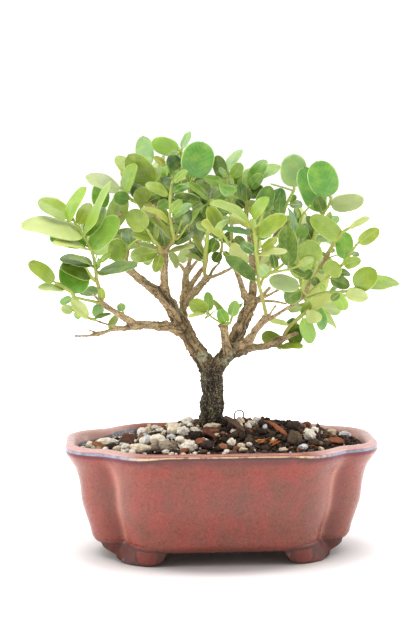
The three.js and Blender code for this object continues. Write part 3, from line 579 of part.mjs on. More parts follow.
      [-6.8,71.2,204.5,-8.5,71.5,204,-20.2,72.1,196.3,-0.54,0.1,0.84,10.1,0.001,0.15],
    ],
  },
  back_low_rear: {
    stems: [[[37.1,50.6,193,1.13],[39.9,60.4,191.1,1.02],[43.8,70.2,189.6,0.88],[48,75.9,191.3,0.75]],[[41.4,64.2,190.5,0.85],[38,68.6,192.6,0.77],[34.9,72.8,193,0.7]]],
    leaves: [
      [38.5,55.3,192.1,39.1,56.1,190.1,44.1,63.7,173.3,0.26,0.85,0.46,13.8,0.049,0.14],
      [41.2,63.5,190.6,43.1,64.1,191.1,56.5,74.9,188.8,-0.55,0.76,0.35,12.5,0.074,0.11],
      [39.6,66.6,191.6,39.4,66.9,193.5,38.4,72,215.2,-0.73,0.66,-0.19,16,0.067,0.08],
    ],
  },
  mid_left: {
    stems: [[[-64.8,7.2,207.1,1.12],[-67.9,16.3,210.8,1.02],[-70.4,26.5,215.6,0.88],[-71.7,32.6,220.6,0.75]],[[-67.9,16.3,210.8,0.85],[-65.2,22.1,207.8,0.77],[-62.5,27.9,203.4,0.7]]],
    leaves: [
      [-66.2,11.3,208.8,-68.2,12,209.2,-84.2,17.6,212.1,0.31,0.47,0.83,12.4,0.03,0.11],
      [-66.2,11.3,208.8,-64.8,12.6,209.8,-55,21.8,216.7,-0.71,0.26,0.66,10.9,0.03,0.11],
      [-70.6,27,216,-69.7,27.5,217.6,-64.2,14,221.8,-0.39,0.12,0.91,10.9,0.062,0.06],
      [-70.6,27,216,-72.4,27.4,216.4,-85.9,31.4,220.5,0.38,0.51,0.77,10.6,0.023,0.07],
      [-71.6,32,220.2,-72.8,33.8,221.4,-79.6,41.5,226.6,0.54,-0.09,0.84,8.2,0.03,0.14],
      [-71.6,32,220.2,-70.9,33.6,221.9,-71,30.2,237.1,-0.96,0.26,0.05,11.2,0.112,0.14],
      [-66.6,19.2,209.3,-67.8,20.5,208.7,-80.4,34.4,202.1,0.49,0.69,0.53,14.4,0.064,0.12],
      [-64.8,23,207.1,-64.7,24.6,208.1,-58.8,37.4,218.5,0.57,0.34,-0.75,12.6,0.065,0.06],
      [-64.8,23,207.1,-64,23.1,205.4,-51.9,23.9,195.1,-0.07,1,-0.01,11.4,-0.014,0.08],
      [-63,26.9,204.1,-61.2,27.4,204.4,-46.2,31.8,206.9,-0.32,0.88,0.36,11.4,0.079,0.08],
      [-63,26.9,204.1,-64.2,27.8,203.2,-75.6,36,194.5,0.43,0.87,0.25,11.8,0.096,0.08],
      [-62.8,27.4,203.8,-62.2,28.5,201.7,-56.7,31.9,191.6,0.35,0.81,0.46,8.7,0.087,0.13],
      [-62.8,27.4,203.8,-62.1,29.6,203.8,-62.1,43.1,208.8,-0.26,-0.33,0.91,10.4,0.063,0.09],
      [-66.6,19.2,209.3,-62.6,17.9,213.3,-54.7,8.3,234.8,-0.3,-0.91,-0.29,13.9,0.06,0.1],
      [-71.6,32,220.2,-69.7,31.4,224,-70.3,22.4,242.9,0.02,-0.9,-0.43,12,0.06,0.1],
    ],
  },
  mid_low_right: {
    stems: [[[54.4,-33.6,166.8,1.03],[57,-18.6,163.7,1.15],[65.6,-3.6,162.7,1.02],[73.9,7.8,162.7,0.88],[81.8,15.2,164.6,0.75]],[[65.6,-3.6,162.7,0.85],[63.9,3.5,165.2,0.77],[62.2,10.7,166.5,0.7]]],
    leaves: [
      [61.9,-10.2,163.1,61.5,-8.8,161.5,55.1,3.8,156.4,0.16,0.44,0.89,10.8,0.058,0.06],
      [61.9,-10.2,163.1,63.1,-9.7,164.8,76.8,-4.6,183.8,-0.24,0.97,-0.09,17.3,0.025,0.09],
      [68.2,-0.1,162.7,70.2,0.4,162.3,88.7,4.4,159.3,0.02,0.57,0.82,13.8,0.067,0.14],
      [74.4,8.3,162.8,75.4,9.7,162,87.7,27.6,151.7,0.36,0.27,0.89,17.2,0.064,0.09],
      [80.3,13.8,164.2,82.1,13.6,164.5,94.7,11,166.3,-0.05,0.4,0.92,9.4,0.081,0.07],
      [81.3,14.8,164.5,83,16.5,164.3,88.4,23.3,157.2,0.82,-0.07,0.56,8,0.054,0.1],
      [81.3,14.8,164.5,82.9,16.1,165.7,92.5,23.7,175.1,-0.66,-0.08,0.74,11.1,0.02,0.15],
      [63.6,4.7,165.5,62.2,5.5,166.4,44.2,15,177.7,0.64,0.53,0.56,16.8,0.041,0.07],
      [63.6,4.7,165.5,64.6,6.3,165.8,76,24.7,169.6,-0.58,0.2,0.79,15.9,0.033,0.15],
    ],
  },
  mid_crown: {
    stems: [[[1.3,12.8,215.8,1.13],[4.1,21,220.9,1.02],[7.2,26.8,227.3,0.88],[10.1,28.5,232.6,0.75]],[[4.1,21,220.9,0.85],[0.3,24.3,222.1,0.77],[-3.5,27.5,222,0.7]]],
    leaves: [
      [2.6,16.7,218.2,1.1,18.1,218.9,-9.1,20.6,230.8,0.74,0.36,0.56,11.4,0.024,0.1],
      [2.6,16.7,218.2,4.3,17.1,219.6,18.4,20.4,231.3,-0.61,0.55,0.58,13.4,0.07,0.09],
      [5.1,22.8,222.9,5.8,24.7,222.5,7.9,41.3,217.7,0.2,0.25,0.95,12.6,0.061,0.05],
      [7.5,27,227.9,8.6,25.8,228.8,17.9,12.4,240.7,-0.16,0.59,0.79,14.5,0.061,0.09],
      [7.5,27,227.9,7.2,28.5,228.8,16.7,27.3,246.1,0.49,-0.81,-0.32,14.3,0.104,0.13],
      [9.5,28.2,231.6,9.3,27.9,233.4,10.4,35.1,247,-0.44,0.81,-0.39,11.1,0.12,0.12],
      [9.7,28.3,232,10.3,29.5,234.2,17.1,38.1,247.4,0.55,-0.8,0.24,12.4,0.086,0.09],
      [2.2,22.6,221.5,2.3,24.4,222.2,-2.7,16.2,239.4,-0.85,-0.33,-0.41,14.2,0.035,0.09],
      [-0.3,24.8,222.1,-1.2,25.4,223.6,-5.7,32.3,230.9,-0.88,-0.05,-0.48,8,0.042,0.1],
      [-0.3,24.8,222.1,-0.8,25.9,220.6,-6,36.2,202.3,-0.67,-0.71,-0.22,15.6,0.113,0.15],
      [-2.8,27,222,-4.5,26.3,222,-19.5,22.1,218.3,-0.21,-0.1,0.97,11.5,-0.01,0.12],
      [-2.9,27.1,222,-4.5,29,221.5,-8.8,36.6,210.2,0.45,0.81,0.38,10.3,0.02,0.1],
    ],
  },
  mid_left_crown: {
    stems: [[[-33.7,7.4,227.1,1.13],[-37.3,20,227.7,1.02],[-40.9,30.3,231.3,0.88],[-43.4,36.5,235.1,0.75]],[[-37.3,20,227.7,0.85],[-33.7,24.8,230.8,0.77],[-30.2,29.5,232.7,0.7]]],
    leaves: [
      [-35.5,13.7,227.4,-35.9,15.5,226.2,-38.9,27.8,217.5,-0.16,0.54,0.82,11.1,0.051,0.12],
      [-35.5,13.7,227.4,-35.9,14.9,229.2,-38.9,23.4,242.1,-0.06,0.83,-0.56,11.4,0.07,0.15],
      [-41.1,30.9,231.7,-41.2,30.7,233.5,-42.9,30.9,253.6,-0.24,0.97,-0.03,14.5,0.045,0.14],
      [-42.9,35.3,234.4,-42,36.5,235.5,-33.7,46.6,245.1,-0.79,0.07,0.61,11.7,0.078,0.12],
      [-42.9,35.3,234.4,-44.5,36.3,234.4,-55,43,234.4,0.18,0.29,0.94,9,0.029,0.13],
      [-43.1,35.9,234.8,-44,38.2,235.5,-34.3,40,225.8,-0.47,0.82,-0.32,10,0.063,0.14],
      [-43.1,35.9,234.8,-44.1,37.1,236.7,-49,41.3,246.7,0.79,0.6,0.13,8.6,0.072,0.12],
      [-35.5,22.4,229.3,-34.1,23.5,228.8,-19.9,34.7,223.9,0.11,0.28,0.95,13.5,0.051,0.14],
      [-35.5,22.4,229.3,-35.4,23,231.1,-33.6,26.3,249,0.51,0.83,-0.21,13.1,0.054,0.12],
      [-33.1,25.6,231.1,-31.5,25.3,232,-15,28.9,230.8,0.01,0.3,0.95,12.2,-0.02,0.08],
      [-30.8,28.7,232.4,-30.8,29.4,234,-32.4,30.9,250.2,0.89,0.44,0.05,11.7,0.002,0.06],
      [-30.6,29,232.5,-29.9,31.1,233.4,-20.6,41.3,223.5,0,0.7,0.71,12.2,0.082,0.1],
    ],
  },
  mid_front_low: {
    stems: [[[14.4,-17.9,200,1.14],[5.6,-57,211,0.88],[2.8,-68,215.4,0.75]]],
    leaves: [
      [11.2,-32.1,204,11.1,-33.9,202.8,22,-44.9,193.8,-0.76,-0.63,-0.16,12.8,0.005,0.08],
      [6.7,-52.1,209.7,5.1,-52.9,210.6,-8.6,-59.5,219.4,0.63,-0.5,0.6,12.6,0.076,0.11],
      [3.5,-65.2,214.3,2.6,-65.6,215.9,-5.4,-68.9,229.1,0.59,-0.8,0.15,11.3,0.048,0.11],
      [3,-67.3,215.2,3.1,-69.6,216.2,5.6,-82.8,223.1,-0.54,0.31,0.78,10.8,0.075,0.16],
      [14.2,-18.6,200.2,22,-16.3,199.4,16.6,-18.7,208.6,0.22,-0.97,-0.11,7.9,0.06,0.1],
    ],
  },
};

// Larger stones on the soil: middle and half sizes
const STONES = [
  ["pumice_stone_1", [-15.59,-45.4,76.35], [5.39,4.12,3.99]],
  ["pumice_stone_2", [-45.21,-40.45,74.54], [6.99,4.13,3.67]],
  ["pumice_stone_3", [-28.8,-43.12,76.1], [5.71,4.44,4]],
  ["pumice_stone_4", [-42.3,-29.98,77.58], [4.17,3.53,3.71]],
  ["pumice_stone_5", [63.39,-28.25,80.28], [4.21,3.56,4.08]],
];

// Flat pieces of bark lying on the soil: both ends and the width
const CHIPS = [
  ["bark_chip_1", [37.89,-14.87,86.94], [48.15,-35.93,81.26], 4.26],
  ["bark_chip_2", [9.51,-15.02,89.87], [20.41,-38.64,84.65], 4.59],
  ["bark_chip_3", [-6.36,-32.16,83.26], [4.73,-30.47,84.09], 5.14],
];
const CHIP_THICK = 1.7;

// A fine dry root that loops up out of the soil
const ROOT_LOOP = [[17.93,-2.88,85.25],[17.13,-2.82,88.28],[17.72,-2.86,90.83],[19.56,-3,92.17],[21.87,-3.17,91.9],[23.26,-3.27,90.15],[23,-3.25,87.94],[21.56,-3.15,86.26]];
const ROOT_RADIUS = 0.45;

// ---------------------------------------------------------------- small helpers
const wasm = await Module();
wasm.setup();
const V = (x, y, z) => new THREE.Vector3(x, y, z);

function weld(geometry) {
  const g = geometry.index ? geometry.clone() : geometry;
  for (const name of Object.keys(g.attributes)) if (name !== "position") g.deleteAttribute(name);
  return mergeVertices(g, 1e-4);
}
function solid(geometry) {
  const g = weld(geometry);
  const p = g.attributes.position.array;
  const t = [];
  let volume = 0;
  const index = g.index.array;
  for (let i = 0; i < index.length; i += 3) {
    const [a, b, c] = [index[i], index[i + 1], index[i + 2]];
    if (a === b || b === c || a === c) continue;
    t.push(a, b, c);
    volume +=
      p[3 * a] * (p[3 * b + 1] * p[3 * c + 2] - p[3 * b + 2] * p[3 * c + 1]) -
      p[3 * a + 1] * (p[3 * b] * p[3 * c + 2] - p[3 * b + 2] * p[3 * c]) +
      p[3 * a + 2] * (p[3 * b] * p[3 * c + 1] - p[3 * b + 1] * p[3 * c]);
  }
  if (volume < 0) for (let i = 0; i < t.length; i += 3) [t[i + 1], t[i + 2]] = [t[i + 2], t[i + 1]];
  return new wasm.Manifold(
    new wasm.Mesh({ numProp: 3, vertProperties: new Float32Array(p), triVerts: new Uint32Array(t) }),
  );
}
function geometryOf(body) {
  const m = body.getMesh();
  const g = new THREE.BufferGeometry();
  g.setAttribute("position", new THREE.BufferAttribute(new Float32Array(m.vertProperties), 3));
  g.setIndex(new THREE.BufferAttribute(new Uint32Array(m.triVerts), 1));
  g.computeVertexNormals();
  return g;
}
function addAll(bodies) {
  let list = bodies;
  while (list.length > 1) {
    const next = [];
    for (let i = 0; i < list.length; i += 2) next.push(i + 1 < list.length ? list[i].add(list[i + 1]) : list[i]);
    list = next;
  }
  return list[0];
}

// A round limb along a bent line: a turned profile whose rows are moved onto the line.
function limb(points, sides, grow = 0) {
  const n = points.length;
  const P = points.map((p) => V(p[0], p[1], p[2]));
  const profile = [new THREE.Vector2(0, 0)];
  points.forEach((p, i) => profile.push(new THREE.Vector2(1, i)));
  profile.push(new THREE.Vector2(0, n - 1));
  const g = new THREE.LatheGeometry(profile, sides);
  const pos = g.attributes.position;
  const tangents = P.map((p, i) => P[Math.min(i + 1, n - 1)].clone().sub(P[Math.max(i - 1, 0)]).normalize());
  const start = Math.abs(tangents[0].z) < 0.9 ? V(0, 0, 1) : V(1, 0, 0);
  let side = start.clone().addScaledVector(tangents[0], -start.dot(tangents[0])).normalize();
  const frames = tangents.map((t) => {
    side = side.clone().addScaledVector(t, -side.dot(t)).normalize();
    return [side, t.clone().cross(side)];
  });
  const first = P[0].clone().addScaledVector(tangents[0], -grow);
  const last = P[n - 1].clone().addScaledVector(tangents[n - 1], grow);
  for (let i = 0; i <= sides; i++)
    for (let j = 0; j < n + 2; j++) {
      const k = Math.min(Math.max(j - 1, 0), n - 1);
      const centre = (k === 0 ? first : k === n - 1 ? last : P[k]).clone();
      if (j > 0 && j < n + 1) {
        const a = (2 * Math.PI * (i % sides)) / sides;
        const r = points[k][3] + grow;
        centre.addScaledVector(frames[k][0], r * Math.cos(a)).addScaledVector(frames[k][1], r * Math.sin(a));
      }
      pos.setXYZ(i * (n + 2) + j, centre.x, centre.y, centre.z);
    }
  return solid(g);
}

// A leaf: a slim lens, folded a little along the midrib and arched from base to tip.
function leaf(row) {
  const A = V(row[0], row[1], row[2]);
  const B = V(row[3], row[4], row[5]);
  const T = V(row[6], row[7], row[8]);
  const N = V(row[9], row[10], row[11]);
  const [width, arch, fold] = [row[12], row[13], row[14]];
  const along = T.clone().sub(B);
  const length = along.length();
  const axis = along.clone().normalize();
  N.addScaledVector(axis, -N.dot(axis)).normalize();
  const S = axis.clone().cross(N);
  const small = length < SMALL_LEAF; // small leaves get one ring of corners, large ones two
  const g = new THREE.SphereGeometry(1, 4, small ? 2 : 3);
  const pos = g.attributes.position;
  for (let i = 0; i < pos.count; i++) {
    const y = pos.getY(i);
    let p;
    if (y > 0.99) p = A;
    else if (y < -0.99) p = T;
    else {
      const u = small ? 0.56 : y > 0 ? 0.38 : 0.78;
      const q = Math.pow(u, 0.93);
      const half = (width / 2) * Math.sqrt(1 - Math.pow(Math.abs(2 * q - 1), 2.35));
      const c = Math.round(pos.getX(i) / Math.hypot(pos.getX(i), pos.getZ(i)));
      const d = Math.round(pos.getZ(i) / Math.hypot(pos.getX(i), pos.getZ(i)));
      const rise = arch * length * 4 * u * (1 - u) + (c !== 0 ? fold * half : 0);
      p = B.clone().addScaledVector(along, u).addScaledVector(S, c * half).addScaledVector(N, rise + (d * LEAF_THICK) / 2);
    }
    pos.setXYZ(i, p.x, p.y, p.z);
  }
  return solid(g);
}

// ---------------------------------------------------------------- pot outline
function reach(angle, hx, hy, r) {
  let lo = 0;
  let hi = 300;
  for (let i = 0; i < 40; i++) {
    const m = (lo + hi) / 2;
    const x = Math.abs(m * Math.cos(angle)) - (hx - r);
    const y = Math.abs(m * Math.sin(angle)) - (hy - r);
    const d = Math.hypot(Math.max(x, 0), Math.max(y, 0)) + Math.min(Math.max(x, y), 0) - r;
    if (d > 0) hi = m;
    else lo = m;
  }
  return lo;
}
function lobed(angle, inset) {
  const r1 = reach(angle, FRONT_LOBE_HALF - 0.9 * inset, POT_HALF_DEPTH - DEPTH_SHARE * inset, Math.max(FRONT_LOBE_RADIUS - 0.5 * inset, 3));
  const r2 = reach(angle, POT_HALF_LENGTH - inset, END_LOBE_HALF - 0.9 * inset, Math.max(END_LOBE_RADIUS - 0.5 * inset, 3));
  const m = Math.max(r1, r2);
  const blend = Math.max(LOBE_BLEND - 0.28 * inset, 3);
  return m + blend * Math.log(Math.exp((r1 - m) / blend) + Math.exp((r2 - m) / blend));
}
// angles that step evenly along the rim
const ANGLES = (() => {
  const fine = 720;
  const pts = [];
  for (let i = 0; i <= fine; i++) {
    const a = (2 * Math.PI * i) / fine;
    const r = lobed(a, 0);
    pts.push([a, r * Math.cos(a), r * Math.sin(a)]);
  }
  const run = [0];
  for (let i = 1; i <= fine; i++) run.push(run[i - 1] + Math.hypot(pts[i][1] - pts[i - 1][1], pts[i][2] - pts[i - 1][2]));
  const out = [];
  for (let k = 0; k < OUTLINE_POINTS; k++) {
    const s = (run[fine] * k) / OUTLINE_POINTS;
    const i = run.findIndex((v) => v > s);
    out.push(pts[i - 1][0] + ((pts[i][0] - pts[i - 1][0]) * (s - run[i - 1])) / (run[i] - run[i - 1]));
  }
  return out;
})();
// A turned body whose rows are moved onto the lobed outline. Each row is
// [height or a function of x and y, inset, scale].
function lobedBody(rows) {
  const profile = rows.map((r, j) => new THREE.Vector2(j === 0 || j === rows.length - 1 ? 0 : 1, j));
  const g = new THREE.LatheGeometry(profile, OUTLINE_POINTS);
  const pos = g.attributes.position;
  for (let i = 0; i <= OUTLINE_POINTS; i++)
    for (let j = 0; j < rows.length; j++) {
      const a = ANGLES[i % OUTLINE_POINTS];
      const [level, inset, scale = 1] = rows[j];
      const r = j === 0 || j === rows.length - 1 ? 0 : lobed(a, inset) * scale;
      const x = r * Math.cos(a);
      const y = r * Math.sin(a);
      pos.setXYZ(i * rows.length + j, x, y, typeof level === "function" ? level(x, y) : level);
    }
  return solid(g);
}

// ---------------------------------------------------------------- pot
// A bracket foot that wraps one corner: its outer face follows FOOT_LINE, and both of
// its ends come in towards the bottom, so that it stands on a short rounded tread.
function foot(sx, sy) {
  const run = [0];
  for (let i = 1; i < FOOT_LINE.length; i++)
    run.push(run[i - 1] + Math.hypot(FOOT_LINE[i][0] - FOOT_LINE[i - 1][0], FOOT_LINE[i][1] - FOOT_LINE[i - 1][1]));
  const at = (u) => {
    const s = THREE.MathUtils.clamp(u, 0, 1) * run[run.length - 1];
    let i = 1;
    while (i < run.length - 1 && run[i] < s) i++;
    const t = (s - run[i - 1]) / (run[i] - run[i - 1]);
    return [0, 1].map((k) => THREE.MathUtils.lerp(FOOT_LINE[i - 1][k], FOOT_LINE[i][k], t));
  };
  const g = new THREE.BoxGeometry(1, 1, 1, 8, 1, 3);
  const pos = g.attributes.position;
  for (let i = 0; i < pos.count; i++) {
    const t = 2 * pos.getX(i);
    const up = pos.getZ(i) + 0.5;
    const u = THREE.MathUtils.lerp(0.64, 0.5, up) + t * THREE.MathUtils.lerp(0.215, 0.5, Math.pow(up, 0.6));
    const floor = at(u);
    const reached = Math.hypot(...floor);
    const below = Math.min(reached, lobed(Math.atan2(floor[1], floor[0]), 17.4) - 0.5);
    const [x, y] = floor.map((v) => (v * THREE.MathUtils.lerp(reached, below, Math.pow(up, 0.7))) / reached);
    const [x1, y1] = at(u + 0.04);
    const [x0, y0] = at(u - 0.04);
    const n = Math.hypot(x1 - x0, y1 - y0);
    const inwards = (0.5 - pos.getY(i)) * FOOT_THICK * (1 - 0.4 * t * t) * (0.85 + 0.15 * up);
    const lift = Math.abs(t) > 0.9 ? (1 - up) * 1.4 : 0;
    pos.setXYZ(i, sx * (x + ((y0 - y1) / n) * inwards), sy * (y + ((x1 - x0) / n) * inwards), up * FOOT_TOP + lift);
  }
  return solid(g);
}
const potRows = [[WALL_OUT[0][0], 0], ...WALL_OUT, ...WALL_IN, [POT_FLOOR, 0]];
let potBody = lobedBody(potRows);
potBody = addAll([potBody, foot(1, 1), foot(-1, 1), foot(1, -1), foot(-1, -1)]);
for (const s of [-1, 1]) {
  const hole = new THREE.CylinderGeometry(DRAIN_RADIUS, DRAIN_RADIUS, 20, 24).rotateX(Math.PI / 2).translate(s * DRAIN_X, 0, 12);
  potBody = potBody.subtract(solid(hole));
}

// ---------------------------------------------------------------- wood
const sidesFor = (r) => (r > 5 ? 8 : r > 2.4 ? 6 : 5);
const limbs = Object.values(WOOD).map((p) => limb(p, sidesFor(Math.max(...p.map((q) => q[3])))));
const treeWood = addAll(limbs);

// ---------------------------------------------------------------- stones, chips, loop
const wobble = (i, k) => {
  const s = Math.sin(i * 12.9898 + k * 78.233) * 43758.5453;
  return s - Math.floor(s);
};
function stone(index, centre, half, grow = 0) {
  const g = weld(new THREE.IcosahedronGeometry(1, 1));
  const pos = g.attributes.position;
  for (let i = 0; i < pos.count; i++) {
    const k = 0.86 + 0.24 * wobble(i + 3, index + 1);
    pos.setXYZ(
      i,
      centre[0] + pos.getX(i) * (half[0] * k + grow),
      centre[1] + pos.getY(i) * (half[1] * k + grow),
      centre[2] + pos.getZ(i) * (half[2] * k + grow),
    );
  }
  return solid(g);
}
function chip(a, b, width, grow = 0) {
  const A = V(...a);
  const B = V(...b);
  const axis = B.clone().sub(A);
  const length = axis.length();
  axis.normalize();
  const up = V(0, 0, 1).addScaledVector(axis, -axis.z).normalize();
  const side = up.clone().cross(axis);
  const g = new THREE.BoxGeometry(1, 1, 1, 3, 2, 1);
  const pos = g.attributes.position;
  for (let i = 0; i < pos.count; i++) {
    const [x, y, z] = [pos.getX(i), pos.getY(i), pos.getZ(i)];
    const w = (width / 2) * (1 - 0.35 * Math.abs(2 * x) ** 2) + grow;
    const bow = 0.8 * (0.25 - x * x) * 4 - 0.5 * (2 * y) ** 2;
    const p = A.clone()
      .addScaledVector(axis, (x + 0.5) * length + Math.sign(x) * (Math.abs(x) > 0.4 ? grow : 0))
      .addScaledVector(side, 2 * y * w)
      .addScaledVector(up, bow + z * (CHIP_THICK + 2 * grow));
    pos.setXYZ(i, p.x, p.y, p.z);
  }
  return solid(g);
}
const stones = STONES.map(([name, c, h], i) => [name, stone(i, c, h), stone(i, c, h, GAP + 0.1)]);
const chips = CHIPS.map(([name, a, b, w]) => [name, chip(a, b, w), chip(a, b, w, GAP)]);
const loopLine = ROOT_LOOP.map((p) => [...p, ROOT_RADIUS]);
const rootLoop = limb(loopLine, 6);

// ---------------------------------------------------------------- soil
const toPot = (x, y) => [x - POT_X, y - POT_Y];
const soilTop = (x, y) =>
  SOIL_EDGE +
  SOIL_MOUND * Math.exp(-Math.pow(Math.abs(x - 8) / 72, 3.2)) * Math.exp(-Math.pow(Math.abs(y) / 40, 2.4)) -
  SOIL_DIP * THREE.MathUtils.smoothstep(y, 8, 30) * THREE.MathUtils.smoothstep(Math.abs(x - 8), 30, 62);
const soilRows = [[soilTop, 0]];
const edgeInset = 9.4;
for (const scale of [0.3, 0.53, 0.77, 1]) soilRows.push([soilTop, edgeInset, scale]);
for (const [z, inset] of WALL_IN) if (z > 16 && z < 65) soilRows.push([z, inset + 0.7]);
soilRows.push([POT_FLOOR + 0.45, 31], [POT_FLOOR + 0.45, 0]);
let soilBody = lobedBody(soilRows);
soilBody = soilBody.translate(POT_X, POT_Y, 0);
const lowLimbs = Object.entries(WOOD).filter(([name]) => name === "trunk" || name.startsWith("root_"));
for (const [, p] of lowLimbs) soilBody = soilBody.subtract(limb(p, sidesFor(Math.max(...p.map((q) => q[3]))), GAP + 0.1));
for (const s of [-1, 1]) {
  const x = POT_X + s * DRAIN_X;
  const meshRoom = new THREE.BoxGeometry(MESH_SIDE + 0.8, MESH_SIDE + 0.8, 3).translate(x, POT_Y, POT_FLOOR + 0.5);
  const wireRoom = new THREE.BoxGeometry(12.4, 2, 6).translate(x, POT_Y, POT_FLOOR + 1);
  soilBody = soilBody.subtract(solid(meshRoom)).subtract(solid(wireRoom));
}
for (const [, , room] of stones) soilBody = soilBody.subtract(room);
for (const [, , room] of chips) soilBody = soilBody.subtract(room);
soilBody = soilBody.subtract(limb(loopLine, 6, GAP));

// ---------------------------------------------------------------- drainage mesh and wire
function drainMesh() {
  let plate = solid(new THREE.BoxGeometry(MESH_SIDE, MESH_SIDE, 1).translate(0, 0, 0.5));
  for (let i = -1; i <= 1; i++)
    for (let j = -1; j <= 1; j++)
      plate = plate.subtract(solid(new THREE.BoxGeometry(3.4, 3.4, 3).translate(i * 4.8, j * 4.8, 0.5)));
  return geometryOf(plate);
}
function drainWire() {
  const r = WIRE_DIAMETER / 2;
  const line = [
    [-11, 0, 7.8, r], [-5.6, 0, 7.8, r], [-4.8, 0, 8.6, r], [-4.8, 0, 17.0, r], [-4.0, 0, 17.9, r],
    [4.0, 0, 17.9, r], [4.8, 0, 17.0, r], [4.8, 0, 8.6, r], [5.6, 0, 7.8, r], [11, 0, 7.8, r],
  ];
  return limb(line, 6);
}

// ---------------------------------------------------------------- shoots
const shootBody = ({ stems, leaves }) =>
  addAll([...stems.map((p) => limb(p, p[0][3] > 1.1 ? 5 : 4)), ...leaves.map(leaf)]);

// ---------------------------------------------------------------- the assembly
const plant = new THREE.Group();
const paint = (color, roughness, metalness = 0) => new THREE.MeshStandardMaterial({ color, roughness, metalness, flatShading: true });
const glaze = paint("#7c2f27", 0.25);
const bark = paint("#5d4326", 0.9);
const earth = paint("#3a2c20", 1.0);
const pumice = paint("#ddd6c2", 0.95);
const barkChip = paint("#84472a", 0.9);
const fibre = paint("#8a6a55", 0.9);
const plastic = paint("#1d1f1e", 0.6);
const wire = paint("#b9bcc0", 0.35, 0.9);
const greens = ["#5f9a1f", "#8fae35", "#3f7f17", "#a9cf45", "#6ca62a"].map((c) => paint(c, 0.4));
function put(name, geometry, material, x = 0, y = 0, z = 0) {
  const m = new THREE.Mesh(geometry, material);
  m.name = name;
  m.position.set(x, y, z);
  plant.add(m);
}
put("pot", geometryOf(potBody), glaze, POT_X, POT_Y, 0);
put("soil", geometryOf(soilBody), earth);
put("tree_wood", geometryOf(treeWood), bark);
put("drain_mesh_left", drainMesh(), plastic, POT_X - DRAIN_X, POT_Y, POT_FLOOR + 0.35);
put("drain_mesh_right", drainMesh(), plastic, POT_X + DRAIN_X, POT_Y, POT_FLOOR + 0.35);
put("mesh_wire_left", geometryOf(drainWire()), wire, POT_X - DRAIN_X, POT_Y, 0);
put("mesh_wire_right", geometryOf(drainWire()), wire, POT_X + DRAIN_X, POT_Y, 0);
for (const [name, body] of stones) put(name, geometryOf(body), pumice);
for (const [name, body] of chips) put(name, geometryOf(body), barkChip);
put("root_loop", geometryOf(rootLoop), fibre);
Object.entries(SHOOTS).forEach(([name, shoot], i) => put("leaf_spray_" + name, geometryOf(shootBody(shoot)), greens[i % greens.length]));

export default plant;
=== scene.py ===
# Natal plum bonsai in a glazed pot. Metres in the scene; the tables are in millimetres.
import bpy
import math
import numpy as np
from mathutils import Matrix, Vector


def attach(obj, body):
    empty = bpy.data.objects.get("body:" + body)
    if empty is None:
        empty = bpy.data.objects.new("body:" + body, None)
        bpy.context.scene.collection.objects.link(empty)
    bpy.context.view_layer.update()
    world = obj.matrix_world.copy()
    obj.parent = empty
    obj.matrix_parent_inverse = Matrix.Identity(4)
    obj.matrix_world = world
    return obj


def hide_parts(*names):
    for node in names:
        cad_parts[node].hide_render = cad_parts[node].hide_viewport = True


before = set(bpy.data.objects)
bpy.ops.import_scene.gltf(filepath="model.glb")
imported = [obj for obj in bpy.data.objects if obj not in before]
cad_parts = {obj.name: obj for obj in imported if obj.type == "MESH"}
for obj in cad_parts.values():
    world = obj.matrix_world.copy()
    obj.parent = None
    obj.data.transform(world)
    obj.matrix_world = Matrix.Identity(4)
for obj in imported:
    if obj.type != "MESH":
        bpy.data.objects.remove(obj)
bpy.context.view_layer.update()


MM = 0.001
POT = np.array([7.69,-9.38,0])  # middle of the pot, mm

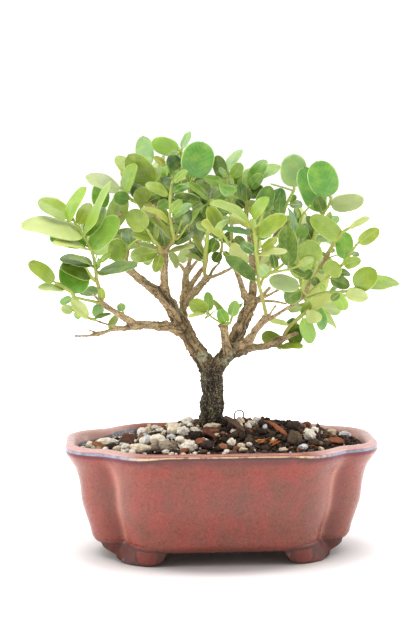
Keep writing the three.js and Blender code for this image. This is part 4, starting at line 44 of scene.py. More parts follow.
# ------------------------------------------------------------------ tables
# middle lines of the wood: x, y, z, radius
WOOD = {
    "trunk": [[1.9,-8.9,66,7.5],[1.9,-8.9,79,9.21],[1.9,-8.9,84.4,8.55],[2.2,-9,92.4,7.62],[2,-9,100.4,7.22],[1.6,-8.9,108.3,7.61],[1.6,-8.9,115,8],[2,-9,120.3,8.25],[2.5,-9,125.5,6.87]],
    "limb_left": [[1.8,-8.9,119.6,6.35],[-3.5,-10,127.1,6.01],[-8.9,-12.4,134.7,5.6],[-13.3,-14.9,141.6,5.19],[-17.2,-16,148.3,4.92],[-21.1,-17.1,155.7,4.65],[-25.1,-18.2,162.3,4.51],[-29,-19.3,168.3,4.38],[-31.8,-19.1,173.5,3.86]],
    "upleft": [[-29.9,-19.2,170.9,3.86],[-35.6,-17.4,174,3.48],[-39.4,-14.3,176.3,3.03],[-43.8,-11.2,179.9,2.85],[-47.5,-8.1,182.9,2.6],[-51.4,-5,185.3,2.47],[-55.2,-3.7,188.5,2.21],[-59.7,-1.4,192.9,1.96],[-63.5,1.9,198.6,1.7],[-64.1,4.9,206.2,1.57],[-61.4,5.7,215.3,1.44],[-56.8,5.4,223.2,1.31]],
    "upleft_fork": [[-53.9,-3.8,187.8,1.69],[-53.6,-4.9,192.5,1.43],[-52.3,-6.4,198.4,1.17]],
    "upright_left": [[-30.6,-19.2,170.2,3.54],[-29.9,-19.2,176.1,2.96],[-29.6,-20.7,182,2.63],[-29.4,-22.1,188.5,2.43],[-29.1,-23.5,193.8,2.3],[-29.1,-24.9,199,2.04]],
    "upright_left_hid": [[-29,-22.1,195,1.92],[-29.5,-12.3,202,1.68],[-31,-2.5,211.7,1.56],[-32.7,2.6,221.9,1.44],[-33.8,5.7,229,1.24]],
    "lowleft": [[-18.9,-17.2,147.6,3.93],[-26.2,-20.9,150.7,3.34],[-32.8,-24.6,151.5,3.07],[-39.3,-28.4,152.3,2.93],[-45.8,-32.1,153.2,2.92],[-51.6,-34.5,153.2,3.22]],
    "lowleft_up": [[-49.7,-34.6,154.1,2.53],[-56,-35.6,158.4,2.15],[-61.1,-36.6,161.8,1.89],[-66.1,-37.6,165.1,1.89],[-69.8,-38.8,167.8,2.01]],
    "lowleft_dn": [[-51.6,-34.5,152.8,2.47],[-54.8,-35.7,151.7,2.03],[-58.6,-36.8,151.6,1.64],[-63.7,-37.8,150.8,1.2],[-68.1,-40.3,149.9,1.2],[-72.5,-41.4,148.8,1.7],[-77.5,-43.8,148.2,0.88],[-82.5,-46.2,148.2,0.75],[-86.8,-48.7,148.6,0.93]],
    "lowleft_stub": [[-72.5,-41.4,148.8,1.01],[-75.6,-42.5,150.7,0.69],[-78.4,-43.7,151.2,0.88]],
    "lowleft_twig": [[-58.6,-36.8,152.2,1.07],[-64.9,-39.1,154.1,0.82],[-69.3,-40.2,155.6,0.75],[-73.7,-42.7,157.5,0.82]],
    "upsub_stub": [[-69.8,-38.8,167.8,1.26],[-71.7,-41.4,170.3,1.13],[-74.2,-44,173.1,1],[-77.3,-45.2,176,0.87]],
    "central": [[-14.1,-13.4,146.7,3.57],[-16.4,-7.6,151.9,3.13],[-16.5,-3.6,158,2.75],[-15.9,0.4,164.2,2.82],[-15.4,2.4,170.6,2.43],[-14.7,4.3,177,2.17],[-14.2,6.3,182.8,2.11]],
    "central_l": [[-14.2,6.3,182.1,1.45],[-16.8,6.5,186.8,1.19],[-19.4,7.7,189.3,1.06],[-22.6,8.9,191.9,0.92]],
    "central_u": [[-14.2,6.3,181.5,1.71],[-12.4,8.1,188.6,1.06],[-11.3,10.1,194.4,0.99],[-11.2,12.1,204.2,0.93],[-12.6,10.2,214.9,0.86],[-13.5,6.2,225.6,0.79]],
    "central_r": [[-14.2,6.3,181.5,1.59],[-10.2,7,186.7,1.32],[-6.8,8.7,190.5,1.19]],
    "central_rb": [[-15.3,-0.7,163,2.76],[-11.6,-3.9,167.9,2.68],[-7.8,-6.2,173,2.61],[-4,-8.5,178.1,2.48],[-1,-11.5,181.3,2.6]],
    "central_rg": [[-1.6,-11.5,181,1.69],[2.8,-13.2,182.4,1.36],[7.7,-16.4,184.6,1.16],[12.6,-19.6,187.4,1.09],[15.1,-21.2,189.5,1.03]],
    "central_dk": [[-13.3,0.2,164.9,2.1],[-11.1,4,174.4,1.98],[-7.6,5.8,179.5,1.78],[-4.2,7.5,184.3,1.59],[-0.8,9.3,188.4,1.33],[0.7,11.2,200.9,1.06],[0.7,11.2,214.8,0.86],[-0.1,9.2,226.7,0.8]],
    "central_tw": [[-0.2,-10.2,180.9,1.3],[1.9,-8,185.2,1.04],[6.7,-5.3,190.2,0.91]],
    "limb_right": [[1.8,-8.9,119.6,6.22],[8.4,-9.4,126.9,5.76],[12.2,-11.1,132.3,5.49],[14.8,-11.3,136.3,4.96]],
    "upright_right": [[12.8,-11.2,133.7,4.57],[15.4,-11.4,138.3,4.31],[18.8,-10.2,144.3,4.31],[21.4,-9.9,149.9,4.38],[23.4,-9.5,155.1,4.18],[25.4,-8.7,160.2,4.18],[27.2,-7.8,164.1,4.58],[27.5,-7.3,168,3.92]],
    "knot_l": [[26.1,-8.7,164.8,3],[23.4,-9.5,168.9,2.35],[21.6,-10.4,174.2,2.02],[19.5,-11.7,180.2,1.82],[17.1,-12.9,186.2,1.75],[15.7,-14.2,191.5,1.56],[14.9,-15.5,199.4,1.3],[14.5,-16.9,205.9,1.16]],
    "knot_m": [[27.6,-6.8,164,3.07],[28.4,-4.9,169,2.88],[29.4,-2,174,2.62],[29.3,1.1,179,2.04],[29.3,4.1,184.7,1.85],[28.8,6.1,192.5,1.65],[28.2,7.2,201,1.52],[26.9,7.3,210.9,1.39],[26.2,7.3,218.2,1.19]],
    "knot_mr": [[29.2,3.1,183.5,1.58],[36.2,6.6,195.1,1.32],[42.6,5.1,205,1.19],[48.1,1.7,213.8,1.12]],
    "knot_r1": [[28.1,-7.9,164.1,2.09],[31.9,-9.2,166.8,1.76],[35.6,-11.4,170.3,1.3],[39.2,-14.5,175.1,1.23]],
    "knot_r2": [[30.1,-8,165.4,1.44],[34.7,-7.9,167.3,1.18],[38.7,-7.7,168.9,1.05],[46.6,-7.2,173.1,0.92]],
    "knot_r3": [[29.5,-7,165.3,1.57],[36.9,-5.5,165.1,1.11],[43.7,-4,164.5,0.99],[51.8,-2.6,162.7,0.92]],
    "knot_tw": [[24.8,-8.6,166.1,1.04],[22,-10.4,168,0.65],[16.4,-14.2,168.7,0.52],[11.2,-18.1,170.8,0.52]],
    "callus": [[12.6,-14,133.4,4.23],[10.6,-18,137.9,3.37],[9.4,-20,141.4,2.72],[8.9,-22.1,145,2.77],[8.5,-23.5,149,2.51],[7.4,-24.8,152.1,3.09]],
    "midright": [[13.5,-11.2,132.3,3.66],[19.4,-17.3,136.4,3.25],[24,-23.2,141.1,2.84],[27.5,-27.7,146.8,2.63],[31,-30.8,152.3,2.43],[34.8,-33.8,157.5,2.74]],
    "midright_stub": [[35.1,-33.9,158.4,1.28],[36.9,-35.4,159.9,0.89],[38.6,-36.9,163.2,0.83],[40.3,-38.5,165.6,1.02]],
    "midright_r": [[33.8,-33.8,157.1,1.66],[37.7,-34.1,157.1,1.34],[42.1,-34.4,159.7,1.21],[47.2,-34.8,162.9,1.21],[53.5,-35.2,166.8,1.21],[58.4,-35.6,170.9,1.66]],
    "midright_ru": [[58.2,-35.6,170.6,1.53],[61.1,-35.8,177.6,1.27],[63.5,-36,183.4,1.21],[67.5,-34.9,188.4,1.27],[72.1,-33.8,193.4,1.91]],
    "lowright": [[14.9,-9.9,130.8,3.79],[21.6,-8.4,132.9,3.28],[26.9,-7.8,134.7,2.82],[32.3,-7.2,134.9,2.49],[37.6,-6.6,135.4,2.43],[41.5,-6.9,137.1,2.43],[46.1,-7.2,139.1,2.96],[49.9,-8.5,140.9,1.84],[58.1,-11.1,144.8,1.37]],
    "back_l": [[-23.9,-14.1,160.6,3.24],[-26.5,-0.8,165.7,2.49],[-27.2,11.2,172.5,2.32],[-28,23.3,180.1,2.14],[-28.7,35.4,189.2,1.96],[-31,45.6,198.7,1.71],[-34.8,51.9,208.6,1.44],[-38.8,54.2,218.1,1.17]],
    "back_l2": [[-28.8,33.4,187.3,1.49],[-36.7,40,194.3,1.36],[-44.6,46.6,199.4,1.23],[-53.3,51.3,204.6,1.03]],
    "back_l3": [[-29.8,41.5,194.9,1.36],[-24.1,47.1,205.4,1.23],[-19.7,50.8,218.2,1.1],[-18.4,48.7,229.2,0.89]],
    "back_r": [[24.2,-7.6,156.8,2.88],[27.3,3.2,162.9,2.38],[29.8,15.1,169,2.27],[32,26.9,176,2.09],[34.2,38.8,183.8,1.91],[36.6,48.7,194.7,1.65],[38.4,52.5,204.1,1.38]],
    "back_r2": [[32.7,30.9,178.3,1.63],[40.8,36.3,184.6,1.43],[50.8,39.6,189.8,1.3],[60.5,40.9,195.1,1.09]],
    "back_r3": [[36.6,48.6,193.3,1.31],[33.3,50.9,207,1.17],[29.6,48.2,219.5,1.03]],
    "back_c": [[-16,-0.6,161.7,2.23],[-14.2,12.3,168.9,1.86],[-13.3,22.2,175.4,1.81],[-11.9,34.2,182.4,1.69],[-7.8,43.9,191.9,1.57],[-1.8,51.5,201.6,1.38],[2.4,53.2,212.5,1.17]],
    "root_a": [[0,-9.6,88,5.2],[-7.5,-13.3,77.1,4.36],[-14.2,-17.9,70.2,3.52],[-19.9,-23.6,63.9,2.68],[-24.4,-30,58.1,1.84],[-27.7,-37.1,52.5,1]],
    "root_b": [[3.6,-9.7,88,5],[11.1,-14,76.6,4.2],[17.9,-19,69.2,3.4],[23.9,-24.8,62.6,2.6],[28.8,-31.3,56.4,1.8],[32.7,-38.4,50.5,1]],
    "root_c": [[1.6,-10.5,88,4.6],[1,-15.3,77.1,3.88],[0.9,-20.1,70.2,3.16],[1.2,-24.9,63.9,2.44],[1.9,-29.7,58.1,1.72],[3,-34.5,52.5,1]],
    "root_d": [[1.7,-7.4,88,4.8],[1.5,-1.6,77.1,4.04],[2.1,4.2,70.2,3.28],[3.5,9.9,63.9,2.52],[5.6,15.5,58.1,1.76],[8.5,21,52.5,1]],
    "root_e": [[0,-8.4,88,4.4],[-7.2,-5.6,76.6,3.72],[-13.7,-1.7,69.2,3.04],[-19.4,3,62.6,2.36],[-24.2,8.5,56.4,1.68],[-27.8,14.8,50.5,1]],
    "root_f": [[3.7,-8.3,88,4.8],[11,-4.9,77.1,4.04],[17.6,-0.8,70.2,3.28],[23.6,4.1,63.9,2.52],[28.7,9.7,58.1,1.76],[33,15.9,52.5,1]],
}
# green shoots: stems as x, y, z, radius; leaves as where they leave the stem, base
# of the blade, tip, upper side, width, arch, fold, tone, kind
SHOOTS = {
    "far_left_upper": {
        "stems": [[[-69.8,-38.8,168.5,1.32],[-69.8,-38.8,169.3,1.32],[-72,-41.4,179.1,1.19],[-73.2,-42.7,183.6,1.25],[-73.4,-44.1,188.8,1],[-74.3,-45.4,194.5,1],[-75.8,-46.7,200.8,0.93],[-78.3,-48,205.9,0.93],[-80.7,-49.2,210.3,0.87],[-83.1,-47.6,214.6,0.81],[-85.6,-46,218.2,0.81],[-87.7,-44.5,221.6,0.74]], [[-72.9,-42.5,182.7,1],[-74.1,-42.7,182.4,1],[-76.6,-45.3,185.7,0.93],[-79,-49.3,190.2,0.68]]],
        "leaves": [
            [-81,-48.9,210.9,-81.3,-49.4,210.4,-119.2,-45.9,219,0.15,-0.47,0.87,23.4,0.072,0.06,1,0],
            [-87.4,-44.7,221,-89.3,-43.9,222.3,-108.8,-37.2,232.5,0.03,-0.8,0.59,12.9,0.05,0.12,2,0],
            [-87.4,-44.7,221,-90.8,-44.6,220,-79.2,-49.7,240.9,-0.72,-0.64,0.25,11.1,0.08,0.05,0,0],
            [-81.5,-48.6,211.7,-81.3,-49.2,212.2,-64.1,-79.1,244.7,-0.93,-0.21,0.3,18,-0.02,0.07,0,0],
            [-84.4,-46.7,216.3,-83.6,-45.8,217.9,-77,-39.3,230.9,-0.2,-0.83,0.52,9.5,0.053,0.06,2,0],
            [-80.1,-48.9,209.3,-79.1,-48.3,211,-68.1,-41.7,228.5,-0.38,-0.76,0.52,12.1,0.028,0.15,5,0],
            [-75.7,-46.6,200.1,-76.4,-47.1,202.7,-59.9,-49.5,223,-0.46,-0.85,0.27,14.9,-0.004,0.09,8,0],
            [-77.6,-47.6,204.3,-79.6,-47.2,204.9,-101.8,-42.3,210,0.01,-0.7,0.72,13.1,0.051,0.12,3,0],
            [-76.6,-47.1,202.3,-78.9,-48,202.8,-99.5,-61.6,207.5,0.41,-0.33,0.85,10.5,0.088,0.07,1,2],
            [-74.1,-44.8,191.9,-75.8,-43.8,192.3,-95.8,-41.7,196.6,0.14,-0.48,0.87,13,0.027,0.12,5,0],
            [-73.8,-44.5,190.7,-75.8,-44.7,191.5,-90.2,-50.9,197.4,0.41,-0.1,0.9,8,0.059,0.14,1,2],
            [-74.8,-43.6,183.4,-76.9,-43.8,184.2,-95.1,-46.6,191.6,0.37,-0.66,0.65,11.1,0.053,0.16,5,0],
            [-73.4,-43.9,188,-71.5,-45.1,188.4,-48.3,-59.6,193,-0.38,-0.33,0.86,15.6,0.032,0.11,5,0],
            [-70.8,-40,173.8,-72.4,-38.1,173.9,-83,-25.2,174.4,-0.45,-0.4,0.8,9.4,0.049,0.09,5,0],
            [-70.6,-39.7,172.6,-69.8,-39.5,170.1,-70.4,-43.1,178,0.07,-0.91,-0.41,5,0.06,0.1,2,0],
            [-74.4,-45.2,193.8,-70.9,-45.8,194.5,-64.1,-49,200.3,-0.47,-0.88,0.06,3.9,0.06,0.1,0,0],
            [-73.7,-44.4,190.2,-71.6,-44.8,190.7,-71.8,-46.6,197.1,0.03,-0.96,-0.27,2.5,0.06,0.1,0,0],
        ],
    },
    "far_left_lower": {
        "stems": [[[-71.3,-40.9,169.3,1.07],[-71.7,-41.4,168.4,1.07],[-76.1,-43.9,169.9,0.94],[-79.8,-46.4,170.9,0.87],[-83.5,-49,172.1,0.87],[-87.2,-51.5,173.3,0.99],[-89,-52.8,176.6,1.05],[-93.2,-55.3,179.6,1.36],[-97.4,-56.4,182.2,1.17]]],
        "leaves": [
            [-96.9,-56.2,181.9,-99.2,-56.6,183.6,-114.6,-58.5,195.5,0.44,-0.78,0.44,11,0.055,0.08,2,0],
            [-92.7,-55,179.3,-93.8,-55.1,178.1,-108.9,-62,180.1,0.3,-0.39,0.87,9.4,0.068,0.15,1,0],
            [-86.6,-51.1,173.1,-88.8,-50.3,172.5,-96,-45.1,169,-0.64,-0.74,0.2,5.3,0.028,0.1,3,0],
            [-86.6,-51.1,173.1,-87.2,-51,175.4,-87,-37.8,196.4,0.26,-0.82,0.51,19.9,-0.02,0.06,3,0],
        ],
    },
    "left_twig": {
        "stems": [[[-73.8,-42.9,157.6,0.81],[-74.3,-44,158,0.81],[-78.7,-46.5,159.6,0.75],[-83.6,-49,161.4,0.75],[-86.7,-50.1,164.4,0.68]]],
        "leaves": [
            [-86.2,-50,164,-88.1,-50.6,164.6,-95.2,-52.8,166.7,0.31,-0.95,0.03,6.2,0.074,0.1,1,0],
            [-77.1,-45.5,159,-78.4,-46.5,160.2,-89.6,-53.9,171.1,0.71,-0.63,0.3,9.7,0.029,0.12,1,0],
            [-74.9,-44.4,158.2,-73.1,-43,159.1,-71.7,-38.6,167.4,0.07,-0.88,0.46,7.5,0.032,0.15,7,0],
            [-76.4,-45.1,158.8,-74.6,-45.9,159.3,-64.3,-49.6,162.3,-0.37,-0.32,0.87,5.6,0.033,0.05,5,2],
            [-84.1,-49.2,161.9,-83.6,-48.1,159.8,-87.4,-45.3,162.6,-0.67,-0.73,-0.16,4,0.032,0.09,3,0],
        ],
    },
    "left_knob": {
        "stems": [[[-56.9,-35.2,159.5,0.82],[-56.6,-34.1,160.2,0.82],[-56.6,-34.1,161.1,0.76]]],
        "leaves": [
            [-56.6,-34.1,160.7,-57,-33.5,162.3,-58.1,-31.7,167.2,-0.06,-0.94,0.32,5.7,0.048,0.15,7,0],
            [-56.6,-34.1,160.7,-59.1,-32.4,161,-63.5,-24.4,149.8,-0.67,0.45,0.59,10.7,0.062,0.09,7,0],
        ],
    },
    "left_inner": {
        "stems": [[[-52.5,-6.3,198.8,1.17],[-52.6,-6.3,199.1,1.17],[-49.4,-8,203.4,0.91],[-46.2,-9.6,205.8,0.78],[-43,-11.3,206.5,0.71]]],
        "leaves": [
            [-51.5,-6.9,200.6,-53.7,-7.3,200.2,-65.6,-9.3,198.1,0.15,-0.98,0.1,15.5,0.021,0.07,2,0],
            [-50.9,-7.2,201.3,-51.1,-5.7,202.9,-52.3,3.3,212.8,-0.1,-0.74,0.66,10.4,0.08,0.1,5,0],
            [-45,-10.2,206,-43.8,-9.1,207.1,-38.2,-3.8,212.5,0.35,-0.82,0.45,6.5,0.061,0.06,5,0],
        ],
    },
    "left_heart": {
        "stems": [[[-29.6,-25.4,199.2,1.4],[-31.5,-27.5,199.8,1.4],[-34.1,-30.2,203.9,1.27],[-37.1,-32.8,207.2,1.14],[-40.6,-35.3,213.1,0.88]]],
        "leaves": [
            [-40.2,-35.1,212.5,-42.1,-35.6,214.5,-53.1,-37.8,225.5,0.11,-0.99,-0.09,13.2,0.022,0.14,2,0],
            [-35.5,-31.3,205.2,-35.2,-30.6,207.6,-34.6,-27.9,217.7,-0.78,-0.59,0.21,5.8,0.055,0.08,2,0],
            [-36.7,-32.4,206.7,-38.9,-32.8,207.6,-51.3,-34.9,211.8,0.33,-0.73,0.61,7.4,0.039,0.06,2,0],
            [-32.2,-28.3,200.9,-34.5,-29.1,201.6,-45.6,-33,204.7,0.39,-0.44,0.81,6.1,0.03,0.05,1,2],
            [-31.8,-27.9,200.3,-34,-27,199.5,-51.4,-19,195.4,-0.42,-0.91,0,10.2,0.087,0.1,2,0],
            [-31.8,-27.9,200.3,-32.3,-27.9,197.4,-36.1,-29.5,186.6,-0.02,-0.99,0.15,7,0.028,0.13,2,0],
            [-32.6,-28.6,201.3,-33.5,-27.3,203.4,-42.1,-20.4,219.3,0.49,-0.67,0.55,11.4,0.019,0.06,5,0],
        ],
    },
    "heart_top": {
        "stems": [[[-29.2,-25.5,199.4,1.66],[-29.2,-26.3,200.1,1.66],[-27,-27.9,203,1.4],[-25.2,-29.4,205.7,1.33],[-24,-30.9,208.3,1.33],[-25.4,-33.6,213.5,1.14],[-26.4,-34.9,218.6,0.94],[-27,-34.9,223.1,0.82]], [[-24,-30.9,208.3,1.01],[-23.4,-31,208.3,1.01],[-21.4,-29.7,212.6,0.76],[-19.4,-28.4,217.6,0.63]], [[-23.4,-31,208.3,0.89],[-22.1,-31,207.7,0.89],[-18.9,-31.3,211.5,0.76],[-16.4,-31.5,215.3,0.63]], [[-27,-34.9,223.1,0.82],[-26.4,-29.3,224.7,0.82],[-26,-20.9,230,0.89],[-25.4,-15.4,234.9,0.9],[-24.9,-12.6,239.3,0.84],[-24.2,-12.6,242.5,0.71]]],
        "leaves": [
            [-26.1,-34.6,217.4,-28.1,-34.2,218.3,-45.1,-30.9,226.7,0.37,-0.32,0.87,10.8,0.12,0.12,9,0],
            [-24.9,-30.1,206.8,-26.4,-30.3,208.5,-38.2,-32.5,221.1,0.69,-0.43,0.58,8.7,0.074,0.05,9,2],
            [-26.9,-34.2,223.2,-25.9,-35.7,224.5,-19.7,-40,232.7,-0.3,-0.92,-0.27,6.3,0.068,0.07,0,0],
            [-28.6,-26.8,201,-27,-26.9,199.8,-11.3,-35,203.4,-0.35,-0.27,0.9,9,0.026,0.05,1,2],
            [-25.6,-29.5,205.8,-23.3,-29.6,204.4,-11.4,-27,211.2,-0.2,-0.75,0.64,7.8,0.038,0.13,5,0],
            [-21,-29.5,213.9,-20.3,-28.4,215.3,-15.1,-16.8,227.3,0.26,-0.74,0.62,12.7,0.01,0.14,5,0],
            [-26.6,-34.9,220.5,-24.9,-34.6,221.6,-12.6,-32.5,229.8,-0.36,-0.62,0.7,8.4,0.06,0.07,3,0],
            [-28.9,-26.6,200.6,-29.3,-24.8,202.7,-31.5,-14.8,215,-0.15,-0.78,0.6,10.9,0.039,0.08,5,0],
            [-28.9,-26.6,200.6,-27,-26.5,198.5,-21.5,-20,188.3,0.79,-0.61,0.03,7.4,0.079,0.15,1,0],
            [-24.4,-12.6,241.8,-23,-13.6,243.5,-14.7,-20.3,250.3,-0.74,-0.58,0.34,7,0.03,0.1,0,0],
            [-25.4,-16.1,234.3,-27.3,-16.6,235.1,-41.6,-19.8,241.8,0.43,-0.68,0.6,9.6,0.081,0.12,2,0],
            [-25.3,-15,235.6,-23.4,-14.7,236.5,-13.4,-13.5,241.2,-0.19,-0.78,0.59,6.3,0.06,0.08,3,0],
            [-25.6,-17.4,233.1,-23.6,-17.9,232.8,-6.9,-22.3,230.7,-0.21,-0.95,0.24,9.7,0.022,0.06,5,0],
            [-25.7,-18.2,232.5,-27.3,-18.8,231.3,-33.7,-21,226.9,0.2,-0.96,0.21,6.4,0.053,0.12,4,0],
        ],
    },
    "heart_right": {
        "stems": [[[-2,-12.2,181.7,1.43],[-3.4,-14.2,184.5,1.29],[-3.6,-21.2,192.2,1.41],[-3.4,-26.8,200.3,1.53],[-3,-31,206.9,1.33],[-2.8,-32.5,211.5,1.14]]],
        "leaves": [
            [-2.9,-32.3,210.8,-2.6,-30.1,211.6,-0.4,-12.8,218,0.08,-0.36,0.93,16,0.04,0.1,2,0],
            [-3.5,-23.5,195.5,-4.9,-23.9,197.7,-12.9,-22.2,211,0.73,-0.47,0.49,8.1,0.037,0.13,9,2],
            [-3.5,-23.5,195.6,-2.5,-24.3,197.9,2,-27.4,208,-0.7,-0.7,0.09,6.4,0.022,0.06,3,0],
            [-3.6,-20.7,191.7,-4.9,-19.7,193.9,-12.6,-11.3,203.8,0,-0.76,0.65,8.5,0.044,0.08,5,0],
            [-3.6,-20.7,191.7,-5.9,-20.3,193,-16.2,-23,196.4,0.39,-0.57,0.72,5.4,0.117,0.13,1,2],
        ],
    },
    "crown_left_low": {
        "stems": [[[-33.8,5.7,229.6,1.18],[-39.1,4.1,228.4,1.11],[-44.4,3.5,229.1,0.98],[-49,2.8,230.4,0.98],[-52.8,3.1,233.7,0.85],[-56.7,3.4,235.6,0.72]]],
        "leaves": [
            [-54.7,3.2,234.6,-54,2.7,236.4,-47.5,2.7,254.9,-0.66,-0.72,0.23,11.6,0.051,0.12,0,0],
            [-56.1,3.3,235.3,-58.4,3.9,236.4,-79.4,9.7,246.6,0.15,-0.69,0.71,13.5,0.062,0.14,10,0],
            [-47.1,3.1,230,-46.9,4,231.9,-45.4,7.4,241.7,0.04,-0.95,0.32,9.2,0.12,0.07,5,0],
            [-49.7,2.9,231.1,-51.8,2.4,231.4,-61.6,0,233.5,0.2,-0.96,-0.17,9.8,0.111,0.07,3,0],
            [-37.9,4.5,228.7,-39.4,3.6,230.2,-47.1,-0.6,237.7,0.27,-0.93,-0.25,12.4,0.074,0.13,2,0],
            [-41,3.9,228.8,-39.2,4.6,229.6,-31.2,5.8,233.5,0.03,-0.97,0.22,5.9,0.109,0.09,5,0],
        ],
    },
    "crown_left_top": {
        "stems": [[[-33.9,6.1,229.2,1.12],[-34.4,7.8,230.2,1.12],[-35,9.8,236,0.99],[-37.5,11,239.9,0.92],[-40.8,11.2,241.9,0.85],[-46,11.6,245.2,0.72]]],
        "leaves": [
            [-38.1,11,240.3,-36.2,10.9,241.9,-51.8,7,260.3,-0.07,-0.96,-0.26,17.7,0.102,0.16,2,0],
            [-45.4,11.6,244.8,-47.2,12.4,246.4,-59.2,20.7,259.4,0.05,-0.82,0.57,10.9,0.029,0.08,2,0],
            [-45.3,11.6,244.7,-40.1,11.2,253,-41,31.3,272.6,-0.06,-0.7,0.71,12.2,-0.019,0.06,3,0],
            [-35.6,10.1,236.9,-35,11,238.8,-28.3,25.1,259.6,-0.89,-0.19,0.41,13.4,-0.009,0.12,2,0],
        ],
    },
    "crown_mid_top": {
        "stems": [[[-13.5,6.2,225.9,0.85],[-13.5,6.2,226.3,0.85],[-15.9,9.4,234,0.86],[-17,12.5,242.4,0.79],[-17.2,14.5,252.9,0.73],[-16.8,15.5,262.7,0.66]]],
        "leaves": [
            [-16.9,15.4,262.1,-18.6,15.4,263.3,-36.1,18.2,268.7,-0.13,-0.99,0.08,11.9,0.011,0.12,8,0],
            [-16.9,15.4,262.1,-16,15.9,264.4,-10.7,18.5,275.5,-0.62,-0.64,0.45,7.1,0.041,0.06,7,0],
            [-16.9,15.4,262.1,-18.4,14.7,261.3,-25.6,11.5,257.6,-0.31,0.93,-0.2,6.6,0.039,0.09,7,1],
            [-17.2,14,250.3,-18.3,13,251.5,-25.2,6.5,259.6,0.31,-0.85,-0.42,10.5,0.075,0.06,6,0],
            [-15.7,9.2,233.4,-17.4,10.3,235.2,-29.1,18.2,245.1,0.09,-0.72,0.69,9.5,0.02,0.11,5,0],
            [-17.2,14.6,253.6,-27.5,14.5,253.6,-35.3,7.8,258.9,0.65,-0.76,-0.01,4.9,0.06,0.1,9,0],
        ],
    },
    "crown_big_round": {
        "stems": [[[-13.4,6,225.8,0.85],[-12.9,4.2,227,0.85],[-12.5,1.1,233.6,0.91],[-11.6,-0.9,239.6,0.91],[-10.7,-2,244.1,0.84]]],
        "leaves": [
            [-10.8,-1.8,243.5,-10.1,-1.9,246.1,-3.4,-0.2,268.7,-0.05,-1,0.09,21.4,0.078,0.15,4,0],
            [-11.4,-0.8,240.2,-11.8,-0.3,242.1,-13.6,3.7,251.8,0.36,-0.84,0.41,5.9,0.062,0.06,8,0],
            [-10.9,-1.6,242.9,-9,-1.1,243,3.4,3,244,0.2,-0.74,0.64,7.3,0.068,0.13,5,0],
            [-11.8,-0.1,237.6,-10,0.5,237.1,-1.8,3.6,234.8,0.34,-0.94,-0.08,5.9,0.029,0.1,5,0],
        ],
    },
    "crown_centre": {
        "stems": [[[-0.1,9.2,227,0.86],[-0.1,9.2,227.4,0.86],[1,-2.9,230.5,0.91],[2.2,-11.8,231.5,0.77]]],
        "leaves": [
            [1.7,-8.2,231.1,3.4,-8.9,232.1,12.5,-11,237.6,-0.23,-0.97,0.01,8.4,0.07,0.14,0,0],
            [0.9,-2.2,230.3,-0.6,-3.4,231.8,-13.8,-9.2,242.1,0.64,-0.58,0.5,8.5,0.054,0.13,0,2],
            [0.8,-1.4,230.1,-0.5,-2,228.6,-11.8,-8.6,215.7,-0.69,-0.19,0.7,8.9,0.12,0.13,0,2],
            [0.7,0.5,229.6,1.3,2,231,5.4,11.7,239.8,-0.46,-0.49,0.75,7.7,0.036,0.14,5,0],
            [0.8,-0.9,230,0.1,-1.7,228.2,-3,-3.8,219.9,0.14,-0.97,0.19,5.2,0,0.07,0,0],
        ],
    },
    "crown_right_top": {
        "stems": [[[14.3,-17.2,206.2,1.16],[13.7,-18.2,207.3,1.16],[13.9,-15.5,217.5,1.16],[13.8,-9.8,226.2,1.1],[12.5,-5.7,234.5,0.97],[11.8,-2.7,241.5,0.98],[12.8,-1.7,245.4,0.85],[14.1,-1.8,246.7,0.78]]],
        "leaves": [
            [12.5,-2,244.2,10.2,-1.9,244.7,5.5,-0.7,259.9,-0.25,-0.97,0,9.4,-0.007,0.1,5,0],
            [13.6,-1.8,246.2,12.8,-1.7,250.6,22.4,8.5,263.6,-0.42,-0.54,0.73,9.2,0.052,0.12,7,0],
            [13.6,-1.8,246.2,16.1,-2,246,20.8,-5.2,255.1,-0.08,-0.95,-0.3,8.4,0.035,0.08,0,0],
            [13.3,-1.8,245.9,11.9,-2.8,246.9,6.2,-12.1,251.9,0.84,-0.54,-0.04,4.6,-0.02,0.09,7,0],
            [11.9,-2.5,242.2,11.7,-4.4,241.3,10,-22,234,0.22,-0.39,0.89,11,0.091,0.08,3,0],
            [11.8,-3,240.9,9.7,-3,242,-3.2,-7.7,245.3,0.4,-0.84,0.36,7.4,0.029,0.1,8,0],
            [13.8,-12.6,221.8,12.2,-11.3,222.7,5.9,-6.3,226.1,-0.51,-0.82,0.27,6.5,0.053,0.12,3,0],
            [13.9,-15.1,218,15.6,-14.3,218.6,23.3,-9.2,223.6,0.31,-0.86,0.41,5.8,0.051,0.08,5,0],
            [13.8,-16.5,213.7,12.1,-14.9,213.8,4.5,-7.7,214.5,-0.65,-0.72,0.23,5.9,0.079,0.06,5,0],
        ],
    },
    "centre_dark": {
        "stems": [[[6.7,-5,190.4,0.91],[6.8,-4.3,190.8,0.91],[7.9,-6.4,197.5,0.85],[8.4,-8.4,202.8,0.78],[6.9,-10.7,206.9,0.71]]],
        "leaves": [
            [7.3,-10,205.7,5.9,-10.7,204.6,-1.2,-14,199.4,0.22,-0.93,0.3,8.4,0.039,0.11,2,0],
            [7.8,-7,198.8,6.9,-7.3,197.1,3.1,-8.8,191.2,0.02,-0.97,0.23,7.2,0.022,0.07,5,0],
            [8.2,-8.8,203.4,9.6,-7.7,204.2,15.3,-4.3,210.3,0.17,-0.92,0.35,5.9,0.068,0.14,5,0],
            [7.3,-10,205.7,6.5,-8.8,206.9,2.3,-2.7,212.9,-0.39,-0.77,0.5,5.9,0.058,0.15,5,0],
            [7.8,-7,198.8,9.4,-7.8,197.6,14.1,-10.8,193.8,-0.34,-0.89,0.29,3.9,0.065,0.08,2,2],
        ],
    },
    "crown_right_mid": {
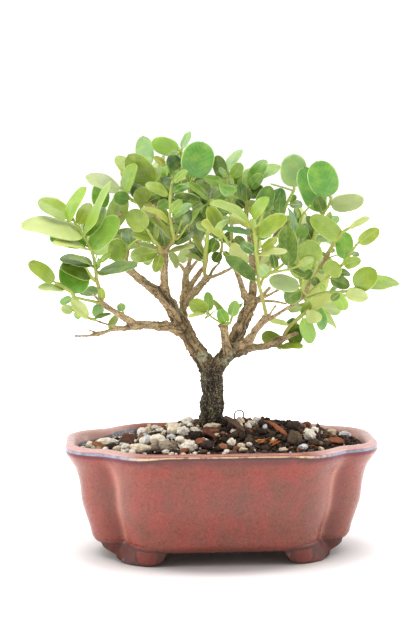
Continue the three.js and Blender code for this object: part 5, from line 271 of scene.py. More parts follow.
        "stems": [[[26.2,7.3,218.8,1.19],[26,5.3,226.2,1.12],[26.2,4.3,232.8,1.05],[26.5,4.3,238,0.85]], [[26,5.2,226.8,0.99],[26.3,5.3,226.8,0.99],[30.8,0.9,226.3,0.92],[35,-3.4,223.9,0.85],[38.9,-3.7,224.6,0.72]]],
        "leaves": [
            [26.5,4.3,237.3,26.9,4.7,239.3,29.2,11.6,251.6,0.03,-0.87,0.48,9.9,0.012,0.09,8,0],
            [26.5,4.3,237.3,28.5,4.1,240,38.4,4.9,256.9,-0.54,-0.77,0.35,11.7,0.12,0.09,3,0],
            [26.5,4.3,237.3,31.7,3.9,245.2,48.1,12.4,253.4,-0.1,-0.58,0.81,11.4,0.003,0.15,8,0],
            [26.5,4.3,237.3,27.8,3.7,238.9,34.9,-3.3,247.7,-0.48,-0.83,-0.27,7.9,0.101,0.13,3,0],
            [26.1,4.6,230.6,23.3,4.8,230.8,21.9,3.1,242.2,-0.17,-0.97,-0.17,7.2,0.071,0.14,4,0],
            [26.1,5,228.1,25.8,4,230.2,24.7,-0.7,239.5,-0.05,-0.89,-0.45,6.6,0.047,0.11,5,0],
            [26.1,4.6,230.8,27.7,3.9,232.3,35.9,4.6,240,-0.35,-0.82,0.45,8.5,-0.019,0.11,5,0],
            [34.5,-2.9,224.2,33.7,-2.9,222.6,39.8,-6.8,240.3,-0.18,-0.97,-0.15,11.7,0.069,0.13,3,0],
            [38.2,-3.6,224.4,39.8,-3,226.1,47.4,2.6,238.7,-0.6,-0.53,0.6,8.8,0.068,0.1,5,0],
            [26,5.9,224.2,24.5,6.8,225.6,19.1,9.8,230.6,-0.31,-0.92,0.24,5.3,0.073,0.06,5,0],
            [38.2,-3.6,224.4,46.1,-3.9,222.6,47.6,-1.3,238.8,-0.13,-0.98,0.17,8.2,0.06,0.1,4,0],
        ],
    },
    "right_tall": {
        "stems": [[[48.1,1.7,214.2,1.12],[48.1,1.7,214.4,1.12],[49.7,-1.4,223.1,1.05],[51.3,-3.6,229.1,1.04],[53.8,-4.8,233.7,0.98],[55.7,-4.9,237.6,0.85]], [[55.3,-4.9,236.8,0.59],[53.8,-4.8,237.6,0.59],[48,-3.3,239.5,0.52],[42.3,-1.9,241.1,0.52]]],
        "leaves": [
            [55.4,-4.9,237,55.7,-4.7,239.6,55.9,-2.6,260.9,-0.13,-0.99,0.1,17.6,0.073,0.09,7,0],
            [51.2,-3.3,228.4,52.9,-2.7,230,57.6,-0.4,233.8,0.19,-0.93,0.31,4.6,0.025,0.12,3,0],
            [51.1,-3.1,227.9,53.1,-2.3,227.9,62.9,5.3,227.8,0.6,-0.78,0.14,5.9,0.051,0.1,5,0],
            [50,-1.4,223.1,47.9,0,222.8,41.8,4.9,221.5,-0.62,-0.78,-0.04,5.3,0.071,0.07,5,0],
        ],
    },
    "right_upper": {
        "stems": [[[62.7,-35.5,180.9,1.27],[63.1,-34.5,180.7,1.27],[63.4,-27.5,192.3,1.22],[65.6,-24.9,204.3,1.16],[66.8,-25,211.3,1.03],[68.1,-25.1,216.5,0.96],[71.9,-25.3,222.9,0.96],[75.6,-25.6,228.6,0.96],[76.9,-25.7,232.5,0.83]]],
        "leaves": [
            [76.7,-25.7,231.8,76.2,-25.4,234.3,67.9,-21.6,256.3,-0.18,-0.98,0.1,19.2,0.057,0.1,4,0],
            [76.1,-25.7,230.2,76.8,-26.3,228.7,96.9,-33,232,-0.32,-0.95,0.03,11.5,0.052,0.1,10,0],
            [71.8,-25.3,222.5,71,-26,224.5,67.3,-29.6,234.5,-0.01,-0.94,-0.34,8.9,0.028,0.11,5,0],
            [72,-25.4,222.8,69.9,-25.2,224.2,60.7,-12,252.6,0.26,-0.84,0.47,18.1,-0.02,0.07,4,0],
            [67.1,-25,211.9,65.9,-25.4,213.8,61.3,-26.9,221.7,0.32,-0.95,0,5.2,0.021,0.06,5,0],
            [65.7,-24.9,205,64.8,-23.7,206.7,60,-16.4,215.9,-0.19,-0.82,0.54,9,0.089,0.16,5,0],
            [66,-24.9,206.2,68.1,-24.2,206.6,77.8,-21.2,207.8,0.19,-0.82,0.55,5.7,0.023,0.16,7,0],
        ],
    },
    "right_arch": {
        "stems": [[[72.4,-33.8,194.6,1.53],[74.8,-36.8,200.6,1.27],[78.1,-39.8,207.1,1.14],[82,-42.9,212.3,1.07],[85.5,-44.6,214.9,0.82]], [[73,-34.5,196.1,0.57],[73.8,-35.3,195.4,0.57],[77.8,-34.2,196.6,0.45],[81.2,-33.1,197.1,0.45]]],
        "leaves": [
            [78.9,-40.5,208.2,81.1,-41,208.4,61.7,-42.7,222.5,0.01,-0.99,-0.1,11.9,0.052,0.06,2,0],
            [84.3,-44,214,86,-44.9,215,97.7,-50.8,221.5,-0.6,-0.45,0.67,7.3,0.045,0.07,1,2],
            [73.8,-35.3,197.6,75.6,-34.5,199.1,78.2,-33.4,201,0.17,-0.93,0.32,3.2,0.063,0.11,2,0],
        ],
    },
    "right_inner_up": {
        "stems": [[[58.7,-35.1,172.2,1.02],[58.4,-34.2,172.4,1.02],[56.7,-29.8,181,0.96],[55.3,-25.5,192.2,0.9],[54.7,-24.1,202.4,0.9],[56,-24.2,210.1,0.83],[57,-25.7,217.8,0.77],[59.3,-27.2,223.6,0.7],[62.3,-28.9,227.5,0.64]], [[55.3,-25.5,192.2,1.15],[62.5,-5.4,194.5,1.02],[69.7,8.1,197.4,0.88],[76.4,17.6,201.4,0.75]], [[62.5,-5.4,194.5,0.85],[60.8,1.7,196.6,0.77],[59.1,8.9,197.4,0.7]]],
        "leaves": [
            [54.8,-24.1,203,54.4,-23.7,204.5,51,-12.3,226.4,0.83,-0.44,0.35,12.8,0.068,0.08,4,0],
            [55.4,-24.1,206.3,56.3,-24.7,208.1,60.2,-27.2,215.4,-0.17,-0.95,-0.25,8.3,0.071,0.13,3,0],
            [54.9,-24.6,198.5,53.7,-23.5,199.8,47.8,-16.1,205.7,-0.48,-0.74,0.47,7.7,0.02,0.09,5,0],
            [57.3,-25.9,218.6,56.7,-26.3,220.4,54.7,-28,226.9,0.62,-0.78,0,3.5,0.064,0.16,0,2],
            [56.1,-27.9,185.9,55,-26.3,186.8,50.2,-19.4,190.4,-0.61,-0.66,0.45,5.8,0.025,0.07,5,0],
            [58.5,-16.5,193.2,60,-15.6,191.9,75.8,-0.1,187.3,-0.36,0.58,0.73,16.2,0.023,0.15,-1,0],
            [58.5,-16.5,193.2,58,-15.1,194.9,52.2,-0.9,212.5,0.96,0.26,0.1,16.9,0.032,0.08,-1,0],
            [62.8,-4.8,194.6,62,-3,194.2,54.6,12.5,190.1,0.41,0.41,0.82,12.7,0.074,0.14,-1,0],
            [62.8,-4.8,194.6,64.4,-4.6,196.1,73.3,-3.6,207.6,-0.55,0.75,0.36,10.5,0.063,0.12,-1,0],
            [67.2,3.4,196.4,69.1,3.9,196.1,85.2,3.2,181,0.52,0.67,0.53,15.9,0.031,0.07,-1,0],
            [71.4,10.5,198.4,72.7,10.2,199.8,70.9,21,209.4,-0.98,-0.19,0.02,10.5,0.063,0.1,-1,0],
            [71.4,10.5,198.4,72,12.2,197.8,74.8,21,187,0.03,0.77,0.63,10.2,0.026,0.06,-1,0],
            [75.4,16.2,200.8,75.1,17.6,202,73.3,25.9,209.5,0.88,-0.2,0.43,8.2,0.065,0.12,-1,0],
            [76,17.1,201.2,77.5,18.1,202.8,89,21.4,203.4,-0.2,0.56,0.81,8.6,0.061,0.13,-1,0],
            [61.7,-1.8,195.5,60.6,-1.7,197.1,53.9,0.4,216.3,0.94,0.18,0.31,14.7,0.057,0.07,-1,0],
            [60.5,2.9,196.7,61.4,4.1,197.9,68.9,14.1,208.5,-0.89,0.32,0.33,11.8,0.043,0.16,-1,0],
            [59.4,7.7,197.3,60.2,9.2,196.8,55.2,24.2,201.8,-0.94,-0.33,0.02,11.9,0.015,0.08,-1,0],
            [59.3,8.2,197.3,58.9,10.2,198.7,54.1,12.6,216.5,-0.57,-0.82,-0.04,13.4,0.005,0.14,-1,0],
        ],
    },
    "right_rise": {
        "stems": [[[63.7,-36.3,183.9,1.08],[63.1,-38.7,184.9,1.08],[65.4,-40.3,189.5,0.95],[65.5,-41.7,192.8,0.76]]],
        "leaves": [
            [65.5,-40.9,190.8,64.5,-41.2,192.6,57.3,-42.1,206.2,0.03,-1,-0.05,16.4,-0.017,0.11,2,0],
            [64.4,-39.6,187.4,62.8,-38.4,188.3,58.7,-33,191.4,-0.69,-0.68,0.25,5.1,-0.012,0.06,8,0],
            [63.4,-38.9,185.5,64.2,-37.6,183.4,67.8,-33.4,177.4,0.18,-0.85,-0.49,5.7,0.033,0.09,5,0],
            [65.1,-40.1,188.9,66.8,-38.7,188.5,72.2,-33.7,187,0.65,-0.75,-0.12,5.1,0.064,0.12,5,0],
        ],
    },
    "right_shade": {
        "stems": [[[59.2,-36.1,173.6,1.02],[57.8,-38.3,174.1,1.02],[56.5,-41.1,178.2,0.95],[56.7,-43.9,181.6,0.76]]],
        "leaves": [
            [56.7,-40.7,177.6,54.5,-41.5,178.4,34.9,-46.3,182.6,0.3,-0.87,0.38,11.5,0.022,0.05,10,0],
            [56.9,-40.2,176.9,55.6,-39,175.6,46.6,-34.7,167.9,-0.45,-0.89,0.03,10.8,0.047,0.15,5,0],
            [56.7,-43.4,181.1,57.8,-42.7,182.7,62.2,-39.9,188.1,0.04,-0.9,0.43,5.7,0.009,0.09,5,0],
        ],
    },
    "right_bend": {
        "stems": [[[60,-36,173.9,1.08],[61.5,-37.2,173.3,1.08],[65.3,-37.5,176.5,0.95],[68.9,-39.2,179.8,0.89],[73.1,-40.9,183.8,0.82],[75.6,-41.1,186.3,0.76],[81,-42.9,190.9,0.88],[84.3,-45.9,196.1,0.82],[87.5,-49,201.4,0.75],[89.7,-50.5,205.2,0.69]]],
        "leaves": [
            [72.4,-40.6,183.2,73.4,-41.2,184.8,78.1,-44.5,193.5,-0.31,-0.93,-0.18,12.6,0.073,0.15,2,0],
            [72.6,-40.7,183.3,74.7,-40.6,182.8,87.7,-36.6,177.6,0.33,-0.94,0.1,8.9,-0.02,0.13,5,0],
            [75.1,-41,185.8,77,-40.2,185.8,88,-37.6,185.1,0.2,-0.63,0.75,6.8,0.113,0.07,5,0],
            [82.6,-44.3,193.5,82.7,-44,195.5,84.5,-35,211.9,-0.15,-0.86,0.49,11.4,-0.006,0.06,3,0],
            [89.4,-50.2,204.7,90.9,-51,205.9,102.7,-54.9,214.8,-0.3,-0.95,-0.03,8.7,0.06,0.14,2,0],
            [81.3,-43.2,191.4,82.8,-44.2,191.8,91.8,-53.7,195.5,-0.71,-0.7,-0.06,7.6,0.12,0.1,2,0],
            [85.6,-46.9,198.5,87.2,-46,198.3,92.8,-41.4,198.2,0.55,-0.66,0.51,3.8,0.024,0.15,6,0],
        ],
    },
    "right_reach": {
        "stems": [[[58.8,-35.6,170.6,1.02],[60.2,-35.7,169.6,1.02],[66.6,-33.4,171.6,0.96],[72.9,-33.8,173.2,0.96],[78.4,-35.7,173.7,0.96],[84.3,-38.9,174.3,0.83],[89.2,-40.7,176,0.76]]],
        "leaves": [
            [88.5,-40.4,175.8,90.5,-41.2,177.3,102.7,-45.2,188.4,-0.39,-0.92,0.1,14.6,0.101,0.16,2,0],
            [88.5,-40.4,175.8,98.7,-40.9,176.6,119.2,-31.2,179.7,0.03,-0.37,0.93,19.2,0.071,0.12,0,0],
            [83.2,-38.2,174.1,84.9,-39.3,173.7,97,-51.6,171.2,-0.67,-0.71,0.22,8.9,0.027,0.07,1,0],
            [82.5,-37.9,174.1,81.1,-37,172.8,76.2,-34.8,168.4,-0.31,-0.94,-0.12,5.1,0.027,0.13,5,0],
            [77.8,-35.4,173.6,79.5,-34.9,172,87.1,-27.4,161.2,0.21,-0.87,-0.45,8.3,0.035,0.13,0,0],
            [72.3,-33.8,173,71.4,-34.9,174.7,69,-38.2,179.7,0.11,-0.86,-0.5,3.8,0.05,0.1,0,0],
        ],
    },
    "right_low": {
        "stems": [[[50.2,-8.6,141.7,1.25],[49.6,-8.5,143.2,1.25],[52.9,-10.7,149,1.18],[59.1,-13.2,155.2,1.11],[65.2,-16.4,161.4,1.04],[70.1,-18.2,165.5,0.84]]],
        "leaves": [
            [64,-15.9,160.2,65.8,-16.9,161.2,79.8,-29.3,170.3,-0.73,-0.46,0.5,11.3,0.113,0.07,1,0],
            [68.7,-17.7,164.3,69.3,-17.4,162.3,73.3,-18,147,0.39,-0.91,0.14,9.2,0.118,0.07,4,0],
            [60.6,-14.3,156.8,62.5,-15.4,156.7,71.2,-29.1,156.7,-0.84,-0.54,-0.02,9.1,0.12,0.1,1,0],
            [60,-14,156.2,60.9,-13.1,154.1,67.8,-8.5,137.4,0.33,-0.94,-0.12,10.5,0.04,0.07,8,0],
            [57,-12.6,153.2,57,-11.5,151.1,56.3,0.5,135.1,-0.44,-0.73,-0.53,11.8,0.002,0.09,5,0],
            [58.3,-13.2,154.5,56.9,-11.6,153.4,51.8,-3.1,148.7,-0.7,-0.62,-0.34,5.2,0.008,0.05,5,0],
            [53.5,-11,149.7,51.3,-11.5,150.2,39.3,-14.5,152.9,0.31,-0.52,0.79,6.3,0.043,0.11,1,2],
            [59.3,-13.7,155.5,60.5,-12.2,157.2,64.8,-12.8,165.8,0.37,-0.89,-0.24,7.9,0.093,0.15,2,0],
            [65.7,-16.6,161.8,67.2,-15.8,160.5,85.3,-1.1,146.2,0.74,-0.38,0.55,13,0.057,0.15,2,0],
        ],
    },
    "low_right_knob": {
        "stems": [[[44,-6.3,137.6,0.79],[44.4,-5.1,136.8,0.79],[44.9,-6.1,135.3,0.72],[46.1,-7.2,134.1,0.66]]],
        "leaves": [
            [46,-7,134.3,47.3,-7.3,134.8,61,-15,136,-0.29,-0.38,0.88,8.4,0.08,0.1,2,0],
            [46,-7,134.3,48.7,-2.4,136.1,36.4,6.4,141.8,-0.43,-0.83,0.36,10,0.051,0.09,2,0],
        ],
    },
    "front_shoot": {
        "stems": [[[34.6,-34.2,158.3,1.21],[34,-35.2,161.1,1.21],[31.8,-40.6,168.8,1.14],[30,-44.7,174.9,1.13],[28,-48.8,181,1.19],[27.1,-54.3,189.6,1.12],[25.8,-59.9,198.1,1.11],[24.7,-64,205.9,1.17],[23.7,-68.1,212.3,1.22],[22.1,-70.8,216.7,0.97],[20.6,-73.5,221.1,0.85]], [[22.9,-69.5,214.2,0.73],[26.4,-65.5,218.8,0.67],[28.5,-62.9,223,0.8],[29.9,-61.6,227.8,0.74]], [[28.6,-47.6,179.2,0.88],[29.3,-48.2,179,0.88],[30.8,-49,183.5,0.94],[33.9,-49.2,186.6,0.94],[40.3,-48.3,188.1,0.88],[48,-47.4,189.5,0.75],[53.1,-46.4,191.3,0.63]], [[35.8,-48.9,187.1,0.94],[35.8,-49.4,187.3,0.94],[42.5,-45.6,191.3,0.88],[47.8,-43.2,195.5,0.82],[53.2,-40.8,197.8,0.63]]],
        "leaves": [
            [27.8,-49.7,182.4,25.9,-50.2,183.7,6.3,-56.1,197.4,0.57,-0.6,0.56,13.8,0.044,0.05,5,0],
            [25.6,-60.6,199.4,27.7,-61.6,199.7,43.2,-69.9,201.9,-0.3,-0.32,0.9,8.9,0.068,0.08,1,2],
            [23.9,-67.3,210.8,25.8,-67.7,212.2,41.7,-76.8,224.2,-0.61,-0.75,0.25,11.5,0.06,0.1,2,0],
            [20.8,-73.2,220.5,21.8,-74.2,222.7,30.8,-80,235.3,-0.72,-0.66,0.22,9.3,0.1,0.13,0,0],
            [21,-72.8,219.9,19.2,-72.9,220.8,-4.4,-74.4,232.1,0.42,-0.37,0.83,14.6,0.12,0.1,2,0],
            [22.5,-70.2,215.7,20.7,-69.5,216.8,8.6,-64.6,224.4,0.22,-0.62,0.75,8.4,0.042,0.12,9,0],
            [23.3,-68.7,213.2,21.1,-69.5,213.6,4.6,-75.4,216.4,0.28,-0.36,0.89,9.9,0.03,0.05,4,0],
            [25.5,-61,200.1,24.1,-59.5,201.1,16.6,-52.2,206.3,-0.51,-0.78,0.36,6.8,0.056,0.11,6,0],
            [26.4,-56.9,193.5,27.8,-55.6,192.2,32.8,-53,186.9,-0.42,0.91,0.05,8.1,-0.02,0.1,7,1],
            [24.2,-66.2,208.9,25.9,-64.5,209.7,34.8,-56.4,213.4,0.25,-0.61,0.75,7,0.067,0.05,5,0],
            [23.8,-67.7,211.6,24.7,-66.1,213.2,30.3,-52.4,221.2,-0.77,-0.06,0.64,7.2,0.024,0.12,5,0],
            [25.2,-62.1,201.9,28.7,-61.8,202.6,38.3,-58.9,209.8,-0.04,-0.91,0.42,5.7,0.06,0.1,2,0],
            [47.3,-47.5,189.4,47.2,-47.2,191.4,45.9,-42.8,216.3,0.35,-0.92,0.18,14.2,0.034,0.06,5,0],
            [47.3,-47.5,189.4,49.6,-46.7,188.8,58.6,-44.4,184.8,0.44,-0.7,0.57,6.4,-0.008,0.09,5,0],
            [39.1,-48.6,187.7,38.7,-47.3,189.5,37.3,-41.4,198.6,0.18,-0.81,0.56,6.1,0.04,0.11,5,0],
            [52.5,-46.6,191.1,54.1,-45.7,191.7,63.4,-44.3,196.2,-0.22,-0.69,0.69,6.7,0.039,0.09,2,0],
        ],
    },
    "callus_left": {
        "stems": [[[6.7,-25.4,152.7,0.64],[4.6,-27.4,154.4,0.64],[0.3,-28.5,157.4,0.58],[-2.3,-29.7,160.2,0.57]], [[-1.9,-29.5,159.8,0.38],[-4.3,-31,156.8,0.38],[-0.9,-28.4,158.7,0.45],[2.4,-27.2,161.5,0.38]]],
        "leaves": [
            [-1.8,-29.5,159.7,-3.4,-29.9,160.9,-13.8,-30.8,168,-0.04,-0.98,-0.18,10.5,-0.02,0.11,2,0],
            [-1.8,-29.5,159.7,-2,-28.7,161.4,-1.8,-22.6,173,0.42,-0.81,0.42,7.3,0.02,0.09,8,0],
            [-1.8,-29.5,159.7,-3.5,-30.4,159.7,-15.2,-45.2,159.2,0.07,-0.09,0.99,7.3,0.057,0.09,1,0],
        ],
    },
    "callus_right": {
        "stems": [[[7.9,-25.7,152.3,0.83],[9.1,-27.7,152.8,0.83],[11.8,-29.3,153.6,0.77],[12.8,-29.4,156.8,0.64]]],
        "leaves": [
            [11.2,-29,153.4,10.3,-29.5,155,2.7,-17.1,167.5,0.62,-0.33,0.71,9.6,-0.02,0.11,2,0],
            [10.1,-28.3,153.1,8.7,-29,154.4,4.6,-35.6,163.3,0.2,-0.83,-0.52,7.7,0.057,0.13,3,0],
            [12.6,-29.4,156.1,13,-29.8,158,15.4,-31.9,168.3,-0.16,-0.97,-0.17,7.3,0.077,0.09,8,0],
            [12.6,-29.4,156.1,13.9,-28.8,158.1,20.5,-25.4,166,-0.67,-0.27,0.69,6.1,0.059,0.1,3,0],
        ],
    },
    "back_left_upper": {
        "stems": [[[-38.8,54.2,218.1,1.15],[-43.4,58.6,225.5,1.02],[-47.5,60.9,232.9,0.88],[-50.9,61.1,238.4,0.75]]],
        "leaves": [
            [-41.4,56.7,222.2,-40.9,57.8,224,-36.7,67.3,239.3,-0.84,-0.33,0.44,13.3,0.045,0.05,-1,0],
            [-44.7,59.3,227.8,-44.2,58.6,229.7,-40,53.3,245.4,-0.69,0.61,0.39,12.3,0.046,0.16,-1,0],
            [-47.8,60.9,233.5,-49.4,60,233.8,-62.6,53,237.9,0.15,0.28,0.95,11.2,0.053,0.08,-1,0],
            [-50.2,61.1,237.4,-49.6,60.3,239,-45.3,55.1,249.9,-0.75,0.44,0.5,9.2,0.074,0.15,-1,0],
            [-50.5,61.1,237.9,-52.1,60.9,239.8,-53.9,75.1,242.2,0.99,0.11,0.11,10.4,-0.002,0.07,-1,0],
            [-50.5,61.1,237.9,-51.1,61.6,240.2,-54.7,60.5,251.1,0.6,-0.79,0.12,8.3,0.037,0.1,-1,0],
        ],
    },
    "back_left_side": {
        "stems": [[[-53.3,51.3,204.6,1.15],[-60.1,52.8,208.6,1.02],[-66.9,52.3,212.8,0.88],[-71.7,50.6,216.3,0.75]], [[-63.6,52.5,210.8,0.85],[-63.5,52,210.8,0.85],[-65.6,55.2,207.5,0.77],[-67.7,58.3,202.8,0.7]]],
        "leaves": [
            [-57.2,52.1,206.9,-58.9,50.8,206.9,-74.7,39.3,207.2,-0.24,0.35,0.91,14.1,0.05,0.08,-1,0],
            [-57.2,52.1,206.9,-57.7,53.3,208.6,-61.3,70,225.1,-0.8,-0.5,0.33,17.1,0.029,0.15,-1,0],
            [-62.3,52.6,210,-62.5,51.5,211.7,-62.2,38.8,224,-0.68,0.5,0.53,12.7,0.053,0.12,-1,0],
            [-67.5,52.1,213.2,-67.7,53.1,214.7,-76.8,52,225.2,-0.56,-0.62,-0.55,10,0.112,0.12,-1,0],
            [-67.5,52.1,213.2,-68.2,50.5,213.6,-80.6,35.7,216.6,-0.29,0.42,0.86,14.1,0.067,0.09,-1,0],
            [-64.4,53.7,209.1,-65.6,53,207.6,-88.4,41.3,203.3,-0.3,0.24,0.92,18.7,0.046,0.09,-1,0],
            [-64.4,53.7,209.1,-64.4,55.5,209.6,-71.1,66.2,228.8,-0.91,-0.39,-0.1,16.5,0.12,0.09,-1,0],
            [-65.7,55.6,206.6,-65.1,56.3,205.2,-61.9,59.9,188,-0.83,0.56,-0.03,12.9,0.041,0.14,-1,0],
            [-67.3,57.8,203.6,-68.3,57.2,202.3,-73.6,54.1,188.4,-0.93,0.19,0.31,10.9,0.026,0.06,-1,0],
            [-67.4,58,203.4,-69,59.3,202.1,-77,65.4,197.1,0,0.63,0.78,8.1,0.032,0.09,-1,0],
        ],
    },
    "back_left_crown": {
        "stems": [[[-18.4,48.7,229.2,1.15],[-17.1,47.6,237.4,1.02],[-15.9,45.5,245.6,0.88],[-14,42.4,252.4,0.75]], [[-17.1,47.6,237.4,0.85],[-21,51.4,240.7,0.77],[-24.9,55.2,242.7,0.7]]],
        "leaves": [
            [-17.9,48,232.9,-17.2,49.7,234.4,-9.3,65.3,249.2,-0.15,-0.64,0.76,16.5,0.017,0.14,-1,0],
            [-17.1,47.1,237.7,-15.4,46.5,238.7,-0.2,37.8,247.3,-0.41,0.16,0.9,14,0.061,0.13,-1,0],
            [-17.1,47.1,237.7,-18.2,47.2,239.6,-27.2,45.2,253.8,0.85,-0.03,0.53,12.2,0.032,0.06,-1,0],
            [-16.3,46.1,242.7,-16.1,47.6,244.2,-22.2,58.9,255.6,0.59,-0.39,0.71,12.3,0.062,0.1,-1,0],
            [-14.3,42.8,251.4,-12.7,42.4,252.3,1.4,38.4,260.7,-0.53,-0.09,0.85,12.1,0.034,0.15,-1,0],
            [-14.3,42.8,251.4,-15.3,42.6,252.9,-22.9,40.6,263.8,0.82,-0.17,0.54,9.6,0.05,0.06,-1,0],
            [-14.2,42.6,251.8,-13.8,42.5,254.3,-16.6,55.3,265.9,0.83,-0.26,0.49,12.6,0.046,0.11,-1,0],
            [-14.2,42.6,251.8,-13.6,40.9,253.6,-10.4,24.3,256,-0.48,0.04,0.88,12.3,0.068,0.1,-1,0],
            [-19.1,49.5,239.1,-20.5,49,240.2,-33.8,57.1,228.6,-0.23,-0.9,-0.37,14,0.065,0.16,-1,0],
            [-21.7,52,241,-22.9,53.3,240.4,-32.5,72,253.4,0.61,0.64,-0.47,17.8,-0.02,0.08,-1,0],
            [-24.3,54.6,242.3,-26.1,54.6,242.5,-37.7,53.9,243.7,0.08,-0.97,0.21,8.4,0.03,0.12,-1,0],
            [-24.5,54.7,242.4,-26.2,56.5,242.7,-36.8,60.3,250,-0.29,-0.95,0.08,9.7,0.086,0.15,-1,0],
            [-24.5,54.7,242.4,-25.6,56.1,244.1,-26.4,62.7,254.5,-0.51,-0.74,0.44,8.9,0.101,0.06,-1,0],
        ],
    },
    "back_left_rear": {
        "stems": [[[-31,45.6,198.7,1.15],[-30.4,59.6,202.6,1.02],[-30.6,71.7,207.4,0.88],[-31,77.7,212.7,0.75]], [[-30.7,68.7,206.2,0.85],[-26,71.8,208.8,0.77],[-21.3,75,210,0.7]], [[-30.6,55.6,201.5,0.85],[-35.2,61,200.4,0.77],[-39.9,66.3,198,0.7]]],
        "leaves": [
            [-30.7,51.9,200.4,-32,53.6,200.8,-43.8,53.5,211.3,0.6,-0.45,0.66,11.4,0,0.1,-1,0],
            [-30.7,51.9,200.4,-29,52.5,201.7,-17.1,57.5,210.4,-0.61,0.63,0.48,11.3,0.097,0.15,-1,0],
            [-30.4,60.3,202.9,-30.3,60.7,204.9,-29.1,66.7,226.1,-0.13,0.96,-0.26,15.9,0.039,0.12,-1,0],
            [-30.4,60.3,202.9,-31.4,61.9,202,-26.5,77.6,189.8,0.81,0.18,0.56,14.8,0.053,0.09,-1,0],
            [-30.5,67.4,205.7,-32.1,68.6,206.3,-46.1,79.4,211.2,0.52,0.31,0.8,13.2,0.042,0.06,-1,0],
            [-30.7,73.2,208.7,-31.1,73.3,210.6,-35.3,74.3,228.5,0.41,0.91,0.04,13.2,0.077,0.06,-1,0],
            [-28.4,70.2,207.5,-26.7,69.5,207.9,-9,77.8,208.1,0.26,-0.58,0.77,14.1,0.071,0.15,-1,0],
            [-36,61.9,200,-36,62.6,198.3,-36.3,69.5,183,-0.58,0.74,0.34,12.1,0.078,0.09,-1,0],
            [-39.1,65.4,198.4,-39.1,67.1,199,-39.7,82.8,198.7,-0.88,-0.03,0.47,11.3,0.056,0.12,-1,0],
            [-39.1,65.4,198.4,-40.9,65.1,198.3,-55.1,62.1,197.6,-0.19,0.79,0.59,10.5,0.059,0.08,-1,0],
            [-39.4,65.8,198.3,-40.8,67.6,197.1,-46.5,65.9,183.8,-0.74,0.63,0.24,10.5,0.049,0.08,-1,0],
        ],
    },
    "back_right_rear": {
        "stems": [[[38.4,52.5,204.1,1.15],[42,60.3,209.2,1.02],[45.3,65.1,215.9,0.88],[48.1,65.8,222.8,0.75]], [[42,60.3,209.2,0.85],[46.6,64,208.2,0.77],[51.2,67.6,205.9,0.7]]],
        "leaves": [
            [40,56,206.4,40.9,56.2,208.3,50,58.3,227.4,-0.4,0.91,0.09,15.3,0.051,0.11,-1,0],
            [44.1,63.4,213.5,44.2,63.2,215.5,31.8,67.7,226.8,0.53,0.81,0.26,12.5,0.058,0.07,-1,0],
            [47.7,65.7,221.7,46.9,65.7,223.4,40.9,65.8,237,0.91,0.09,0.41,10.6,0.043,0.13,-1,0],
            [47.3,64.6,207.8,49,64,207.3,66.8,57.5,201,0.45,0.65,0.61,14.4,0.067,0.11,-1,0],
            [50.4,67,206.3,52,67.1,207.3,64.7,67.5,215.5,-0.07,1,0.06,10.9,0.077,0.07,-1,0],
        ],
    },
    "back_right_crown": {
        "stems": [[[29.6,48.2,219.5,1.15],[29,49.2,227.7,1.02],[28.7,47.2,236,0.88],[29.8,44.1,242.9,0.75]], [[29,49.2,227.7,0.85],[24.8,52.5,230.3,0.77],[20.6,55.8,231.6,0.7]], [[28.9,48.3,231.6,0.85],[28.9,49.2,231.8,0.85],[33.4,48.9,235.9,0.77],[37.8,48.6,238.6,0.7]]],
        "leaves": [
            [28.9,49.1,228.4,27.8,47.8,229.4,19.7,37.7,238.3,0.26,0.52,0.82,11.3,0.07,0.14,-1,0],
            [28.8,47.9,233.1,29.6,46.4,234.2,28.1,35.1,246.8,-0.2,0.74,0.64,12.3,0.041,0.05,-1,0],
            [29,46.5,237.7,30.1,47.1,239.2,19.6,57.5,251.4,-0.78,-0.61,-0.15,13.8,0.102,0.08,-1,0],
            [29,46.5,237.7,27.8,45.6,239,18.2,41.9,247.8,-0.06,-0.89,-0.45,9.8,0.009,0.13,-1,0],
            [29.7,44.4,242.2,30.5,44.1,244.5,37.3,48.2,254,-0.8,-0.07,0.6,8.9,0.027,0.16,-1,0],
            [26.9,50.9,229,26.2,50.2,230.7,10.7,47.1,229.6,-0.16,0.92,-0.36,11.4,0.059,0.16,-1,0],
            [21.3,55.3,231.4,20,54.9,232.6,9,51.2,242.8,0.05,0.92,0.39,11.2,0.025,0.1,-1,0],
            [21.1,55.4,231.4,19.7,56.9,232.7,11.2,70.9,236.6,-0.81,-0.55,0.2,12.1,0.022,0.07,-1,0],
            [31.2,49.1,233.8,32.6,47.8,233.9,44.6,37.1,234.8,0.15,0.24,0.96,11.6,0.049,0.15,-1,0],
            [31.2,49.1,233.8,31.3,50,235.5,38.8,66.6,250.8,0.94,-0.32,-0.12,17.1,-0.008,0.14,-1,0],
            [34.1,48.8,236.3,35.9,49.4,236.3,55.1,46.8,234.5,0.1,0.03,0.99,14,0.012,0.08,-1,0],
            [37.1,48.6,238.2,37.5,49,239.9,39.3,42.8,252.1,0.99,-0.03,-0.17,10,0.056,0.08,-1,0],
            [37.2,48.6,238.3,38.6,48.2,240.2,41.4,49.9,256.5,0.98,0.13,-0.18,12,0.108,0.09,-1,0],
        ],
    },
    "back_right_side": {
        "stems": [[[60.5,40.9,195.1,1.15],[67.5,41.4,199.2,1.02],[73.4,39.9,203.4,0.88],[79.2,37.5,208.9,0.75]], [[67.5,41.4,199.2,0.85],[67.3,44.9,195.5,0.77],[67.1,48.4,190.4,0.7]], [[69.1,41,200.3,0.85],[69.5,41.2,199.9,0.85],[67.6,44.9,204.8,0.77],[65.6,48.5,208.4,0.7]]],
        "leaves": [
            [63.7,41.1,197,64.8,42.8,197.7,73.7,56.6,203.7,0.28,-0.53,0.8,12.6,0.069,0.1,-1,0],
            [68,41.2,199.6,69.7,40.5,199.1,71.5,22.5,200.3,-0.04,0.06,1,13,-0.02,0.15,-1,0],
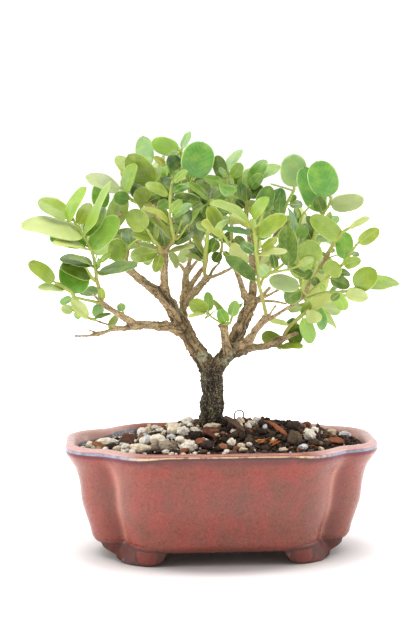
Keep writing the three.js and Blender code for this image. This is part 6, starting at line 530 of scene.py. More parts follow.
            [68,41.2,199.6,67.9,41.4,201.5,69.4,42.8,219.5,0.92,-0.4,-0.05,13.1,0.081,0.05,-1,0],
            [71.4,40.4,201.9,72.8,41.6,202.7,79.2,50.5,212.4,0.71,-0.69,0.16,10.6,0.008,0.1,-1,0],
            [71.4,40.4,201.9,72.4,38.8,202.6,78.3,30.8,217.6,-0.73,0.45,0.52,13,0.09,0.14,-1,0],
            [74.9,39.3,204.7,76.3,38,204.8,98.7,38.9,192.9,0.46,-0.23,0.86,18.3,0.003,0.14,-1,0],
            [78.4,37.8,208.1,79.4,38.9,209.2,92.5,42.7,218.1,-0.34,-0.56,0.75,11.7,0.013,0.15,-1,0],
            [78.8,37.7,208.5,79.9,36.9,210.6,85.4,27.6,221,0.92,0.33,-0.19,10.8,0.059,0.08,-1,0],
            [67.4,42.9,197.2,65.6,43.9,197.3,49.9,48.6,193.1,0.2,0.94,0.27,12.2,0.026,0.14,-1,0],
            [67.3,45.2,194.4,67.1,44.4,193.1,65.8,31.5,175,-0.13,0.81,-0.57,16.1,0.035,0.09,-1,0],
            [67.3,45.2,194.4,67.2,47.3,194.6,67.1,67.6,194,-0.26,0.03,0.97,14.6,0.057,0.07,-1,0],
            [67.1,47.8,191.2,68.4,49.1,191.2,77.2,56.6,190,-0.64,0.76,0.13,8.3,0.076,0.1,-1,0],
            [67.1,48,191,67.1,50.1,189.8,60.9,62.6,184.9,0.82,0.5,0.26,10.7,0.05,0.1,-1,0],
            [67.1,48,191,67,48.7,188.6,66.6,50.2,177.4,-0.05,0.99,0.14,8.2,0.054,0.15,-1,0],
            [68.5,43.2,202.2,69.3,44.6,203,67.2,49.4,224.8,0.92,-0.35,0.16,16.1,-0.02,0.11,-1,0],
            [68.5,43.2,202.2,67,43.1,203.4,52.9,41.2,211.5,0.5,0,0.87,11.8,0.037,0.15,-1,0],
            [65.9,48,207.7,66.5,49.3,208.7,71.9,59.3,220.5,0.75,-0.63,0.19,11.8,-0.019,0.08,-1,0],
            [65.8,48.1,207.9,65.5,49.2,210,64.3,53.9,223.7,-0.91,0.36,-0.21,10.5,0.031,0.09,-1,0],
        ],
    },
    "back_centre_crown": {
        "stems": [[[2.4,53.2,212.5,1.15],[2.6,55.2,220.6,1.02],[3.3,55.1,228.9,0.88],[3.8,53.1,235.8,0.75]], [[2.6,55.2,222,0.85],[-1.4,57.5,225.4,0.77],[-5.4,59.8,227.4,0.7]], [[2.5,54.9,219.3,0.85],[2.6,55.2,219.3,0.85],[7.3,57.8,221.9,0.77],[12,60.5,223.1,0.7]]],
        "leaves": [
            [2.5,54.1,216.2,1.3,53,217.6,-8.7,44.2,229.7,0.43,0.53,0.74,13,0.027,0.08,-1,0],
            [2.5,54.1,216.2,4.2,54.6,217.4,24.9,57.5,212.3,0.16,0.41,0.9,15.4,0.027,0.07,-1,0],
            [2.6,55.2,221.3,3.4,53.9,222.6,-0.6,40.8,240.8,0.07,0.8,0.59,16.4,0.012,0.11,-1,0],
            [3,55.1,226,4.3,55.5,227.5,13.5,59.5,233.9,-0.58,0.71,0.4,8.6,0.057,0.15,-1,0],
            [3.4,54.6,230.6,3.3,55.5,232.4,3.6,63.5,246.2,0.87,-0.43,0.23,11.5,0.027,0.14,-1,0],
            [3.4,54.6,230.6,3.9,53.1,231.8,5.7,39.3,242.8,0.24,0.62,0.74,12.8,0.111,0.15,-1,0],
            [3.7,53.4,234.8,5.3,53.1,235.7,11,55.4,246.8,-0.89,0.13,0.43,9.2,0.103,0.13,-1,0],
            [0.6,56.3,223.7,-1.3,56.6,223.8,-6.5,69.5,215.8,-0.43,0.34,0.84,11.5,0.12,0.05,-1,0],
            [0.6,56.3,223.7,0.6,56.3,225.6,-6.4,64.1,246.4,-0.42,0.79,-0.44,16.8,0.002,0.08,-1,0],
            [-2.1,57.9,225.7,-2.6,59.6,225.7,-13.8,71.1,221.6,-0.29,0.06,0.96,11.9,0.022,0.05,-1,0],
            [-4.7,59.4,227,-6.3,60.1,226.4,-18.9,65.5,221.5,-0.28,0.2,0.94,10.5,0.072,0.09,-1,0],
            [-4.9,59.5,227.1,-6.5,61,228.1,-12.4,73.3,226.7,-0.37,-0.07,0.93,9.9,0.059,0.1,-1,0],
            [11.2,60.1,222.9,12.6,61,222.3,25.2,64.2,216.7,0.39,0.08,0.92,10.2,0.024,0.07,-1,0],
            [11.4,60.2,223,13.7,60.3,223.6,27.5,50.4,220.8,0,-0.28,0.96,12.4,-0.004,0.05,-1,0],
        ],
    },
    "back_centre_rear": {
        "stems": [[[-1.8,51.5,201.6,1.15],[0.4,63.4,203.6,1.02],[2.5,73.2,207.2,0.88],[4.3,79.1,212.5,0.75]], [[1.2,67.1,205,0.85],[0.6,67.3,204.7,0.85],[5.7,70,204.6,0.77],[10.9,72.6,203,0.7]], [[0.4,63.4,203.6,0.85],[-3.5,67.7,204.7,0.77],[-7.5,72,204.5,0.7]]],
        "leaves": [
            [-0.8,56.8,202.5,-1.9,58.6,201.7,-12.3,72.5,183.8,-0.49,0.52,0.7,17.9,0.031,0.16,-1,0],
            [0.5,64,203.8,-0.4,64.4,205.7,-21,51.2,213.3,0.47,-0.25,0.84,18.5,0.055,0.12,-1,0],
            [0.5,64,203.8,1.9,65.3,203.6,5.2,79.6,197.4,-0.85,-0.03,-0.52,11.4,0.095,0.07,-1,0],
            [1.7,69.8,205.9,3.2,70.1,207.3,17.2,73.5,220.7,-0.58,0.69,0.44,14.2,0.07,0.12,-1,0],
            [6.6,70.4,204.3,8,69.6,203.4,28.2,63.4,192.1,0.53,0.31,0.79,17.2,0.088,0.06,-1,0],
            [10.3,72.3,203.2,12.5,72.8,202.2,23.3,70.4,201,0.19,0.37,0.91,8,0.062,0.11,-1,0],
            [-4.2,68.4,204.7,-5.5,68.4,206.1,-17.7,66.5,219.5,-0.37,0.9,-0.21,13.2,-0.014,0.11,-1,0],
            [-6.8,71.2,204.5,-8.5,71.5,204,-20.2,72.1,196.3,-0.54,0.1,0.84,10.1,0.001,0.15,-1,0],
        ],
    },
    "back_low_rear": {
        "stems": [[[36.6,48.6,193.3,1.15],[39.9,60.4,191.1,1.02],[43.8,70.2,189.6,0.88],[48,75.9,191.3,0.75]], [[41.4,64.2,190.5,0.85],[41.1,64.4,190.8,0.85],[38,68.6,192.6,0.77],[34.9,72.8,193,0.7]]],
        "leaves": [
            [38.5,55.3,192.1,39.1,56.1,190.1,44.1,63.7,173.3,0.26,0.85,0.46,13.8,0.049,0.14,-1,0],
            [41.2,63.5,190.6,43.1,64.1,191.1,56.5,74.9,188.8,-0.55,0.76,0.35,12.5,0.074,0.11,-1,0],
            [39.6,66.6,191.6,39.4,66.9,193.5,38.4,72,215.2,-0.73,0.66,-0.19,16,0.067,0.08,-1,0],
        ],
    },
    "mid_left": {
        "stems": [[[-64.1,4.9,206.2,1.15],[-67.9,16.3,210.8,1.02],[-70.4,26.5,215.6,0.88],[-71.7,32.6,220.6,0.75]], [[-67.9,16.3,210.8,0.85],[-65.2,22.1,207.8,0.77],[-62.5,27.9,203.4,0.7]]],
        "leaves": [
            [-66.2,11.3,208.8,-68.2,12,209.2,-84.2,17.6,212.1,0.31,0.47,0.83,12.4,0.03,0.11,-1,0],
            [-66.2,11.3,208.8,-64.8,12.6,209.8,-55,21.8,216.7,-0.71,0.26,0.66,10.9,0.03,0.11,-1,0],
            [-70.6,27,216,-69.7,27.5,217.6,-64.2,14,221.8,-0.39,0.12,0.91,10.9,0.062,0.06,-1,0],
            [-70.6,27,216,-72.4,27.4,216.4,-85.9,31.4,220.5,0.38,0.51,0.77,10.6,0.023,0.07,-1,0],
            [-71.6,32,220.2,-72.8,33.8,221.4,-79.6,41.5,226.6,0.54,-0.09,0.84,8.2,0.03,0.14,-1,0],
            [-71.6,32,220.2,-70.9,33.6,221.9,-71,30.2,237.1,-0.96,0.26,0.05,11.2,0.112,0.14,-1,0],
            [-66.6,19.2,209.3,-67.8,20.5,208.7,-80.4,34.4,202.1,0.49,0.69,0.53,14.4,0.064,0.12,-1,0],
            [-64.8,23,207.1,-64.7,24.6,208.1,-58.8,37.4,218.5,0.57,0.34,-0.75,12.6,0.065,0.06,-1,0],
            [-64.8,23,207.1,-64,23.1,205.4,-51.9,23.9,195.1,-0.07,1,-0.01,11.4,-0.014,0.08,-1,0],
            [-63,26.9,204.1,-61.2,27.4,204.4,-46.2,31.8,206.9,-0.32,0.88,0.36,11.4,0.079,0.08,-1,0],
            [-63,26.9,204.1,-64.2,27.8,203.2,-75.6,36,194.5,0.43,0.87,0.25,11.8,0.096,0.08,-1,0],
            [-62.8,27.4,203.8,-62.2,28.5,201.7,-56.7,31.9,191.6,0.35,0.81,0.46,8.7,0.087,0.13,-1,0],
            [-62.8,27.4,203.8,-62.1,29.6,203.8,-62.1,43.1,208.8,-0.26,-0.33,0.91,10.4,0.063,0.09,-1,0],
            [-66.6,19.2,209.3,-62.6,17.9,213.3,-54.7,8.3,234.8,-0.3,-0.91,-0.29,13.9,0.06,0.1,2,0],
            [-71.6,32,220.2,-69.7,31.4,224,-70.3,22.4,242.9,0.02,-0.9,-0.43,12,0.06,0.1,3,0],
        ],
    },
    "mid_low_right": {
        "stems": [[[54.2,-34.6,167,1.02],[57,-18.6,163.7,1.15],[65.6,-3.6,162.7,1.02],[73.9,7.8,162.7,0.88],[81.8,15.2,164.6,0.75]], [[65.6,-3.6,162.7,0.85],[63.9,3.5,165.2,0.77],[62.2,10.7,166.5,0.7]]],
        "leaves": [
            [61.9,-10.2,163.1,61.5,-8.8,161.5,55.1,3.8,156.4,0.16,0.44,0.89,10.8,0.058,0.06,-1,0],
            [61.9,-10.2,163.1,63.1,-9.7,164.8,76.8,-4.6,183.8,-0.24,0.97,-0.09,17.3,0.025,0.09,-1,0],
            [68.2,-0.1,162.7,70.2,0.4,162.3,88.7,4.4,159.3,0.02,0.57,0.82,13.8,0.067,0.14,-1,0],
            [74.4,8.3,162.8,75.4,9.7,162,87.7,27.6,151.7,0.36,0.27,0.89,17.2,0.064,0.09,-1,0],
            [80.3,13.8,164.2,82.1,13.6,164.5,94.7,11,166.3,-0.05,0.4,0.92,9.4,0.081,0.07,-1,0],
            [81.3,14.8,164.5,83,16.5,164.3,88.4,23.3,157.2,0.82,-0.07,0.56,8,0.054,0.1,-1,0],
            [81.3,14.8,164.5,82.9,16.1,165.7,92.5,23.7,175.1,-0.66,-0.08,0.74,11.1,0.02,0.15,-1,0],
            [63.6,4.7,165.5,62.2,5.5,166.4,44.2,15,177.7,0.64,0.53,0.56,16.8,0.041,0.07,-1,0],
            [63.6,4.7,165.5,64.6,6.3,165.8,76,24.7,169.6,-0.58,0.2,0.79,15.9,0.033,0.15,-1,0],
        ],
    },
    "mid_crown": {
        "stems": [[[0.7,11.2,214.8,1.15],[4.1,21,220.9,1.02],[7.2,26.8,227.3,0.88],[10.1,28.5,232.6,0.75]], [[4.1,21,220.9,0.85],[0.3,24.3,222.1,0.77],[-3.5,27.5,222,0.7]]],
        "leaves": [
            [2.6,16.7,218.2,1.1,18.1,218.9,-9.1,20.6,230.8,0.74,0.36,0.56,11.4,0.024,0.1,-1,0],
            [2.6,16.7,218.2,4.3,17.1,219.6,18.4,20.4,231.3,-0.61,0.55,0.58,13.4,0.07,0.09,-1,0],
            [5.1,22.8,222.9,5.8,24.7,222.5,7.9,41.3,217.7,0.2,0.25,0.95,12.6,0.061,0.05,-1,0],
            [7.5,27,227.9,8.6,25.8,228.8,17.9,12.4,240.7,-0.16,0.59,0.79,14.5,0.061,0.09,-1,0],
            [7.5,27,227.9,7.2,28.5,228.8,16.7,27.3,246.1,0.49,-0.81,-0.32,14.3,0.104,0.13,-1,0],
            [9.5,28.2,231.6,9.3,27.9,233.4,10.4,35.1,247,-0.44,0.81,-0.39,11.1,0.12,0.12,-1,0],
            [9.7,28.3,232,10.3,29.5,234.2,17.1,38.1,247.4,0.55,-0.8,0.24,12.4,0.086,0.09,-1,0],
            [2.2,22.6,221.5,2.3,24.4,222.2,-2.7,16.2,239.4,-0.85,-0.33,-0.41,14.2,0.035,0.09,-1,0],
            [-0.3,24.8,222.1,-1.2,25.4,223.6,-5.7,32.3,230.9,-0.88,-0.05,-0.48,8,0.042,0.1,-1,0],
            [-0.3,24.8,222.1,-0.8,25.9,220.6,-6,36.2,202.3,-0.67,-0.71,-0.22,15.6,0.113,0.15,-1,0],
            [-2.8,27,222,-4.5,26.3,222,-19.5,22.1,218.3,-0.21,-0.1,0.97,11.5,-0.01,0.12,-1,0],
            [-2.9,27.1,222,-4.5,29,221.5,-8.8,36.6,210.2,0.45,0.81,0.38,10.3,0.02,0.1,-1,0],
        ],
    },
    "mid_left_crown": {
        "stems": [[[-33.4,5.3,227.1,1.15],[-33.2,5.7,227,1.15],[-37.3,20,227.7,1.02],[-40.9,30.3,231.3,0.88],[-43.4,36.5,235.1,0.75]], [[-37.3,20,227.7,0.85],[-33.7,24.8,230.8,0.77],[-30.2,29.5,232.7,0.7]]],
        "leaves": [
            [-35.5,13.7,227.4,-35.9,15.5,226.2,-38.9,27.8,217.5,-0.16,0.54,0.82,11.1,0.051,0.12,-1,0],
            [-35.5,13.7,227.4,-35.9,14.9,229.2,-38.9,23.4,242.1,-0.06,0.83,-0.56,11.4,0.07,0.15,-1,0],
            [-41.1,30.9,231.7,-41.2,30.7,233.5,-42.9,30.9,253.6,-0.24,0.97,-0.03,14.5,0.045,0.14,-1,0],
            [-42.9,35.3,234.4,-42,36.5,235.5,-33.7,46.6,245.1,-0.79,0.07,0.61,11.7,0.078,0.12,-1,0],
            [-42.9,35.3,234.4,-44.5,36.3,234.4,-55,43,234.4,0.18,0.29,0.94,9,0.029,0.13,-1,0],
            [-43.1,35.9,234.8,-44,38.2,235.5,-34.3,40,225.8,-0.47,0.82,-0.32,10,0.063,0.14,-1,0],
            [-43.1,35.9,234.8,-44.1,37.1,236.7,-49,41.3,246.7,0.79,0.6,0.13,8.6,0.072,0.12,-1,0],
            [-35.5,22.4,229.3,-34.1,23.5,228.8,-19.9,34.7,223.9,0.11,0.28,0.95,13.5,0.051,0.14,-1,0],
            [-35.5,22.4,229.3,-35.4,23,231.1,-33.6,26.3,249,0.51,0.83,-0.21,13.1,0.054,0.12,-1,0],
            [-33.1,25.6,231.1,-31.5,25.3,232,-15,28.9,230.8,0.01,0.3,0.95,12.2,-0.02,0.08,-1,0],
            [-30.8,28.7,232.4,-30.8,29.4,234,-32.4,30.9,250.2,0.89,0.44,0.05,11.7,0.002,0.06,-1,0],
            [-30.6,29,232.5,-29.9,31.1,233.4,-20.6,41.3,223.5,0,0.7,0.71,12.2,0.082,0.1,-1,0],
        ],
    },
    "mid_front_low": {
        "stems": [[[14.9,-15.5,199.4,1.15],[9.8,-37.6,205.4,1.02],[5.6,-57,211,0.88],[2.8,-68,215.4,0.75]]],
        "leaves": [
            [11.2,-32.1,204,11.1,-33.9,202.8,22,-44.9,193.8,-0.76,-0.63,-0.16,12.8,0.005,0.08,-1,0],
            [6.7,-52.1,209.7,5.1,-52.9,210.6,-8.6,-59.5,219.4,0.63,-0.5,0.6,12.6,0.076,0.11,-1,0],
            [3.5,-65.2,214.3,2.6,-65.6,215.9,-5.4,-68.9,229.1,0.59,-0.8,0.15,11.3,0.048,0.11,-1,0],
            [3,-67.3,215.2,3.1,-69.6,216.2,5.6,-82.8,223.1,-0.54,0.31,0.78,10.8,0.075,0.16,-1,0],
            [14.2,-18.6,200.2,22,-16.3,199.4,16.6,-18.7,208.6,0.22,-0.97,-0.11,7.9,0.06,0.1,2,0],
        ],
    },
}
STONES = [
    ["pumice_stone_1", [-15.59,-45.4,76.35], [5.39,4.12,3.99]],
    ["pumice_stone_2", [-45.21,-40.45,74.54], [6.99,4.13,3.67]],
    ["pumice_stone_3", [-28.8,-43.12,76.1], [5.71,4.44,4]],
    ["pumice_stone_4", [-42.3,-29.98,77.58], [4.17,3.53,3.71]],
    ["pumice_stone_5", [63.39,-28.25,80.28], [4.21,3.56,4.08]],
]
CHIPS = [
    ["bark_chip_1", [37.89,-14.87,86.94], [48.15,-35.93,81.26], 4.26],
    ["bark_chip_2", [9.51,-15.02,89.87], [20.41,-38.64,84.65], 4.59],
    ["bark_chip_3", [-6.36,-32.16,83.26], [4.73,-30.47,84.09], 5.14],
]
ROOT_LOOP = [[17.93,-2.88,85.25],[17.13,-2.82,88.28],[17.72,-2.86,90.83],[19.56,-3,92.17],[21.87,-3.17,91.9],[23.26,-3.27,90.15],[23,-3.25,87.94],[21.56,-3.15,86.26]]
# loose pieces on the soil: x, y, size across, size up, size deep (mm), kind
GRIT = [
    (-75.5, -0.7, 15.7, 6.2, 9, "w"),
    (-86, 1.3, 5.9, 4.1, 5.6, "w"),
    (-62.9, -23.9, 6.4, 4.7, 6.1, "w"),
    (-51.9, -0.2, 5.9, 5.5, 5.6, "w"),
    (-46.9, 0.5, 3.3, 7.6, 3.1, "w"),
    (-49.3, -20.4, 7.7, 6.1, 7.3, "w"),
    (-42.4, -23.4, 10.9, 6.7, 9.7, "w"),
    (-31.6, -13.2, 9.1, 6.8, 8.6, "w"),
    (-26, -18.4, 7.7, 6.8, 7.3, "w"),
    (-21.5, 2.6, 7.9, 6.2, 7.5, "w"),
    (-6.8, -12.8, 10.4, 4.1, 5.9, "w"),
    (-33.9, -21.3, 5.1, 3.4, 4.9, "w"),
    (-18.1, -15.7, 5.8, 3.4, 4.9, "w"),
    (-44.7, -33.8, 5.1, 4.7, 4.8, "g"),
    (54.4, -23.8, 6.5, 6.8, 6.1, "w"),
    (59.9, -12.9, 5.2, 6.2, 5, "w"),
    (72.8, -1.9, 6.6, 5.5, 6.3, "w"),
    (83, 7.4, 7.3, 4.2, 6.1, "w"),
    (3.7, -33.4, 5.1, 5.3, 4.8, "w"),
    (9.9, -35.8, 5.1, 3.3, 4.8, "w"),
    (15.1, -35, 3.8, 3.3, 3.6, "w"),
    (30.9, -30.9, 2.6, 4, 2.4, "w"),
    (36.2, -40.3, 6.3, 2.7, 3.9, "w"),
    (49.6, -36, 6.4, 3.3, 4.8, "w"),
    (4.8, 1.4, 4.6, 4.1, 4.4, "w"),
    (12.2, -3.9, 5.2, 5.5, 5, "w"),
    (19.1, -8.2, 5.2, 4.1, 5, "w"),
    (23.9, 0.7, 5.3, 4.2, 5, "w"),
    (-4.5, -24.7, 3.2, 3.4, 3, "w"),
    (27.5, -15.3, 3.2, 4.1, 3.1, "w"),
    (16.5, -14.3, 3.9, 4.8, 3.7, "w"),
    (44.1, -7.5, 3.9, 3.4, 3.7, "w"),
    (66.3, -22.9, 3.9, 2.7, 3.7, "g"),
    (61.4, -29.6, 4.5, 3.4, 4.3, "g"),
    (10.8, -39.9, 5.7, 2.7, 3.8, "w"),
    (-11.8, -36, 8.9, 6, 8.4, "k"),
    (40.1, -8.5, 5.9, 5.5, 5.6, "k"),
    (46.3, -11.2, 9.1, 6.9, 8.7, "o"),
    (45.1, -30.7, 9.6, 9.4, 9.1, "o"),
    (-61.3, -9.5, 11, 6.8, 9.9, "r"),
    (-80.1, -6.6, 9.1, 4.1, 5.9, "r"),
    (-71.7, -14.3, 8.4, 4.1, 5.9, "k"),
    (-24.4, 71.7, 10.6, 7, 10, "v"),
    (-8.3, -23.5, 10.9, 6.7, 9.8, "r"),
    (-15.4, -33.2, 7.6, 8, 7.3, "r"),
    (57.3, 3.8, 5.6, 5.2, 5.4, "d"),
    (31.8, -33.9, 5.7, 3.3, 4.8, "f"),
    (-38.1, -0.2, 3.9, 3.4, 3.7, "f"),
    (22.3, -33, 5.7, 3.3, 4.8, "f"),
    (65.1, 5, 3.3, 5.6, 3.2, "k"),
    (73, -21.7, 10.4, 4.1, 5.9, "r"),
    (-18, -24.2, 7.7, 4.7, 6.8, "k"),
    (-1.7, -37, 6.3, 4, 5.8, "r"),
    (24.9, -20.9, 5.8, 4.1, 5.5, "k"),
    (85.8, 63.6, 4.9, 3, 4.3, "f"),
    (-41.7, -37.8, 6.3, 2.7, 3.8, "k"),
    (-56, -28, 7.7, 4.7, 6.8, "w"),
    (-39.5, -31.2, 4.5, 4, 4.2, "w"),
    (-68, -23.6, 5.1, 3.4, 4.9, "w"),
    (-80.8, -19.1, 4.5, 2.7, 3.9, "w"),
    (-28.4, -27, 5.8, 4.7, 5.5, "w"),
    (-33.8, -32.1, 7.6, 5.3, 7.2, "g"),
    (-23.2, -35.4, 8.2, 6.7, 7.8, "w"),
    (-57.9, -5, 5.2, 3.4, 5, "g"),
    (-14.1, -41.3, 5.7, 2.7, 3.8, "k"),
    (-5, -38.7, 4.4, 3.3, 4.2, "k"),
    (6.4, -38.8, 3.8, 2.7, 3.6, "r"),
    (44.5, -20.1, 4.5, 4.1, 4.3, "k"),
    (29.5, -26.5, 5.1, 4, 4.9, "k"),
    (57.5, -30.1, 7.7, 4.7, 6.8, "o"),
    (80.9, -13.5, 5.9, 3.4, 5, "k"),
    (0.1, -30.6, 3.8, 4, 3.6, "k"),
    (-26.7, -40.4, 6.3, 2.7, 3.8, "r"),
]
# spots of moss and lichen on the wood: x, y, z, radius, strength
MOSS = [(-6.1,-19.6,105.5,3.2,1),(6.8,-20.5,107.5,3.4,1),(1.5,-21.6,99.2,3,0.8),(-3,-21.2,92.6,3.5,0.9),(9,-17.9,95.2,2.6,0.8),(3.5,-21.7,90.7,4,0.9),(-3.5,-19.8,114.7,2.2,0.6)]
LICHEN = [(-4.6,-16.9,130,4.2,1),(11,-16.6,126.6,4.5,1),(-9.1,-16.6,137.9,2.4,0.6),(14.3,-16.9,133.1,3,0.8),(-14.3,-16.2,147.7,2.5,0.7),(22.7,-17.5,144.2,3,0.8),(18.1,-17.2,137.7,3,0.9),(-19.5,-15.8,155.5,2.2,0.6),(1,-20.1,125.2,2.4,0.6),(25.9,-17.7,152.7,3,0.7)]


# ------------------------------------------------------------------ numbers
def srgb(h):
    h = h.lstrip("#")
    c = [int(h[i:i + 2], 16) / 255 for i in (0, 2, 4)]
    return np.array([x / 12.92 if x <= 0.04045 else ((x + 0.055) / 1.055) ** 2.4 for x in c])


def smooth(a, b, x):
    t = np.clip((np.asarray(x, float) - a) / (b - a), 0, 1)
    return t * t * (3 - 2 * t)


def _hash(i, j, k, seed):
    with np.errstate(over="ignore"):
        n = (i.astype(np.uint32) * np.uint32(374761393) + j.astype(np.uint32) * np.uint32(668265263)
             + k.astype(np.uint32) * np.uint32(2246822519) + np.uint32((seed * 2654435761) & 0xFFFFFFFF))
        n = (n ^ (n >> np.uint32(13))) * np.uint32(1274126177)
        n = n ^ (n >> np.uint32(16))
    return n.astype(np.float64) / 4294967295.0 * 2 - 1


def noise(P, seed=0):
    """Smooth value noise, about -1 to 1, at points (n, 3)."""
    P = np.asarray(P, float)
    f = np.floor(P)
    t = P - f
    t = t * t * (3 - 2 * t)
    i = f.astype(np.int64)
    out = 0
    for a in (0, 1):
        for b in (0, 1):
            for c in (0, 1):
                w = (t[:, 0] if a else 1 - t[:, 0]) * (t[:, 1] if b else 1 - t[:, 1]) * (t[:, 2] if c else 1 - t[:, 2])
                out = out + w * _hash(i[:, 0] + a, i[:, 1] + b, i[:, 2] + c, seed)
    return out


def fbm(P, octaves=3, seed=0, gain=0.5):
    out, amp, total, f = 0, 1.0, 0.0, 1.0
    for o in range(octaves):
        out = out + amp * noise(np.asarray(P) * f + 17.3 * o, seed + o)
        total += amp
        amp *= gain
        f *= 2.03
    return out / total


def unit(v):
    return v / max(np.linalg.norm(v), 1e-12)


def resample(P, step):
    """A smooth line through rows of x, y, z, radius, with points about step apart."""
    P = np.asarray(P, float)
    if len(P) == 2:
        n = max(2, int(np.ceil(np.linalg.norm(P[1, :3] - P[0, :3]) / step)) + 1)
        return np.array([P[0] + (P[1] - P[0]) * t for t in np.linspace(0, 1, n)])
    Q = np.vstack([2 * P[0] - P[1], P, 2 * P[-1] - P[-2]])
    out = []
    for i in range(1, len(Q) - 2):
        p0, p1, p2, p3 = Q[i - 1], Q[i], Q[i + 1], Q[i + 2]
        n = max(1, int(np.ceil(np.linalg.norm((p2 - p1)[:3]) / step)))
        for k in range(n):
            t = k / n
            q = 0.5 * (2 * p1 + (p2 - p0) * t + (2 * p0 - 5 * p1 + 4 * p2 - p3) * t * t + (3 * p1 - p0 - 3 * p2 + p3) * t ** 3)
            q[3] = p1[3] + (p2[3] - p1[3]) * t
            out.append(q)
    out.append(P[-1])
    return np.array(out)


def frames(P):
    """Tangent and two side directions along a line, without twist."""
    n = len(P)
    T = np.array([unit(P[min(i + 1, n - 1), :3] - P[max(i - 1, 0), :3]) for i in range(n)])
    s = np.array([0, 0, 1.0]) if abs(T[0][2]) < 0.9 else np.array([1.0, 0, 0])
    U = []
    for t in T:
        s = unit(s - t * (s @ t))
        U.append(s)
    U = np.array(U)
    return T, U, np.cross(T, U)


def tube(P, sides, swell=None):
    """Vertices and quads of a closed round tube along P, with domed ends."""
    T, U, W = frames(P)
    n = len(P)
    a = np.arange(sides) * 2 * math.pi / sides
    R = P[:, 3] * (1 if swell is None else swell)
    rings = P[:, None, :3] + R[:, None, None] * (np.cos(a)[None, :, None] * U[:, None, :] + np.sin(a)[None, :, None] * W[:, None, :])
    V = [rings.reshape(-1, 3)]
    q = []
    i, j = np.meshgrid(np.arange(n - 1), np.arange(sides), indexing="ij")
    j2 = (j + 1) % sides
    q.append(np.stack([i * sides + j, i * sides + j2, (i + 1) * sides + j2, (i + 1) * sides + j], -1).reshape(-1, 4))
    base = n * sides
    caps = []
    for end, k, sign in ((0, 0, -1), (1, n - 1, 1)):
        dome = P[k, :3] + sign * T[k] * R[k] * 0.35
        half = P[k, :3] + sign * T[k] * R[k] * 0.24 + R[k] * 0.6 * (np.cos(a)[:, None] * U[k] + np.sin(a)[:, None] * W[k])
        V.append(half)
        V.append(dome[None])
        r0 = k * sides + np.arange(sides)
        r1 = base + np.arange(sides)
        tip = base + sides
        nx = (np.arange(sides) + 1) % sides
        if end:
            q.append(np.stack([r0, r0[nx], r1[nx], r1], -1))
            caps.append(np.stack([r1, r1[nx], np.full(sides, tip)], -1))
        else:
            q.append(np.stack([r0[nx], r0, r1, r1[nx]], -1))
            caps.append(np.stack([r1[nx], r1, np.full(sides, tip)], -1))
        base += sides + 1
    return np.vstack(V), np.vstack(q), np.vstack(caps)


# ------------------------------------------------------------------ meshes
class Pile:
    """Collects vertices, faces, material numbers and point attributes."""

    def __init__(self):
        self.V, self.F, self.M, self.n = [], [], [], 0
        self.A = {}

    def add(self, V, faces, mat=0, **attrs):
        V = np.asarray(V, float)
        for F in faces:
            if len(F):
                self.F += (np.asarray(F) + self.n).tolist()
                self.M += [mat] * len(F)
        self.V.append(V)
        for k, v in attrs.items():
            v = np.asarray(v, float)
            if v.ndim == 1:
                v = np.repeat(v[None], len(V), 0)
            self.A.setdefault(k, []).append(v)
        self.n += len(V)

    def make(self, name, mats, flat=False):
        me = bpy.data.meshes.new(name)
        me.from_pydata((np.vstack(self.V) * MM).tolist(), [], self.F)
        me.update()
        for m in mats:
            me.materials.append(m)
        me.polygons.foreach_set("material_index", np.array(self.M, np.int32))
        me.polygons.foreach_set("use_smooth", np.full(len(self.F), not flat))
        for k, parts in self.A.items():
            v = np.vstack(parts)
            set_attribute(me, k, v)
        ob = bpy.data.objects.new(name, me)
        bpy.context.scene.collection.objects.link(ob)
        return ob


def set_attribute(me, name, v):
    if v.shape[1] == 4:
        at = me.attributes.new(name, "FLOAT_COLOR", "POINT")
        at.data.foreach_set("color", v.astype(np.float32).ravel())
    else:
        at = me.attributes.new(name, "FLOAT_VECTOR", "POINT")
        at.data.foreach_set("vector", v.astype(np.float32).ravel())


def rgba(c):
    return np.array([*c, 1.0])


